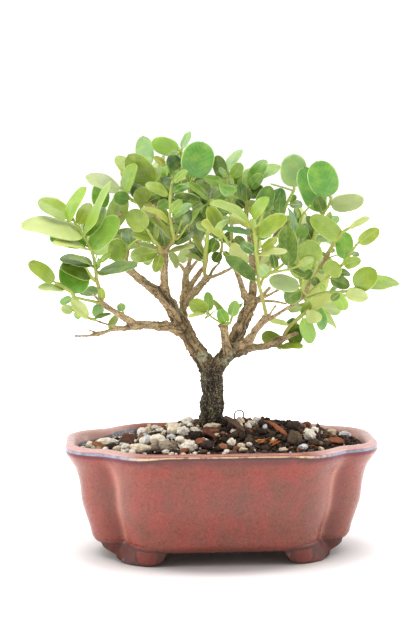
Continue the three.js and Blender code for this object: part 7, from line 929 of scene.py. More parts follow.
# ------------------------------------------------------------------ materials
class Paint:
    def __init__(self, name, rough=0.5, **sockets):
        self.m = bpy.data.materials.new(name)
        self.m.use_nodes = True
        self.t = self.m.node_tree
        self.t.nodes.clear()
        out = self.t.nodes.new("ShaderNodeOutputMaterial")
        self.b = self.t.nodes.new("ShaderNodeBsdfPrincipled")
        self.t.links.new(self.b.outputs[0], out.inputs[0])
        self.b.inputs["Roughness"].default_value = rough
        for k, v in sockets.items():
            self.b.inputs[k.replace("_", " ")].default_value = v

    def put(self, socket, value):
        if isinstance(value, bpy.types.NodeSocket):
            self.t.links.new(value, socket)
        elif hasattr(value, "__len__"):
            v = list(value)
            socket.default_value = v + [1.0] * (len(socket.default_value) - len(v))
        else:
            socket.default_value = value

    def attr(self, name, out="Vector"):
        n = self.t.nodes.new("ShaderNodeAttribute")
        n.attribute_name = name
        return n.outputs[out]

    def split(self, v):
        n = self.t.nodes.new("ShaderNodeSeparateXYZ")
        self.put(n.inputs[0], v)
        return n.outputs[0], n.outputs[1], n.outputs[2]

    def where(self, scale=(1, 1, 1)):
        n = self.t.nodes.new("ShaderNodeTexCoord")
        if scale == (1, 1, 1):
            return n.outputs["Object"]
        m = self.t.nodes.new("ShaderNodeMapping")
        self.put(m.inputs["Vector"], n.outputs["Object"])
        m.inputs["Scale"].default_value = scale
        return m.outputs[0]

    def noise(self, scale, detail=3, rough=0.55, at=None, distort=0.0):
        n = self.t.nodes.new("ShaderNodeTexNoise")
        self.put(n.inputs["Vector"], self.where() if at is None else at)
        n.inputs["Scale"].default_value = scale
        n.inputs["Detail"].default_value = detail
        n.inputs["Roughness"].default_value = rough
        n.inputs["Distortion"].default_value = distort
        return n.outputs["Fac"]

    def cells(self, scale, at=None, feature="F1", rand=1.0):
        n = self.t.nodes.new("ShaderNodeTexVoronoi")
        n.feature = feature
        self.put(n.inputs["Vector"], self.where() if at is None else at)
        n.inputs["Scale"].default_value = scale
        n.inputs["Randomness"].default_value = rand
        return n.outputs["Distance"]

    def math(self, op, a, b=0.0, clamp=False):
        n = self.t.nodes.new("ShaderNodeMath")
        n.operation = op
        n.use_clamp = clamp
        self.put(n.inputs[0], a)
        self.put(n.inputs[1], b)
        return n.outputs[0]

    def range(self, v, a, b, lo=0.0, hi=1.0):
        n = self.t.nodes.new("ShaderNodeMapRange")
        n.interpolation_type = "SMOOTHSTEP"
        self.put(n.inputs["Value"], v)
        for k, x in (("From Min", a), ("From Max", b), ("To Min", lo), ("To Max", hi)):
            n.inputs[k].default_value = x
        return n.outputs["Result"]

    def mix(self, f, a, b, blend="MIX"):
        n = self.t.nodes.new("ShaderNodeMix")
        n.data_type = "RGBA"
        n.blend_type = blend
        self.put(n.inputs[0], f)
        self.put(n.inputs[6], a)
        self.put(n.inputs[7], b)
        return n.outputs[2]

    def bump(self, height, distance, strength=1.0, under=None):
        n = self.t.nodes.new("ShaderNodeBump")
        n.inputs["Strength"].default_value = strength
        n.inputs["Distance"].default_value = distance
        self.put(n.inputs["Height"], height)
        if under is not None:
            self.put(n.inputs["Normal"], under)
        return n.outputs[0]

    def colour(self, v):
        self.put(self.b.inputs["Base Color"], v)

    def rough(self, v):
        self.put(self.b.inputs["Roughness"], v)

    def normal(self, v):
        self.put(self.b.inputs["Normal"], v)


def leaf_paint(name, under):
    p = Paint(name, 0.5, Specular_IOR_Level=0.35 if under else 0.5)
    tint = p.attr("tint", "Color")
    u, s, mid = p.split(p.attr("lv"))
    # faint side veins that leave the midrib at an angle
    line = p.math("SUBTRACT", p.math("MULTIPLY", u, 46.0), p.math("MULTIPLY", p.math("ABSOLUTE", s), 17.0))
    wave = p.math("SINE", line)
    vein = p.range(wave, 0.55, 1.0)
    base = tint
    blotch = p.noise(170, 3, 0.6)
    base = p.mix(p.range(blotch, 0.35, 0.75, 0.0, 0.32), base, srgb("#b9cf57") if not under else srgb("#c9d68f"))
    base = p.mix(p.range(p.noise(60, 2, 0.5), 0.4, 0.7, 0.0, 0.22), base, srgb("#3f6d12") if not under else srgb("#8fa85a"))
    base = p.mix(p.math("MULTIPLY", vein, 0.055 if not under else 0.09), base, srgb("#d5e29a"))
    rib = p.range(mid, 0.34, 0.10)
    rib = p.math("MULTIPLY", rib, p.range(u, 0.95, 0.15, 0.35, 1.0))
    base = p.mix(p.math("MULTIPLY", rib, 0.42 if not under else 0.50), base, srgb("#d6e196"))
    edge = p.range(p.math("ABSOLUTE", s), 0.90, 0.98)
    base = p.mix(p.math("MULTIPLY", edge, 0.55), base, srgb("#cfdc86"))
    p.colour(base)
    if under:
        p.rough(p.range(blotch, 0.2, 0.8, 0.5, 0.66))
    else:
        p.rough(p.range(blotch, 0.2, 0.8, 0.27, 0.42))
    fine = p.noise(900, 2, 0.5)
    b1 = p.bump(p.math("ADD", p.math("MULTIPLY", vein, -0.35), p.math("MULTIPLY", fine, 0.6)), 0.00009, 0.3)
    p.normal(b1)
    return p.m


def shoot_paint():
    p = Paint("shoot_skin", 0.55, Specular_IOR_Level=0.4)
    tint = p.attr("tint", "Color")
    base = p.mix(p.range(p.noise(520, 3, 0.6), 0.35, 0.75, 0.0, 0.45), tint, srgb("#7f7a4a"))
    base = p.mix(p.range(p.cells(900), 0.28, 0.12, 0.0, 0.35), base, srgb("#c9c79a"))
    p.colour(base)
    p.normal(p.bump(p.noise(1500, 3, 0.6), 0.00012, 0.6))
    return p.m


def bark_paint():
    p = Paint("bark", 0.88, Specular_IOR_Level=0.25)
    tint = p.attr("tint", "Color")
    furrow_shade, moss, lich = p.split(p.attr("bk"))
    flow = p.attr("flow")
    streak = p.noise(520, 4, 0.62, at=flow)
    grain = p.noise(1500, 3, 0.6, at=flow)
    patch = p.noise(150, 3, 0.6)
    base = p.mix(p.range(streak, 0.36, 0.68, 0.0, 0.62), tint, p.mix(0.5, tint, (0.012, 0.009, 0.006)))
    base = p.mix(p.range(grain, 0.50, 0.68, 0.0, 0.60), base, p.mix(0.55, tint, srgb("#d2bd95")))
    base = p.mix(p.range(grain, 0.46, 0.32, 0.0, 0.60), base, p.mix(0.75, tint, (0.012, 0.009, 0.006)))
    base = p.mix(p.range(patch, 0.5, 0.75, 0.0, 0.35), base, p.mix(0.5, tint, srgb("#8f8768")))
    speck = p.noise(1150, 3, 0.7)
    base = p.mix(p.range(speck, 0.54, 0.66, 0.0, 0.85), base, p.mix(0.66, tint, srgb("#e2d2ae")))
    base = p.mix(p.range(speck, 0.47, 0.35, 0.0, 0.82), base, p.mix(0.85, tint, (0.008, 0.006, 0.005)))
    # painted shade: the furrows and hollows of the bark are darkened almost to black
    base = p.mix(p.math("MULTIPLY", furrow_shade, 0.85), base, (0.016, 0.011, 0.008))
    lm = p.math("MULTIPLY", lich, p.range(p.noise(420, 4, 0.7), 0.38, 0.62), True)
    base = p.mix(lm, base, p.mix(p.noise(900, 2), srgb("#8b9273"), srgb("#c3c6a8")))
    mm = p.math("MULTIPLY", moss, p.range(p.noise(700, 4, 0.7), 0.42, 0.6), True)
    base = p.mix(mm, base, p.mix(p.noise(1300, 2), srgb("#3c4c18"), srgb("#86a03c")))
    p.colour(base)
    h = p.math("ADD", p.math("ADD", p.math("MULTIPLY", streak, 0.8), p.math("MULTIPLY", grain, 0.4)), p.math("MULTIPLY", speck, 0.7))
    p.normal(p.bump(h, 0.0009, 1.0))
    return p.m


def glaze_paint():
    p = Paint("pot_glaze", 0.3, Specular_IOR_Level=0.4, Coat_Weight=0.35, Coat_Roughness=0.12)
    edge, top, wall = p.split(p.attr("ga"))  # rim's edge, top of the rim, inner wall
    under, foot, low = p.split(p.attr("gb"))  # just below the edge, feet, lower edge line
    lip_shadow, valley_shade, _ = p.split(p.attr("gd"))  # painted shadow in a dark crimson line under the lip; painted shade in the valley between lobes
    end, groove, bare = p.split(p.attr("gc"))  # towards the ends; painted highlight on the front lobe's shoulder beside each valley, and on the feet the sunk panel; unglazed underside
    red = srgb("#903427")
    rust = srgb("#803a28")
    brown = srgb("#6a3a29")
    big = p.noise(22, 3, 0.55, distort=0.4)
    mid = p.noise(75, 4, 0.6, at=p.where((1, 1, 0.6)))
    fine = p.noise(420, 4, 0.65)
    dots = p.noise(1500, 2, 0.6)
    body = p.mix(p.range(mid, 0.35, 0.68), red, rust)
    shade = p.math("ADD", p.math("MULTIPLY", big, 0.75), p.math("MULTIPLY", mid, 0.35))
    body = p.mix(p.range(shade, 0.50, 0.72, 0.0, 0.72), body, brown)
    grain = p.noise(1050, 3, 0.7)
    body = p.mix(p.range(grain, 0.52, 0.68, 0.0, 0.55), body, srgb("#b45c49"))
    body = p.mix(p.range(grain, 0.48, 0.32, 0.0, 0.62), body, srgb("#53281f"))
    body = p.mix(p.range(fine, 0.45, 0.75, 0.0, 0.34), body, srgb("#a05444"))
    body = p.mix(p.range(fine, 0.44, 0.26, 0.0, 0.5), body, srgb("#562720"))
    body = p.mix(p.range(dots, 0.66, 0.78, 0.0, 0.40), body, srgb("#b87766"))
    body = p.mix(p.range(dots, 0.34, 0.24, 0.0, 0.5), body, srgb("#46322b"))
    spots = p.cells(210)
    body = p.mix(p.range(spots, 0.10, 0.05, 0.0, 0.55), body, srgb("#3a231e"))
    # painted highlight on the front lobe's shoulder
    body = p.mix(p.math("MULTIPLY", groove, 0.46), body, srgb("#cf9480"))
    # painted shade in the valley between the lobes
    body = p.mix(p.math("MULTIPLY", valley_shade, 0.42), body, srgb("#5c241d"))
    body = p.mix(p.math("MULTIPLY", end, 0.08), body, srgb("#ba7466"))
    body = p.mix(p.math("MULTIPLY", under, p.range(mid, 0.3, 0.55, 0.55, 1.0)), body, p.mix(end, srgb("#6a2822"), srgb("#7c1a28")))
    # painted shadow: a dark crimson line just under the glaze line at the lip
    body = p.mix(p.math("MULTIPLY", lip_shadow, 0.8), body, p.mix(end, srgb("#3f1a18"), srgb("#5e1424")))
    body = p.mix(p.math("MULTIPLY", low, 0.6), body, srgb("#5a3a31"))
    fbody = p.mix(p.range(p.noise(210, 4, 0.65), 0.36, 0.66), srgb("#672d25"), srgb("#4c3128"))
    fbody = p.mix(p.range(p.noise(300, 3, 0.6), 0.66, 0.72, 0.0, 0.7), fbody, srgb("#7d8698"))
    fbody = p.mix(p.math("MULTIPLY", groove, 0.85), fbody, p.mix(p.range(mid, 0.35, 0.65), srgb("#85372b"), srgb("#6e3127")))
    fbody = p.mix(p.range(fine, 0.48, 0.28, 0.0, 0.75), fbody, srgb("#2e1e1a"))
    body = p.mix(foot, body, fbody)
    lip = p.mix(p.range(mid, 0.3, 0.7), srgb("#a2655a"), srgb("#965349"))
    lip = p.mix(p.range(fine, 0.5, 0.75, 0.0, 0.35), lip, srgb("#cf9f94"))
    lip = p.mix(p.math("MULTIPLY", end, 0.8), lip, srgb("#d4a9a2"))
    body = p.mix(top, body, lip)
    inner = p.mix(p.range(fine, 0.35, 0.65), srgb("#43434b"), srgb("#7d8296"))
    inner = p.mix(p.range(p.noise(120, 3, 0.6), 0.5, 0.7, 0.0, 0.7), inner, srgb("#35302f"))
    body = p.mix(wall, body, inner)
    milky = p.mix(p.range(p.noise(260, 3, 0.6), 0.35, 0.65), srgb("#717990"), srgb("#9ba3b8"))
    milky = p.mix(p.range(p.noise(520, 3, 0.6), 0.55, 0.75, 0.0, 0.6), milky, srgb("#8a5a58"))
    cream = p.mix(p.range(p.noise(260, 2, 0.5), 0.32, 0.50), srgb("#a0745c"), srgb("#dcc49a"))
    line = p.mix(end, cream, milky)
    body = p.mix(p.math("MULTIPLY", edge, p.range(p.noise(300, 2, 0.5), 0.25, 0.5, 0.8, 1.0), True), body, line)
    body = p.mix(bare, body, p.mix(p.noise(300, 3), srgb("#6b4c3a"), srgb("#86654c")))
    p.colour(body)
    rough = p.math("ADD", p.range(fine, 0.3, 0.7, 0.24, 0.40), p.math("MULTIPLY", foot, 0.3))
    p.put(p.b.inputs["Coat Weight"], p.range(foot, 0.0, 1.0, 0.38, 0.04))
    p.rough(p.math("ADD", rough, p.math("MULTIPLY", bare, 0.45), True))
    h = p.math("ADD", p.math("MULTIPLY", mid, 1.0), p.math("MULTIPLY", fine, 0.28))
    b1 = p.bump(h, 0.0011, 0.5)
    b2 = p.bump(p.range(p.cells(300), 0.10, 0.04), 0.00025, 0.5, under=b1)
    p.normal(b2)
    return p.m


def grit_paint(name, rough, pit, scale):
    p = Paint(name, rough, Specular_IOR_Level=0.3)
    tint = p.attr("tint", "Color")
    n1 = p.noise(scale, 4, 0.65)
    n2 = p.noise(scale * 3.1, 3, 0.6)
    base = p.mix(p.range(n1, 0.40, 0.70, 0.0, 0.55), tint, p.mix(0.55, tint, (0.02, 0.015, 0.01)))
    base = p.mix(p.range(n2, 0.55, 0.8, 0.0, 0.5), base, p.mix(0.5, tint, (0.95, 0.88, 0.74)))
    p.colour(base)
    h = p.math("ADD", n1, p.math("MULTIPLY", p.range(p.cells(scale * 2.4), 0.0, 0.45), pit))
    p.normal(p.bump(h, 0.0006, 0.8))
    return p.m


def earth_paint():
    p = Paint("soil_dark", 0.95, Specular_IOR_Level=0.2)
    n1 = p.noise(260, 5, 0.7)
    n2 = p.noise(900, 3, 0.6)
    base = p.mix(p.range(n1, 0.35, 0.7), srgb("#1d1712"), srgb("#47382b"))
    base = p.mix(p.range(n2, 0.55, 0.75, 0.0, 0.5), base, srgb("#7a6549"))
    base = p.mix(p.range(n2, 0.42, 0.3, 0.0, 0.7), base, srgb("#0e0b09"))
    p.colour(base)
    p.normal(p.bump(p.math("ADD", n1, n2), 0.0014, 1.0))
    return p.m


def mesh_paint():
    p = Paint("drain_mesh_plastic", 0.55)
    n = p.noise(600, 3, 0.6)
    p.colour(p.mix(n, srgb("#141414"), srgb("#2b2c2b")))
    p.rough(p.range(n, 0.3, 0.7, 0.45, 0.65))
    p.normal(p.bump(n, 0.0001, 0.4))
    return p.m


def wire_paint():
    p = Paint("tie_wire", 0.35, Metallic=1.0)
    n = p.noise(800, 3, 0.6)
    p.colour(p.mix(n, srgb("#9c9ea2"), srgb("#d9dadc")))
    p.rough(p.range(n, 0.3, 0.7, 0.28, 0.48))
    p.normal(p.bump(n, 0.00008, 0.4))
    return p.m


# ------------------------------------------------------------------ camera and light
scene = bpy.context.scene
cam = bpy.data.cameras.new("camera")
cam.sensor_fit = "VERTICAL"
cam.sensor_height = 36.0
cam.sensor_width = 36.0
cam.lens = 89.007
cam.clip_start = 0.01
cam.clip_end = 50
co = bpy.data.objects.new("camera", cam)
co.location = (-0.07435, -1.00604, 0.27029)
co.rotation_euler = (math.radians(83.620), 0, math.radians(-4.220))
scene.collection.objects.link(co)
scene.camera = co

world = bpy.data.worlds.new("studio")
scene.world = world
world.use_nodes = True
# white all round behind the plant, dimmer towards the viewer's side
bg = world.node_tree.nodes["Background"]
bg.inputs[0].default_value = (1.0, 1.0, 1.0, 1)
_tc = world.node_tree.nodes.new("ShaderNodeTexCoord")
_sp = world.node_tree.nodes.new("ShaderNodeSeparateXYZ")
_mr = world.node_tree.nodes.new("ShaderNodeMapRange")
_mr.interpolation_type = "SMOOTHSTEP"
for _k, _v in (("From Min", -0.55), ("From Max", 0.55), ("To Min", 0.42), ("To Max", 1.08)):
    _mr.inputs[_k].default_value = _v
world.node_tree.links.new(_tc.outputs["Generated"], _sp.inputs[0])
world.node_tree.links.new(_sp.outputs[1], _mr.inputs["Value"])
world.node_tree.links.new(_mr.outputs["Result"], bg.inputs[1])
scene.view_settings.view_transform = "Standard"
scene.view_settings.look = "None"


def softbox(name, place, aim, size, power, colour=(1, 1, 1)):
    L = bpy.data.lights.new(name, "AREA")
    L.shape = "RECTANGLE"
    L.size, L.size_y = size
    L.energy = power
    L.color = colour
    o = bpy.data.objects.new(name, L)
    o.location = place
    d = Vector(aim) - Vector(place)
    o.rotation_euler = d.to_track_quat("-Z", "Y").to_euler()
    scene.collection.objects.link(o)


softbox("top_light", (-0.1, -0.1, 1.35), (0, 0, 0.1), (1.1, 0.9), 14.0)
softbox("left_light", (-1.3, -0.28, 0.5), (0, 0, 0.1), (0.8, 0.9), 8.0)
softbox("right_light", (1.3, -0.12, 0.5), (0, 0, 0.1), (0.8, 0.9), 7.5)


def stage_floor():
    p = Paint("studio_floor", 0.7, Specular_IOR_Level=0.1)
    n = p.noise(3, 2, 0.5)
        # the floor glows more and more away from the plant, a painted light that lifts the shadows beside and in front
        # of the pot and runs into the white behind
    mid = p.t.nodes.new("ShaderNodeVectorMath")
    mid.operation = "ADD"
    p.put(mid.inputs[0], p.where((1.14, 1.42, 1)))
    mid.inputs[1].default_value = (-0.0088, 0.0133, 0)
    far = p.t.nodes.new("ShaderNodeVectorMath")
    far.operation = "LENGTH"
    p.put(far.inputs[0], mid.outputs[0])
    white = p.mix(n, (0.93, 0.925, 0.915), (0.945, 0.94, 0.93))
    # painted shadow: the floor's colour is dark grey-brown right under the pot
    p.colour(p.mix(p.range(far.outputs["Value"], 0.070, 0.098), p.mix(n, (0.50, 0.455, 0.44), (0.56, 0.51, 0.495)), white))
    glow = p.math("ADD", p.range(far.outputs["Value"], 0.09, 0.155, 0.0, 0.38), p.range(far.outputs["Value"], 0.25, 0.95, 0.0, 0.75))
    p.put(p.b.inputs["Emission Strength"], glow)
    p.b.inputs["Emission Color"].default_value = (1, 1, 1, 1)
    me = bpy.data.meshes.new("floor")
    s = 6.0
    me.from_pydata([(-s, -s, 0), (s, -s, 0), (s, s, 0), (-s, s, 0)], [], [(0, 1, 2, 3)])
    me.materials.append(p.m)
    ob = bpy.data.objects.new("floor", me)
    scene.collection.objects.link(ob)


stage_floor()

# ------------------------------------------------------------------ pot
POT_HALF_LENGTH, POT_HALF_DEPTH = 101.6, 57.8
FRONT_LOBE_HALF, END_LOBE_HALF = 80.1, 36.0
FRONT_LOBE_RADIUS, END_LOBE_RADIUS, LOBE_BLEND, DEPTH_SHARE = 39.9, 23.3, 7.0, 0.8


def reach(ang, hx, hy, r):
    lo = np.zeros_like(ang)
    hi = np.full_like(ang, 300.0)
    c, s = np.cos(ang), np.sin(ang)
    for _ in range(36):
        m = (lo + hi) / 2
        x = np.abs(m * c) - (hx - r)
        y = np.abs(m * s) - (hy - r)
        d = np.hypot(np.maximum(x, 0), np.maximum(y, 0)) + np.minimum(np.maximum(x, y), 0) - r
        hi = np.where(d > 0, m, hi)
        lo = np.where(d > 0, lo, m)
    return lo


def lobed(ang, inset):
    r1 = reach(ang, FRONT_LOBE_HALF - 0.9 * inset, POT_HALF_DEPTH - DEPTH_SHARE * inset, max(FRONT_LOBE_RADIUS - 0.5 * inset, 3.0))
    r2 = reach(ang, POT_HALF_LENGTH - inset, END_LOBE_HALF - 0.9 * inset, max(END_LOBE_RADIUS - 0.5 * inset, 3.0))
    m = np.maximum(r1, r2)
    k = max(LOBE_BLEND - 0.28 * inset, 3.0)
    return m + k * np.log(np.exp((r1 - m) / k) + np.exp((r2 - m) / k)), r1 - r2


def even_angles(n):
    a = np.linspace(0, 2 * math.pi, 2401)
    r, _ = lobed(a, 3.0)
    x, y = r * np.cos(a), r * np.sin(a)
    run = np.r_[0, np.cumsum(np.hypot(np.diff(x), np.diff(y)))]
    return np.interp(np.arange(n) * run[-1] / n, run, a)


WALL_OUT = [(8.7, 40), (8.7, 30), (8.7, 24), (8.9, 21.6), (9.6, 19.7), (10.9, 18.3), (12.6, 17.2), (14.8, 16.4), (20, 15.2), (27, 13.0), (36, 10.4), (47, 9.1),
            (53, 8.1), (57, 7.0), (60, 5.8), (62.7, 4.3), (65.3, 2.7), (67.5, 1.5), (69, 0.7), (70.4, 0.2), (72, 0.0), (73.4, 0.05), (74.2, 0.3), (75.0, 0.95), (75.5, 1.8), (75.75, 2.8)]
WALL_IN = [(75.7, 3.7), (75.3, 4.8), (74.4, 5.9), (73.5, 6.4), (72.6, 6.9), (71, 7.5), (69, 8.2), (62, 10.2), (50, 13.6), (36, 16.4), (24, 20.5), (17.2, 26.5), (15.6, 31), (15.5, 40)]


def profile(rows, n):
    P = np.array([(r[0], r[1], 0, 0) for r in rows], float)
    Q = resample(P, 1.0 if n is None else n)
    return Q[:, :2]


def build_pot():
    n = 420
    ang = even_angles(n)
    out = profile(WALL_OUT, 0.85)
    out = np.vstack([out[out[:, 0] < 69.5], profile([q for q in [(69.6, .35)] + WALL_OUT if q[0] > 69.5], 0.24)])
    inn = profile(WALL_IN, 1.6)
    rows = np.vstack([out, inn])
    split_at = len(out)
    V = []
    ga, gb, gc, gd = [], [], [], []
    for k, (z, inset) in enumerate(rows):
        r, dr = lobed(ang, inset)
        # hand-made waviness and glaze thickness
        x, y = r * np.cos(ang), r * np.sin(ang)
        P = np.stack([x, y, np.full(n, z)], 1)
        w = 0.28 * fbm(P * 0.045, 3, 5) + 0.08 * fbm(P * 0.22, 2, 9)
        fade = 1.0 if 12 < z < 67 else 0.25
        outward = np.stack([np.cos(ang), np.sin(ang), np.zeros(n)], 1)
        P = P + outward * (w * fade)[:, None]
        V.append(P)
        is_in = k >= split_at
        jag = 0.5 * fbm(np.stack([x * 0.25, y * 0.25, np.zeros(n)], 1), 3, 31)
        jag2 = 0.5 * fbm(np.stack([x * 0.07, y * 0.07, np.full(n, z * 0.02)], 1), 2, 47)
        far = smooth(38, 60, np.abs(x) + 8 * jag2)  # the glaze line is broad on the end lobes, thin in front
        line_low = 73.55 - 1.7 * far
        line_top = 74.15 - 0.75 * far
        e = 0.0 if is_in else smooth(line_low - 0.3, line_low + 0.2, z + 0.35 * jag) * smooth(line_top + 0.3, line_top - 0.2, z + 0.3 * jag)
        ends = 3.4 * smooth(66, 86, np.abs(x) + 5 * jag2)
        t = smooth(line_top, line_top + 0.5, z) if not is_in else smooth(72.4 - ends, 73.6 - ends, z)
        wl = np.zeros(n) if not is_in else 1 - smooth(72.4 - ends, 73.6 - ends, z)
        un = np.zeros(n) if is_in else smooth(66.5, 70.5, z + 3.0 * jag) * smooth(line_low + 0.2, line_low - 0.4, z)
        lo = np.zeros(n) if is_in else smooth(13.6, 11.2, z + jag) * smooth(8.8, 9.6, z)
        end = smooth(46, 70, np.abs(x) + 6 * jag)
        # painted highlight in a band along the front lobe's shoulder, beside each valley
        shoulder_highlight = np.exp(-((dr - 9.5) / 5.0) ** 2) * (0 if is_in else smooth(71, 58, z) * smooth(9, 16, z))
        # painted shadow: a thin dark line just under the glaze line at the lip
        lip_shadow_mask = np.zeros(n) if is_in else smooth(line_low - 2.2 - 1.4 * far, line_low - 1.1, z + 0.8 * jag) * smooth(line_low + 0.1, line_low - 0.3, z + 0.3 * jag)
        # painted shade in the valley between the lobes
        valley_shade_mask = np.zeros(n) if is_in else np.exp(-((dr + 3.0) / 7.0) ** 2) * smooth(72, 60, z)
        bare = np.full(n, 1.0 if (not is_in and z < 8.85) else 0.0)
        ga.append(np.stack([e * np.ones(n), t, wl], 1))
        gb.append(np.stack([un, np.zeros(n), lo], 1))
        gc.append(np.stack([end, shoulder_highlight, bare], 1))
        gd.append(np.stack([lip_shadow_mask, valley_shade_mask, np.zeros(n)], 1))
    m = len(rows)
    V = np.vstack(V)
    i, j = np.meshgrid(np.arange(m - 1), np.arange(n), indexing="ij")
    j2 = (j + 1) % n
    q = np.stack([i * n + j, i * n + j2, (i + 1) * n + j2, (i + 1) * n + j], -1).reshape(-1, 4)
    pile = Pile()
    pile.add(V, [q], 0, ga=np.vstack(ga), gb=np.vstack(gb), gc=np.vstack(gc), gd=np.vstack(gd))
    # floor: a flat ring from the lobed edge to a grid with the two round holes
    for z, first, flip, g3 in ((8.7, 0, False, (0, 0, 1.0)), (15.5, (m - 1) * n, True, (0, 0, 0.6))):
        edge = V[first:first + n, :2]
        floor_sheet(pile, edge, z, flip, g3)
    for s in (-1, 1):  # walls of the drainage holes
        a = np.arange(48) * 2 * math.pi / 48
        ring = np.stack([s * 38 + 7.5 * np.cos(a), 7.5 * np.sin(a)], 1)
        W = np.vstack([np.c_[ring, np.full(48, z)] for z in np.linspace(8.7, 15.5, 5)])
        ii, jj = np.meshgrid(np.arange(4), np.arange(48), indexing="ij")
        k2 = (jj + 1) % 48
        f = np.stack([ii * 48 + jj, (ii + 1) * 48 + jj, (ii + 1) * 48 + k2, ii * 48 + k2], -1).reshape(-1, 4)
        pile.add(W, [f], 0, ga=np.zeros(3), gb=np.zeros(3), gc=np.array([0, 0, 1.0]), gd=np.zeros(3))
    for sx in (-1, 1):
        for sy in (-1, 1):
            foot(pile, sx, sy)
    for k in range(len(pile.V)):
        pile.V[k] = pile.V[k] + np.array([POT[0], POT[1], 0])
    return pile


def floor_sheet(pile, edge, z, flip, g3):
    """Fills the lobed edge with a sheet that leaves the two holes open."""
    import bmesh
    bm = bmesh.new()
    outer = [bm.verts.new((x, y, z)) for x, y in edge]
    edges = [bm.edges.new((outer[k], outer[(k + 1) % len(outer)])) for k in range(len(outer))]
    for s in (-1, 1):
        a = np.arange(48) * 2 * math.pi / 48
        ring = [bm.verts.new((s * 38 + 7.5 * math.cos(t), 7.5 * math.sin(t), z)) for t in a]
        edges += [bm.edges.new((ring[k], ring[(k + 1) % 48])) for k in range(48)]
    bmesh.ops.triangle_fill(bm, use_beauty=True, edges=edges)
    bm.verts.ensure_lookup_table()
    bm.verts.index_update()
    V = np.array([v.co[:] for v in bm.verts])
    F = []
    for f in bm.faces:
        idx = [v.index for v in f.verts]
        up = f.normal.z if f.normal.length > 0 else 0
        a, b, c = (V[i] for i in idx)
        nz = np.cross(b - a, c - a)[2]
        want = 1 if flip else -1
        F.append(idx if nz * want > 0 else idx[::-1])
    bm.free()
    pile.add(V, [np.array(F)], 0, ga=np.array([0, 0, 1.0 if flip else 0.0]), gb=np.zeros(3), gc=np.array([0, 0, g3[2]]), gd=np.zeros(3))


FOOT_LINE = [(81, 9.5), (77.5, 18.5), (70.5, 27), (62.5, 34), (56.5, 38), (50.4, 40.5), (43.7, 41.3), (37, 41.3)]


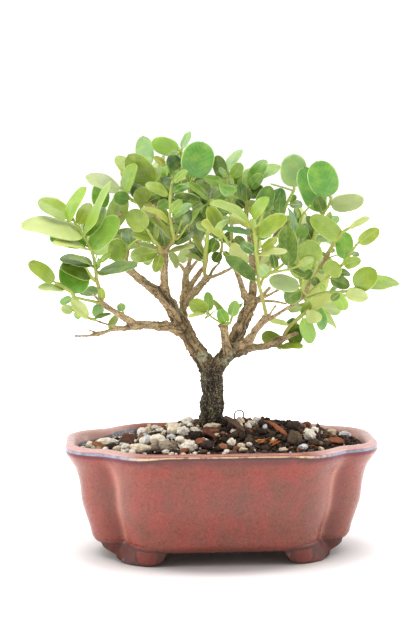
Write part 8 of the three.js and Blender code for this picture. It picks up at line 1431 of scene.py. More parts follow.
def foot(pile, sx, sy):
    """A bracket foot that follows the corner, with a sunk panel on both faces."""
    L = np.array(FOOT_LINE, float)
    run = np.r_[0, np.cumsum(np.hypot(*np.diff(L, axis=0).T))]
    fine = np.linspace(0, 1, 241)
    G = np.stack([np.interp(fine * run[-1], run, L[:, 0]), np.interp(fine * run[-1], run, L[:, 1])], 1)
    for _ in range(60):
        G[1:-1] = 0.5 * G[1:-1] + 0.25 * (G[:-2] + G[2:])
    loop = [(px, 1.0) for px in np.linspace(-0.95, 0.95, 56)]
    q = np.radians([20, 45, 70])
    loop += [(0.95 + 0.05 * math.sin(a), 0.78 + 0.22 * math.cos(a)) for a in q]
    loop += [(1.0, v) for v in (0.78, 0.3, -0.3, -0.78)]
    loop += [(0.95 + 0.05 * math.cos(a), -0.78 - 0.22 * math.sin(a)) for a in q]
    loop += [(px, -1.0) for px in np.linspace(0.95, -0.95, 26)]
    loop += [(-0.95 - 0.05 * math.sin(a), -0.78 - 0.22 * math.cos(a)) for a in q]
    loop += [(-1.0, v) for v in (-0.78, -0.3, 0.3, 0.78)]
    loop += [(-0.95 - 0.05 * math.cos(a), 0.78 + 0.22 * math.sin(a)) for a in q]
    loop = np.array(loop)
    px, py = loop[:, 0], loop[:, 1]
    per, rows = len(loop), 40
    V, panel = [], []
    for k in range(rows):
        z = 12.4 * (k / (rows - 1)) ** 1.1
        up = z / 12.6
        roll = 1.1 * (1 - min(z / 1.7, 1)) ** 2
        half = (0.215 + 0.285 * up ** 0.6) - roll * 0.014
        u = 0.64 - 0.14 * up + px * half
        at = lambda v: np.stack([np.interp(np.clip(v, 0, 1), fine, G[:, 0]), np.interp(np.clip(v, 0, 1), fine, G[:, 1])], 1)
        P = at(u)
        d = at(u + 0.03) - at(u - 0.03)
        d /= np.maximum(np.hypot(d[:, 0], d[:, 1]), 1e-6)[:, None]
        reach_ = np.hypot(P[:, 0], P[:, 1])
        top, _ = lobed(np.arctan2(P[:, 1], P[:, 0]), 17.4)
        want = np.minimum(reach_, top - 0.5)
        P = P * ((reach_ + (want - reach_) * up ** 0.7) / reach_)[:, None]
        thick = 8.5 * (1 - 0.4 * px ** 2) * (0.85 + 0.15 * up)
        m1 = smooth(0.03, 0.12, px) * smooth(0.86, 0.74, px + 0.12 * (1 - up))
        m2 = smooth(-0.07, -0.16, px) * smooth(0.86, 0.74, -px + 0.12 * (1 - up))
        m = (m1 + 0.12 * m2) * smooth(0.13, 0.24, up) * smooth(0.80, 0.70, up) * smooth(0.7, 0.95, py)
        rim = smooth(0.70, 0.80, up) * smooth(0.7, 0.95, py)
        into = (0.5 - py / 2) * thick + roll * py * 0.9 + 0.38 * np.minimum(m * 1.6, 1) - 0.22 * rim
        P = P + np.stack([-d[:, 1], d[:, 0]], 1) * into[:, None]
        wob = 0.16 * fbm(np.stack([P[:, 0] * 0.3 + 9 * sx, P[:, 1] * 0.3 + 5 * sy, np.full(per, z * 0.3)], 1), 2, 71)
        lift = (1 - up) * 1.5 * smooth(0.62, 1.0, np.abs(px))
        V.append(np.stack([sx * (P[:, 0] + wob), sy * (P[:, 1] + wob), z + lift], 1))
        panel.append(m)
    V, panel = np.vstack(V), np.concatenate(panel)
    i, j = np.meshgrid(np.arange(rows - 1), np.arange(per), indexing="ij")
    j2 = (j + 1) % per
    q = np.stack([i * per + j, (i + 1) * per + j, (i + 1) * per + j2, i * per + j2], -1).reshape(-1, 4)
    bottom = V[:per].mean(0)
    bottom[2] = 0.0
    V = np.vstack([V, bottom[None]])
    panel = np.r_[panel, 0]
    tri = np.stack([np.arange(per), (np.arange(per) + 1) % per, np.full(per, len(V) - 1)], -1)
    if sx * sy < 0:
        q, tri = q[:, ::-1], tri[:, ::-1]
    gb = np.zeros((len(V), 3))
    gb[:, 1] = smooth(12.6, 10.6, V[:, 2])
    gc = np.zeros((len(V), 3))
    gc[:, 1] = panel
    gc[:, 2] = smooth(0.5, 0.1, V[:, 2])
    pile.add(V, [q, tri], 0, ga=np.zeros(3), gb=gb, gc=gc, gd=np.zeros(3))


pot = build_pot().make("pot_glazed", [glaze_paint()])
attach(pot, "root")
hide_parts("pot")


# ------------------------------------------------------------------ soil
def soil_height(x, y):
    """Soil level in the pot's own frame (x, y measured from the pot's middle)."""
    return 68.2 + 17 * np.exp(-(np.abs(x - 8) / 72) ** 3.2) * np.exp(-(np.abs(y) / 40) ** 2.4) - 3.6 * smooth(8, 30, y) * smooth(30, 62, np.abs(x - 8))


def soil_normal(x, y):
    e = 0.5
    n = np.array([-(soil_height(x + e, y) - soil_height(x - e, y)) / (2 * e), -(soil_height(x, y + e) - soil_height(x, y - e)) / (2 * e), 1.0])
    return unit(n)


def build_soil():
    n = 300
    ang = even_angles(n)
    pile = Pile()
    rings = []
    scales = np.r_[np.linspace(0.0, 1, 74)[1:]]
    r0, _ = lobed(ang, 8.9)
    for s in scales:
        x, y = r0 * s * np.cos(ang), r0 * s * np.sin(ang)
        z = soil_height(x, y)
        P = np.stack([x, y, z], 1)
        z = z + (0.85 * fbm(P * np.array([0.35, 0.35, 0]), 3, 3) + 0.45 * noise(P * np.array([0.9, 0.9, 0]), 8)) - 0.35
        rings.append(np.stack([x, y, z], 1))
    for z, inset in ((62, 10.9), (50, 14.3), (36, 17.1), (24, 21.2), (17.2, 27.2), (16.1, 31.5)):
        r, _ = lobed(ang, inset)
        rings.append(np.stack([r * np.cos(ang), r * np.sin(ang), np.full(n, z)], 1))
    m = len(rings)
    V = np.vstack([*rings, [[0, 0, soil_height(np.array(0.0), np.array(0.0))], [0, 0, 16.1]]])
    i, j = np.meshgrid(np.arange(m - 1), np.arange(n), indexing="ij")
    j2 = (j + 1) % n
    q = np.stack([i * n + j, (i + 1) * n + j, (i + 1) * n + j2, i * n + j2], -1).reshape(-1, 4)
    k = np.arange(n)
    t1 = np.stack([k, (k + 1) % n, np.full(n, m * n)], -1)
    t2 = np.stack([(m - 1) * n + (k + 1) % n, (m - 1) * n + k, np.full(n, m * n + 1)], -1)
    V[:, 0] += POT[0]
    V[:, 1] += POT[1]
    pile.add(V, [q, t1, t2], 0)
    return pile


soil = build_soil().make("soil_bed", [earth_paint()])
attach(soil, "root")
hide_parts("soil")


def ico(level):
    import bmesh
    bm = bmesh.new()
    bmesh.ops.create_icosphere(bm, subdivisions=level, radius=1.0)
    V = np.array([v.co[:] for v in bm.verts])
    F = np.array([[v.index for v in f.verts] for f in bm.faces])
    bm.free()
    return V, F


ICO = {k: ico(k) for k in (2, 3, 4)}
rng = np.random.default_rng(41)


def turn(rng, tilt=0.5):
    """A random turn: any heading, a limited tilt."""
    a, b, c = rng.uniform(0, 2 * math.pi), rng.normal(0, tilt), rng.normal(0, tilt)
    ca, sa, cb, sb, cc, sc = math.cos(a), math.sin(a), math.cos(b), math.sin(b), math.cos(c), math.sin(c)
    Z = np.array([[ca, -sa, 0], [sa, ca, 0], [0, 0, 1]])
    X = np.array([[1, 0, 0], [0, cb, -sb], [0, sb, cb]])
    Y = np.array([[cc, 0, sc], [0, 1, 0], [-sc, 0, cc]])
    return Z @ X @ Y


def rock(pile, centre, half, level, seed, tint, rough=0.2, angular=0.35, spin=None, mat=0):
    V, F = ICO[level]
    D = V / np.linalg.norm(V, axis=1)[:, None]
    r = 1 + rough * fbm(D * 1.5 + seed * 3.7, 3, seed % 97, 0.55) + 0.26 * rough * noise(D * 4.1 + seed, seed % 89) + 0.12 * rough * noise(D * 9 + seed, seed % 79)
    # a few flat broken faces
    g = np.random.default_rng(seed)
    for _ in range(7):
        n = unit(g.normal(size=3))
        d = g.uniform(0.62, 0.95)
        h = D @ n * r
        r = np.where(h > d, r * (1 - angular) + angular * r * d / np.maximum(h, 1e-6), r)
    P = D * r[:, None] * np.asarray(half)
    if spin is not None:
        P = P @ spin.T
    shade = 1 + 0.10 * fbm(D * 2.2 + seed, 2, seed % 61)
    col = np.clip(np.c_[np.outer(shade, tint), np.ones(len(P))], 0, 1)
    pile.add(P + centre, [F], mat, tint=col)


def flake(pile, a, b, width, thick, seed, tint, up=None, mat=0, jag=0.22, bow=0.5):
    """A flat splinter of bark from a to b with ragged edges."""
    g = np.random.default_rng(seed)
    ax = unit(b - a)
    L = np.linalg.norm(b - a)
    up = np.array([0, 0, 1.0]) if up is None else up
    up = unit(up - ax * (up @ ax))
    side = np.cross(up, ax)
    nu, ns = 15, 6
    u = np.linspace(0, 1, nu)
    s = np.linspace(-1, 1, ns)
    U, S = np.meshgrid(u, s, indexing="ij")
    ends = np.clip(np.sin(np.pi * np.clip(U, 0.02, 0.98)) ** 0.42, 0.12, 1)
    k = np.stack([U.ravel() * 5, np.sign(S.ravel()) * 3, np.full(U.size, seed * 1.7)], 1)
    edge = 1 + jag * noise(k, seed % 83).reshape(U.shape) * np.abs(S)
    w = width / 2 * ends * edge
    endshift = 0.06 * L * noise(np.stack([S.ravel() * 3, U.ravel() * 0.2, np.full(U.size, seed + 9.0)], 1), 7).reshape(U.shape) * (np.abs(U - 0.5) * 2) ** 3
    lift = bow * (0.25 - (U - 0.5) ** 2) * 4 + 0.15 * thick * noise(np.stack([U.ravel() * 7, S.ravel() * 2.2, np.full(U.size, seed + 2.0)], 1), 5).reshape(U.shape) + 0.12 * width * S ** 2 * g.uniform(-1, 1)
    th = thick / 2 * (1 - 0.35 * np.abs(S) ** 3) * np.clip(ends * 1.4, 0.35, 1)
    mid = a + ax * L * U[..., None] + ax * endshift[..., None] + side * (S * w)[..., None] + up * lift[..., None]
    top = (mid + up * th[..., None]).reshape(-1, 3)
    bot = (mid - up * th[..., None]).reshape(-1, 3)
    i, j = np.meshgrid(np.arange(nu - 1), np.arange(ns - 1), indexing="ij")
    q = np.stack([i * ns + j, (i + 1) * ns + j, (i + 1) * ns + j + 1, i * ns + j + 1], -1).reshape(-1, 4)
    N = nu * ns
    loop = [(x, 0) for x in range(nu)] + [(nu - 1, y) for y in range(1, ns)] + [(x, ns - 1) for x in range(nu - 2, -1, -1)] + [(0, y) for y in range(ns - 2, 0, -1)]
    li = np.array([x * ns + y for x, y in loop])
    rim = np.stack([li, np.roll(li, -1), np.roll(li, -1) + N, li + N], -1)
    # side = up x ax, so going along u then s faces away from up
    top_f, bot_f = q[:, ::-1], q + N
    shade = 1 + 0.16 * fbm(np.stack([U.ravel() * 3, S.ravel() * 2, np.full(U.size, seed * 0.7)], 1), 2, seed % 57)
    col = np.clip(np.c_[np.outer(shade, tint), np.ones(N)], 0, 1)
    pile.add(np.vstack([top, bot]), [top_f, bot_f, rim], mat, tint=np.vstack([col, col * np.array([0.8, 0.8, 0.8, 1])]))


def on_soil(x, y, z_up=0.0):
    return np.array([x + POT[0], y + POT[1], float(soil_height(np.array(x), np.array(y))) + z_up])


WHITE = [srgb(c) for c in ("#f7ebd8", "#eeddc2", "#e8dfd0", "#f9efe0", "#dfcbad", "#dfe0e4")]
GREY = [srgb(c) for c in ("#968069", "#7f6c5a", "#a3927c", "#705f4e")]
DARK = [srgb(c) for c in ("#3c2c26", "#281d19", "#503b2f", "#33241f", "#5e4535")]
RED = [srgb(c) for c in ("#7d442b", "#5f3323", "#915333", "#54301f", "#9b6440", "#4b3023")]
ORANGE = [srgb(c) for c in ("#b06a35", "#9c562c", "#bb8048")]
OLIVE = [srgb(c) for c in ("#4a3c30", "#3a2c26", "#5a4a38")]


def inside_pot(x, y, margin=9.6):
    a = np.arctan2(y, x)
    r, _ = lobed(np.atleast_1d(a), margin)
    return np.hypot(x, y) < r[0]


def pull_inside(x, y, half_x, half_y):
    """Moves a piece that would stand in the pot wall towards the middle of the soil."""
    a = math.atan2(y, x)
    room, _ = lobed(np.atleast_1d(a), 9.3)
    room = room[0] - math.hypot(math.cos(a) * half_x, math.sin(a) * half_y) * 0.85
    k = min(1.0, room / math.hypot(x, y))
    return x * k, y * k


def keep_off_wall(pile):
    """Presses in the last bits of grit that would still reach into the wall."""
    V = np.vstack(pile.V)
    x, y = V[:, 0] - POT[0], V[:, 1] - POT[1]
    a = np.arctan2(y, x)
    low, high = lobed(a, 8.7)[0], lobed(a, 6.8)[0]
    room = low + (high - low) * smooth(69, 73.5, V[:, 2])
    k = np.minimum(1.0, room / np.maximum(np.hypot(x, y), 1e-6))
    V[:, 0], V[:, 1] = POT[0] + x * k, POT[1] + y * k
    pile.V = [V]


TRUNK = np.array([WOOD["trunk"][1][0] - POT[0], WOOD["trunk"][1][1] - POT[1]])


def scatter():
    pum, bark, crumb = Pile(), Pile(), Pile()
    used = []
    g = np.random.default_rng(5)
    for k, (x, y, w, h, d, kind) in enumerate(GRIT):
        x, y = pull_inside(x, y, w / 2, d / 2)
        used.append((x, y, max(w, d) / 2))
        half = np.array([w / 2, d / 2, h / 2])
        c = on_soil(x, y, h * 0.28)
        if kind == "w":
            rock(pum, c, half * 1.06, 4 if w > 4.5 else 3, 100 + k, WHITE[k % 6], 0.62, 0.5, None)
        elif kind == "g":
            rock(pum, c, half, 3, 100 + k, GREY[k % 4], 0.25, 0.4, None)
        elif kind == "k":
            rock(crumb, c, half, 3, 100 + k, DARK[k % 5], 0.55, 0.45, None)
        elif kind == "o":
            rock(crumb, c, half, 3, 100 + k, OLIVE[k % 3], 0.45, 0.2, None)
        elif kind == "r":
            a = g.uniform(-0.6, 0.6)
            v = np.array([math.cos(a) * w / 2, math.sin(a) * w / 2, g.uniform(-0.25, 0.25) * w])
            flake(bark, c - v, c + v, d, 1.5, 300 + k, RED[k % 6], up=unit(np.array([g.normal(0, .35), -0.55, 1.0])))
        elif kind == "v":
            # a wedge of bark that stands on its edge
            rock(bark, on_soil(x, y, h * 0.36), np.array([w / 2, 2.2, h * 0.62]), 4, 100 + k, srgb("#5e4130"), 0.36, 0.75, None)
        elif kind == "d":
            rock(bark, on_soil(x, y, h * 0.3), np.array([w / 2, 1.9, h / 2]), 3, 100 + k, srgb("#87503a"), 0.22, 0.3, None)
        elif kind == "f":
            for j in range(3):
                a = g.uniform(-0.7, 0.7)
                v = np.array([math.cos(a) * w / 2, math.sin(a) * w / 2, g.uniform(-0.3, 0.3) * w])
                e = c + np.array([g.normal(0, 0.12) * w, g.normal(0, 0.3) * d, 0.3 + 0.5 * j])
                flake(bark, e - v, e + v, d * g.uniform(0.25, 0.45), 0.6, 400 + 3 * k + j, ORANGE[(k + j) % 3], up=unit(np.array([g.normal(0, .5), -0.5, 1.0])), jag=0.5)
    # fill the rest at random, larger pieces first
    tries = [(240, 3.2, 5.4), (520, 1.9, 3.2), (1500, 1.0, 1.9)]
    pts = [np.array(p) for p in used]
    for count, lo, hi in tries:
        made = 0
        for _ in range(count * 4):
            if made >= count:
                break
            x, y = g.uniform(-94, 94), g.uniform(-53, 53)
            s = g.uniform(lo, hi)
            if not inside_pot(x, y, 9.9 + s * 0.35) or math.hypot(x - TRUNK[0], y - TRUNK[1]) < 8.5 + s * 0.3:
                continue
            q = np.array(pts)
            if ((q[:, 0] - x) ** 2 + (q[:, 1] - y) ** 2 < (0.72 * (q[:, 2] + s / 2)) ** 2).any():
                continue
            pts.append(np.array([x, y, s / 2]))
            made += 1
            seed = 1000 + made + int(s * 1000)
            left = smooth(20, -45, x)
            pw = 0.09 + 0.46 * left
            pr = 0.16
            c = on_soil(x, y, s * 0.12)
            roll = g.uniform()
            spin = turn(g, 0.5)
            half = s / 2 * np.array([g.uniform(0.9, 1.35), g.uniform(0.8, 1.1), g.uniform(0.6, 0.95)])
            level = 3 if s > 3 else 2
            if roll < pw:
                rock(pum, c, half, level, seed, WHITE[seed % 6] if g.uniform() < 0.86 else GREY[seed % 4], 0.60, 0.5, spin)
            elif roll < pw + pr and s > 1.3:
                a = g.uniform(0, math.pi)
                L = s * g.uniform(1.0, 1.7)
                v = np.array([math.cos(a) * L / 2, math.sin(a) * L / 2, g.normal(0, 0.16) * L])
                flake(bark, c - v, c + v, s * g.uniform(0.5, 0.8), g.uniform(0.5, 1.0), seed, (RED if g.uniform() < 0.65 else DARK)[seed % 5], up=unit(np.array([g.normal(0, .5), g.normal(0, .5), 1.0])), bow=0.2)
            elif roll < pw + pr + 0.10 and s > 1.0:
                rock(crumb, c, half, level, seed, OLIVE[seed % 3], 0.45, 0.2, spin)
            else:
                rock(crumb, c, half, level, seed, DARK[seed % 5], 0.62, 0.45, spin)
    # fine fibres and rootlets
    for k in range(46):
        x, y = g.uniform(-88, 88), g.uniform(-50, 40)
        if not inside_pot(x, y, 13) or math.hypot(x - TRUNK[0], y - TRUNK[1]) < 10:
            continue
        a = g.uniform(0, 2 * math.pi)
        L = g.uniform(4, 11)
        line = []
        for t in np.linspace(-0.5, 0.5, 7):
            px = x + math.cos(a) * L * t + 0.9 * math.sin(t * 7 + k)
            py = y + math.sin(a) * L * t + 0.9 * math.cos(t * 6 + k * 2)
            z = 1.4 + 1.6 * (0.25 - t * t) * 4 * g.uniform(0.3, 1)
            line.append([*on_soil(px, py, z), g.uniform(0.16, 0.3)])
        V, q, t3 = tube(resample(line, 0.8), 6)
        pile_c = (ORANGE if k % 3 == 0 else RED)[k % 3]
        bark.add(V, [q, t3], 0, tint=rgba(pile_c))
    # crumbs that each bark chip lies on
    for k, (_, a, b, _w) in enumerate(CHIPS):
        for j, t in enumerate((0.08, 0.29, 0.5, 0.71, 0.92)):
            x, y, z = np.array(a) + (np.array(b) - np.array(a)) * t
            ground = float(soil_height(np.array(x - POT[0]), np.array(y - POT[1]))) - 0.9
            top = z - 0.55
            if top - ground < 0.8:
                continue
            half = np.array([g.uniform(1.7, 2.4), g.uniform(1.9, 2.6), (top - ground) / 2 + 0.2])
            mid = np.array([x, y, (top + ground) / 2])
            rock(crumb, mid, half, 3, 900 + 7 * k + j, DARK[(j + k) % 5], 0.5, 0.45, None)
    for pile in (pum, bark, crumb):
        keep_off_wall(pile)
    return pum, bark, crumb


pum, barkbits, crumbs = scatter()
pumice_paint = grit_paint("pumice", 0.92, 0.9, 420)
chip_paint = grit_paint("bark_bits", 0.85, 0.25, 520)
crumb_paint = grit_paint("soil_crumb", 0.95, 0.5, 600)
for pile, name, paint, slot in ((pum, "soil_pumice", pumice_paint, "pumice"), (barkbits, "soil_bark_bits", chip_paint, "bark_chip"), (crumbs, "soil_crumbs", crumb_paint, "soil")):
    o = pile.make(name, [paint], flat=False)
    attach(o, "root")

for k, (name, c, h) in enumerate(STONES):
    pl = Pile()
    tint = {"pumice_stone_3": srgb("#a2937f")}.get(name, WHITE[k % 4])
    rock(pl, np.array(c), np.array(h) * 1.03, 4, 500 + k, tint, 0.48, 0.5, None)
    o = pl.make(name + "_look", [pumice_paint])
    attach(o, "root")
    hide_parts(name)
for k, (name, a, b, w) in enumerate(CHIPS):
    pl = Pile()
    flake(pl, np.array(a), np.array(b), w * 1.02, 1.6, 700 + k, [srgb("#9a5836"), srgb("#5a4030"), srgb("#7c4a33")][k], bow=0.8, jag=0.3)
    o = pl.make(name + "_look", [chip_paint])
    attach(o, "root")
    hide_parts(name)
pl = Pile()
line = resample([[*p, 0.42 + 0.05 * math.sin(i * 1.7)] for i, p in enumerate(ROOT_LOOP)], 0.35)
V, q, t3 = tube(line, 10)
pl.add(V, [q, t3], 0, tint=rgba(srgb("#6a3c33")))
o = pl.make("root_loop_look", [chip_paint])
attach(o, "root")
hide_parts("root_loop")

mp, wp = mesh_paint(), wire_paint()
for n, m in (("drain_mesh_left", mp), ("drain_mesh_right", mp), ("mesh_wire_left", wp), ("mesh_wire_right", wp)):
    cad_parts[n].data.materials.clear()
    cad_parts[n].data.materials.append(m)


# ------------------------------------------------------------------ wood
def build_wood():
    lines = {}
    for li, (name, P) in enumerate(WOOD.items()):
        P = np.array(P, float)
        if name.startswith("root_"):
            P = P[:4]
        Q = resample(P, 0.8)
        s = np.r_[0, np.cumsum(np.linalg.norm(np.diff(Q[:, :3], axis=0), axis=1))]
        w = noise(np.stack([s * 0.16, np.full(len(s), li * 7.7), np.zeros(len(s))], 1), 3)
        big = smooth(0.8, 3.5, Q[:, 3])
        Q[:, 3] *= 1 + (0.07 + 0.03 * big) * w
        off = np.stack([noise(np.stack([s * 0.13, np.full(len(s), li * 3.1), np.full(len(s), c * 5.0)], 1), 4 + c) for c in range(3)], 1)
        Q[:, :3] += off * (0.10 * Q[:, 3])[:, None] * np.minimum(1, np.minimum(s, s[-1] - s) / 3)[:, None]
        lines[name] = (Q, s)
    pile = Pile()
    for name, (Q, s) in lines.items():
        r = Q[:, 3].max()
        V, q, t3 = tube(Q, 28 if r > 5 else 20 if r > 2.4 else 14 if r > 1.3 else 10)
        pile.add(V, [q, t3], 0)
    ob = pile.make("tree_bark", [])
    mod = ob.modifiers.new("join", "REMESH")
    mod.mode = "VOXEL"
    mod.voxel_size = 0.00048
    mod.use_smooth_shade = True
    dg = bpy.context.evaluated_depsgraph_get()
    me = bpy.data.meshes.new_from_object(ob.evaluated_get(dg))
    ob.modifiers.clear()
    ob.data = me
    n = len(me.vertices)
    co = np.zeros(n * 3, np.float32)
    me.vertices.foreach_get("co", co)
    V = co.reshape(-1, 3).astype(float) / MM
    ne = len(me.edges)
    E = np.zeros(ne * 2, np.int32)
    me.edges.foreach_get("vertices", E)
    E = E.reshape(-1, 2)
    deg = np.bincount(E.ravel(), minlength=n)[:, None]

    def relax(X, times, f):
        for _ in range(times):
            acc = np.zeros_like(X)
            for c in range(X.shape[1]):
                acc[:, c] = np.bincount(E[:, 0], X[E[:, 1], c], n) + np.bincount(E[:, 1], X[E[:, 0], c], n)
            X = X * (1 - f) + f * acc / np.maximum(deg, 1)
        return X

    V = relax(V, 5, 0.6)
    # where each point lies on the nearest limb
    C, D, U, W, R, S, ID = [], [], [], [], [], [], []
    for li, (name, (Q, s)) in enumerate(lines.items()):
        T, u, w = frames(Q)
        C.append(Q[:, :3]); D.append(T); U.append(u); W.append(w); R.append(Q[:, 3]); S.append(s); ID.append(np.full(len(Q), li))
    C, D, U, W, R, S, ID = map(np.concatenate, (C, D, U, W, R, S, ID))
    near = np.zeros(n, int)
    for a in range(0, n, 1500):
        d = V[a:a + 1500, None, :] - C[None]
        e = np.sqrt((d ** 2).sum(2)) - R[None]
        near[a:a + 1500] = e.argmin(1)
    rel = V - C[near]
    x = (rel * U[near]).sum(1)
    y = (rel * W[near]).sum(1)
    z = (rel * D[near]).sum(1)
    rad = np.maximum(np.hypot(x, y), 1e-6)
    r = relax(R[near][:, None], 6, 0.6)[:, 0]
    s = S[near] + z
    lid = ID[near] * 23.7
    out = (rel - D[near] * z[:, None]) / rad[:, None]
    ex, ey = x / rad, y / rad
    f1, f2 = 0.34, 0.085
    A = np.stack([ex * r * f1 + lid, ey * r * f1, s * f2], 1)
    n1 = fbm(A, 2, 11, 0.5)
    ridge = 1 - np.abs(n1) * 2.6
    A2 = np.stack([ex * r * 1.0 + lid, ey * r * 1.0, s * 0.30], 1)
    n2 = fbm(A2, 2, 23)
    n3 = noise(V * 0.21, 31)
    n4 = noise(np.stack([ex * r * 0.3 + lid, ey * r * 0.3, s * 1.1], 1), 37)
    old = smooth(0.9, 4.2, r)
    furrow = np.clip(ridge, 0, 1) ** 2.2
    n5 = noise(V * 0.46, 43)
    n6 = noise(V * 0.95, 45)
    n7 = noise(V * 1.45, 91)
    knob = smooth(0.05, 0.6, n5)
    disp = -0.80 * old * furrow + 0.30 * old * n1 + (0.10 + 0.20 * old) * n2 + 0.50 * old * n3 + (0.06 + 0.20 * old) * n4
    disp += (0.16 + 0.50 * old) * knob + (0.12 + 0.26 * old) * n6 + (0.05 + 0.09 * old) * n7
    disp -= 0.06 * (1 - old)
    # leaf scars: small rings on the twigs
    ring = np.clip(np.cos(s * 2 * math.pi / 5.2 + lid) - 0.86, 0, 1) / 0.14
    disp += 0.10 * ring * smooth(3.0, 1.2, r)
    V2 = V + out * disp[:, None]
    V2 = relax(V2, 1, 0.22)
    me.vertices.foreach_set("co", (V2 * MM).astype(np.float32).ravel())
    me.update()
    # colours
    top = V[:, 2]
    dark = smooth(141, 118, top + 5 * n3)
    low_left = smooth(-14, -30, V[:, 0]) * smooth(152, 140, V[:, 2])
    base = np.repeat(srgb("#ae9067")[None], n, 0)
    base = base + (srgb("#bba078") - base) * smooth(4.2, 1.9, r)[:, None]
    base = base + (srgb("#b09b70") - base) * smooth(1.9, 1.0, r)[:, None] * 0.8
    base = base + (srgb("#c3a077") - base) * (low_left * 0.8)[:, None]
    base = base + (srgb("#2b2622") - base) * (dark * 0.97)[:, None]
    base = base * (1 - 0.38 * smooth(112, 92, top))[:, None]
    base = base * (1 + 0.24 * n3[:, None] + 0.12 * n2[:, None] + 0.30 * n6[:, None] + 0.26 * n7[:, None])
    base = base + (srgb("#a09478") - base) * (0.30 * smooth(0.1, 0.7, noise(V * 0.12, 77)) * old * (1 - dark))[:, None]
    col = np.clip(np.c_[base, np.ones(n)], 0.004, 1)
    # painted shade in the bark's furrows and hollows
    furrow_shade = np.clip(furrow * old * 1.05 + 0.25 * np.clip(-n2, 0, 1) * old, 0, 1)

    def spots(table):
        m = np.zeros(n)
        for (px, py, pz, pr, k) in table:
            d = np.linalg.norm(V - np.array([px, py, pz]), axis=1)
            m = np.maximum(m, k * smooth(pr * 1.25, pr * 0.45, d))
        return m

    moss = np.maximum(spots(MOSS), 0.30 * dark * smooth(0.15, 0.6, noise(V * 0.3, 51)))
    lich = np.maximum(spots(LICHEN), 0.45 * smooth(0.35, 0.8, noise(V * 0.10 + 3, 61)) * (1 - dark) * smooth(1.5, 3, r))
    set_attribute(me, "tint", col)
    set_attribute(me, "bk", np.stack([furrow_shade, moss, lich], 1))
    set_attribute(me, "flow", np.stack([ex * r + lid, ey * r, s * 0.22], 1) * MM)
    me.materials.clear()
    me.materials.append(bark_paint())
    me.polygons.foreach_set("use_smooth", np.ones(len(me.polygons), bool))
    return ob


wood = build_wood()
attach(wood, "root")
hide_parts("tree_wood")

# ------------------------------------------------------------------ leaves and shoots
#          lime      pale       olive      mid        cool       dark       teal       sage       bright     yellow
TONES = ["#83a72d", "#c3cc7c", "#8a9f30", "#619827", "#5b9840", "#4a6c13", "#376441", "#8fb472", "#8cb547", "#aab040", "#a2ad76"]
TONES = [srgb(c) for c in TONES]
PALE_UNDER = srgb("#b4c67a")
UG = np.array([0, .012, .04, .085, .15, .23, .32, .42, .52, .62, .71, .79, .86, .92, .96, .985, 1.0])
SG = np.array([-1, -.86, -.64, -.38, -.16, -.05, .05, .16, .38, .64, .86, 1])


def leaf_width(u):
    q = np.clip(u, 0, 1) ** 0.93
    return np.sqrt(np.clip(1 - np.abs(2 * q - 1) ** 2.35, 0, 1))


NU, NS = len(UG), len(SG)
_i, _j = np.meshgrid(np.arange(NU - 1), np.arange(NS - 1), indexing="ij")
LEAF_Q = np.stack([_i * NS + _j, (_i + 1) * NS + _j, (_i + 1) * NS + _j + 1, _i * NS + _j + 1], -1).reshape(-1, 4)
_loop = [(x, 0) for x in range(NU)] + [(NU - 1, y) for y in range(1, NS)] + [(x, NS - 1) for x in range(NU - 2, -1, -1)] + [(0, y) for y in range(NS - 2, 0, -1)]
_li = np.array([x * NS + y for x, y in _loop])
LEAF_N = NU * NS
LEAF_RIM = np.stack([_li, np.roll(_li, -1), np.roll(_li, -1) + LEAF_N, _li + LEAF_N], -1)


def leaf_surface(row, g):
    A, B, T, N = (np.array(row[k:k + 3], float) for k in (0, 3, 6, 9))
    W, arch, fold, tone, kind = row[12], row[13], row[14], int(row[15]), int(row[16])
    ax = T - B
    L = np.linalg.norm(ax)
    a = ax / L
    N = unit(N - a * (N @ a))
    S = np.cross(a, N)
    U, Sg = np.meshgrid(UG, SG, indexing="ij")
    U, Sg = U.ravel(), Sg.ravel()
    w = W / 2 * leaf_width(U)
    skew = g.uniform(-0.035, 0.035)
    w = w * (1 + skew * Sg)
    # a blunt tip with a small point
    tip = 0.45 * smooth(0.93, 1.0, U) * np.exp(-(Sg / 0.35) ** 2)
    ph = g.uniform(0, 6.28, 3)
    wave = L * 0.010 * np.sin(6.28 * 1.25 * U + ph[0]) * Sg + L * 0.011 * Sg ** 2 * np.sin(6.28 * 1.9 * U + ph[1])
    cup = -g.uniform(-0.02, 0.05) * W * np.abs(Sg) ** 3.2 * smooth(0, .2, U)
    h0 = arch * L * 4 * U * (1 - U) + fold * np.abs(Sg) * w + wave * smooth(0, 0.25, U) + cup
    th = 0.30 * (1 - 0.62 * np.abs(Sg) ** 4) * smooth(1.12, 0.9, U) * 0.5
    sw = Sg * w
    groove = 0.13 * np.exp(-(sw / 0.34) ** 2) * (1 - 0.75 * U)
    rib = 0.26 * np.exp(-(sw / 0.40) ** 2) * (1 - 0.85 * U)
    C = B + np.outer(U, ax) + np.outer(tip, a) + np.outer(sw, S)
    top = C + np.outer(h0 + th - groove, N)
    bot = C + np.outer(h0 - th - rib, N)
    lv = np.stack([U, Sg, np.abs(sw)], 1)
    return np.vstack([top, bot]), np.vstack([lv, lv]), (A, B, T, N, a, L, W, tone, kind)


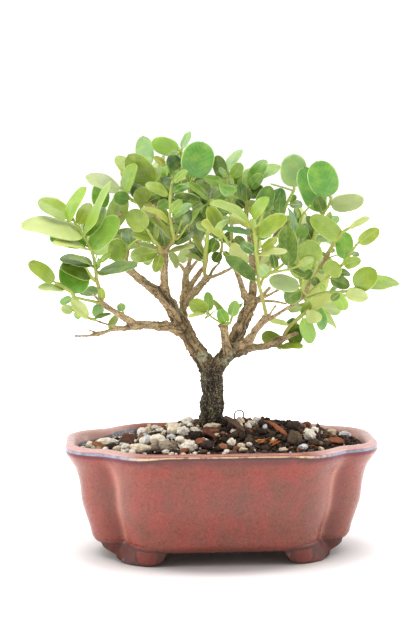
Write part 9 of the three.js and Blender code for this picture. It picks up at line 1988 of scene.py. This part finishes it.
def build_spray(name, data, seed):
    g = np.random.default_rng(seed)
    pile = Pile()
    stems = []
    for k, P in enumerate(data["stems"]):
        Q = resample(P, 0.7)
        s = np.r_[0, np.cumsum(np.linalg.norm(np.diff(Q[:, :3], axis=0), axis=1))]
        t = s / max(s[-1], 1e-6)
        swell = 1 + 0.05 * noise(np.stack([s * 0.4, np.full(len(s), seed * 1.0), np.zeros(len(s))], 1), 3)
        for row in data["leaves"]:
            d = np.linalg.norm(Q[:, :3] - np.array(row[:3]), axis=1)
            j = d.argmin()
            if d[j] < 1.2:
                swell += 0.22 * np.exp(-((s - s[j]) / 0.8) ** 2)
        swell = np.minimum(swell, 1.35)
        V, q, t3 = tube(Q, 10, swell)
        green, tan, red = srgb("#9fb04a"), srgb("#9c8352"), srgb("#a06b4e")
        woody = smooth(0.85, 1.5, Q[:, 3]) * smooth(0.75, 0.1, t) if k == 0 else 0.35 * smooth(0.5, 0.0, t)
        woody = woody * np.ones(len(Q))
        c = green + (tan - green) * woody[:, None]
        c = c + (red - c) * (0.25 * smooth(0.1, 0.7, noise(np.stack([s * 0.25, np.full(len(s), seed * 2.0), np.zeros(len(s))], 1), 9)) * (1 - woody))[:, None]
        sides = 10
        col = np.repeat(c, sides, 0)
        col = np.vstack([col, np.repeat(c[:1], sides + 1, 0), np.repeat(c[-1:], sides + 1, 0)])
        col = np.c_[col, np.ones(len(col))]
        pile.add(V, [q, t3], 2, tint=col, lv=np.zeros(3))
        # a small bud at the end
        T, U, Wd = frames(Q)
        e, r = Q[-1, :3], Q[-1, 3]
        bud = np.array([[*(e - T[-1] * 0.3), r * 0.8], [*(e + T[-1] * 0.6), r * 1.05], [*(e + T[-1] * 1.4), r * 0.7], [*(e + T[-1] * 2.0), r * 0.25]])
        V, q, t3 = tube(bud, 8)
        pile.add(V, [q, t3], 2, tint=rgba(srgb("#b5bf5a")), lv=np.zeros(3))
    for row in data["leaves"]:
        V, lv, (A, B, T, N, a, L, W, tone, kind) = leaf_surface(row, g)
        # painted shade: leaves deep inside the crown are coloured darker, the more so the nearer they sit to its middle
        heart = np.linalg.norm(((B + T) / 2 - np.array([0.0, 4.0, 206.0])) / np.array([112.0, 76.0, 66.0]))
        v = 1.06 - 0.38 * float(smooth(0.92, 0.42, heart)) + g.normal(0, 0.07)
        hue = g.normal(0, 0.05)
        if tone < 0:
            high = float(smooth(185, 262, T[2])) * 0.35
            pick = g.choice(10, p=np.array([0.10 + high * 0.4, 0.05, 0.20, 0.22 - high * 0.2, 0.05, 0.16 - high * 0.2, 0.02, 0.02, 0.12, 0.06]) / np.array([0.10 + high * 0.4, 0.05, 0.20, 0.22 - high * 0.2, 0.05, 0.16 - high * 0.2, 0.02, 0.02, 0.12, 0.06]).sum())
            face = TONES[pick]
            other = face * 0.35 + PALE_UNDER * 0.65
        else:
            face = TONES[tone]
            other = face * 0.4 + PALE_UNDER * 0.6
            if tone in (1, 7, 10):
                other = TONES[3] * 0.5 + TONES[2] * 0.5
        if kind == 1:
            face, other = other, face
        shift = np.array([1 + hue, 1.0, 1 - hue])
        top_c = np.clip(face * v * shift, 0, 1)
        bot_c = np.clip(other * v * shift, 0, 1)
        U, Sg = lv[:LEAF_N, 0], lv[:LEAF_N, 1]
        # a little lighter to the base and the margin, darker between
        k = 0.86 + 0.16 * smooth(0.35, 0.0, U) + 0.10 * np.abs(Sg) ** 2 + 0.06 * noise(np.stack([U * 2 + seed, Sg * 1.5, np.full(LEAF_N, tone + 0.5)], 1), 2)
        col = np.vstack([np.outer(k, top_c), np.outer(k, bot_c)])
        col = np.clip(np.c_[col, np.ones(len(col))], 0, 1)
        base = pile.n
        pile.add(V, [LEAF_Q[:, ::-1]], 0, tint=col, lv=lv)
        pile.F += (LEAF_Q + base + LEAF_N).tolist()
        pile.M += [1] * len(LEAF_Q)
        pile.F += (LEAF_RIM + base).tolist()
        pile.M += [0] * len(LEAF_RIM)
        # petiole
        d = B - A
        D = np.linalg.norm(d)
        mid = A + d * 0.55 - N * 0.10 * D
        rr = 0.36 + 0.012 * L
        pet = resample([[*A, rr * 1.25], [*mid, rr], [*(B - N * 0.05), rr * 0.95], [*(B + a * 0.9 - N * 0.10), rr * 0.6]], 0.5)
        V, q, t3 = tube(pet, 8)
        pc = srgb("#a9b74e") * 0.55 + top_c * 0.45
        pile.add(V, [q, t3], 2, tint=rgba(np.clip(pc, 0, 1)), lv=np.zeros(3))
    return pile


LEAF_TOP, LEAF_UNDER, SHOOT = leaf_paint("leaf_upper", False), leaf_paint("leaf_under", True), shoot_paint()
for k, (name, data) in enumerate(SHOOTS.items()):
    ob = build_spray(name, data, 900 + k).make("foliage_" + name, [LEAF_TOP, LEAF_UNDER, SHOOT])
    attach(ob, "root")
    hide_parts("leaf_spray_" + name)
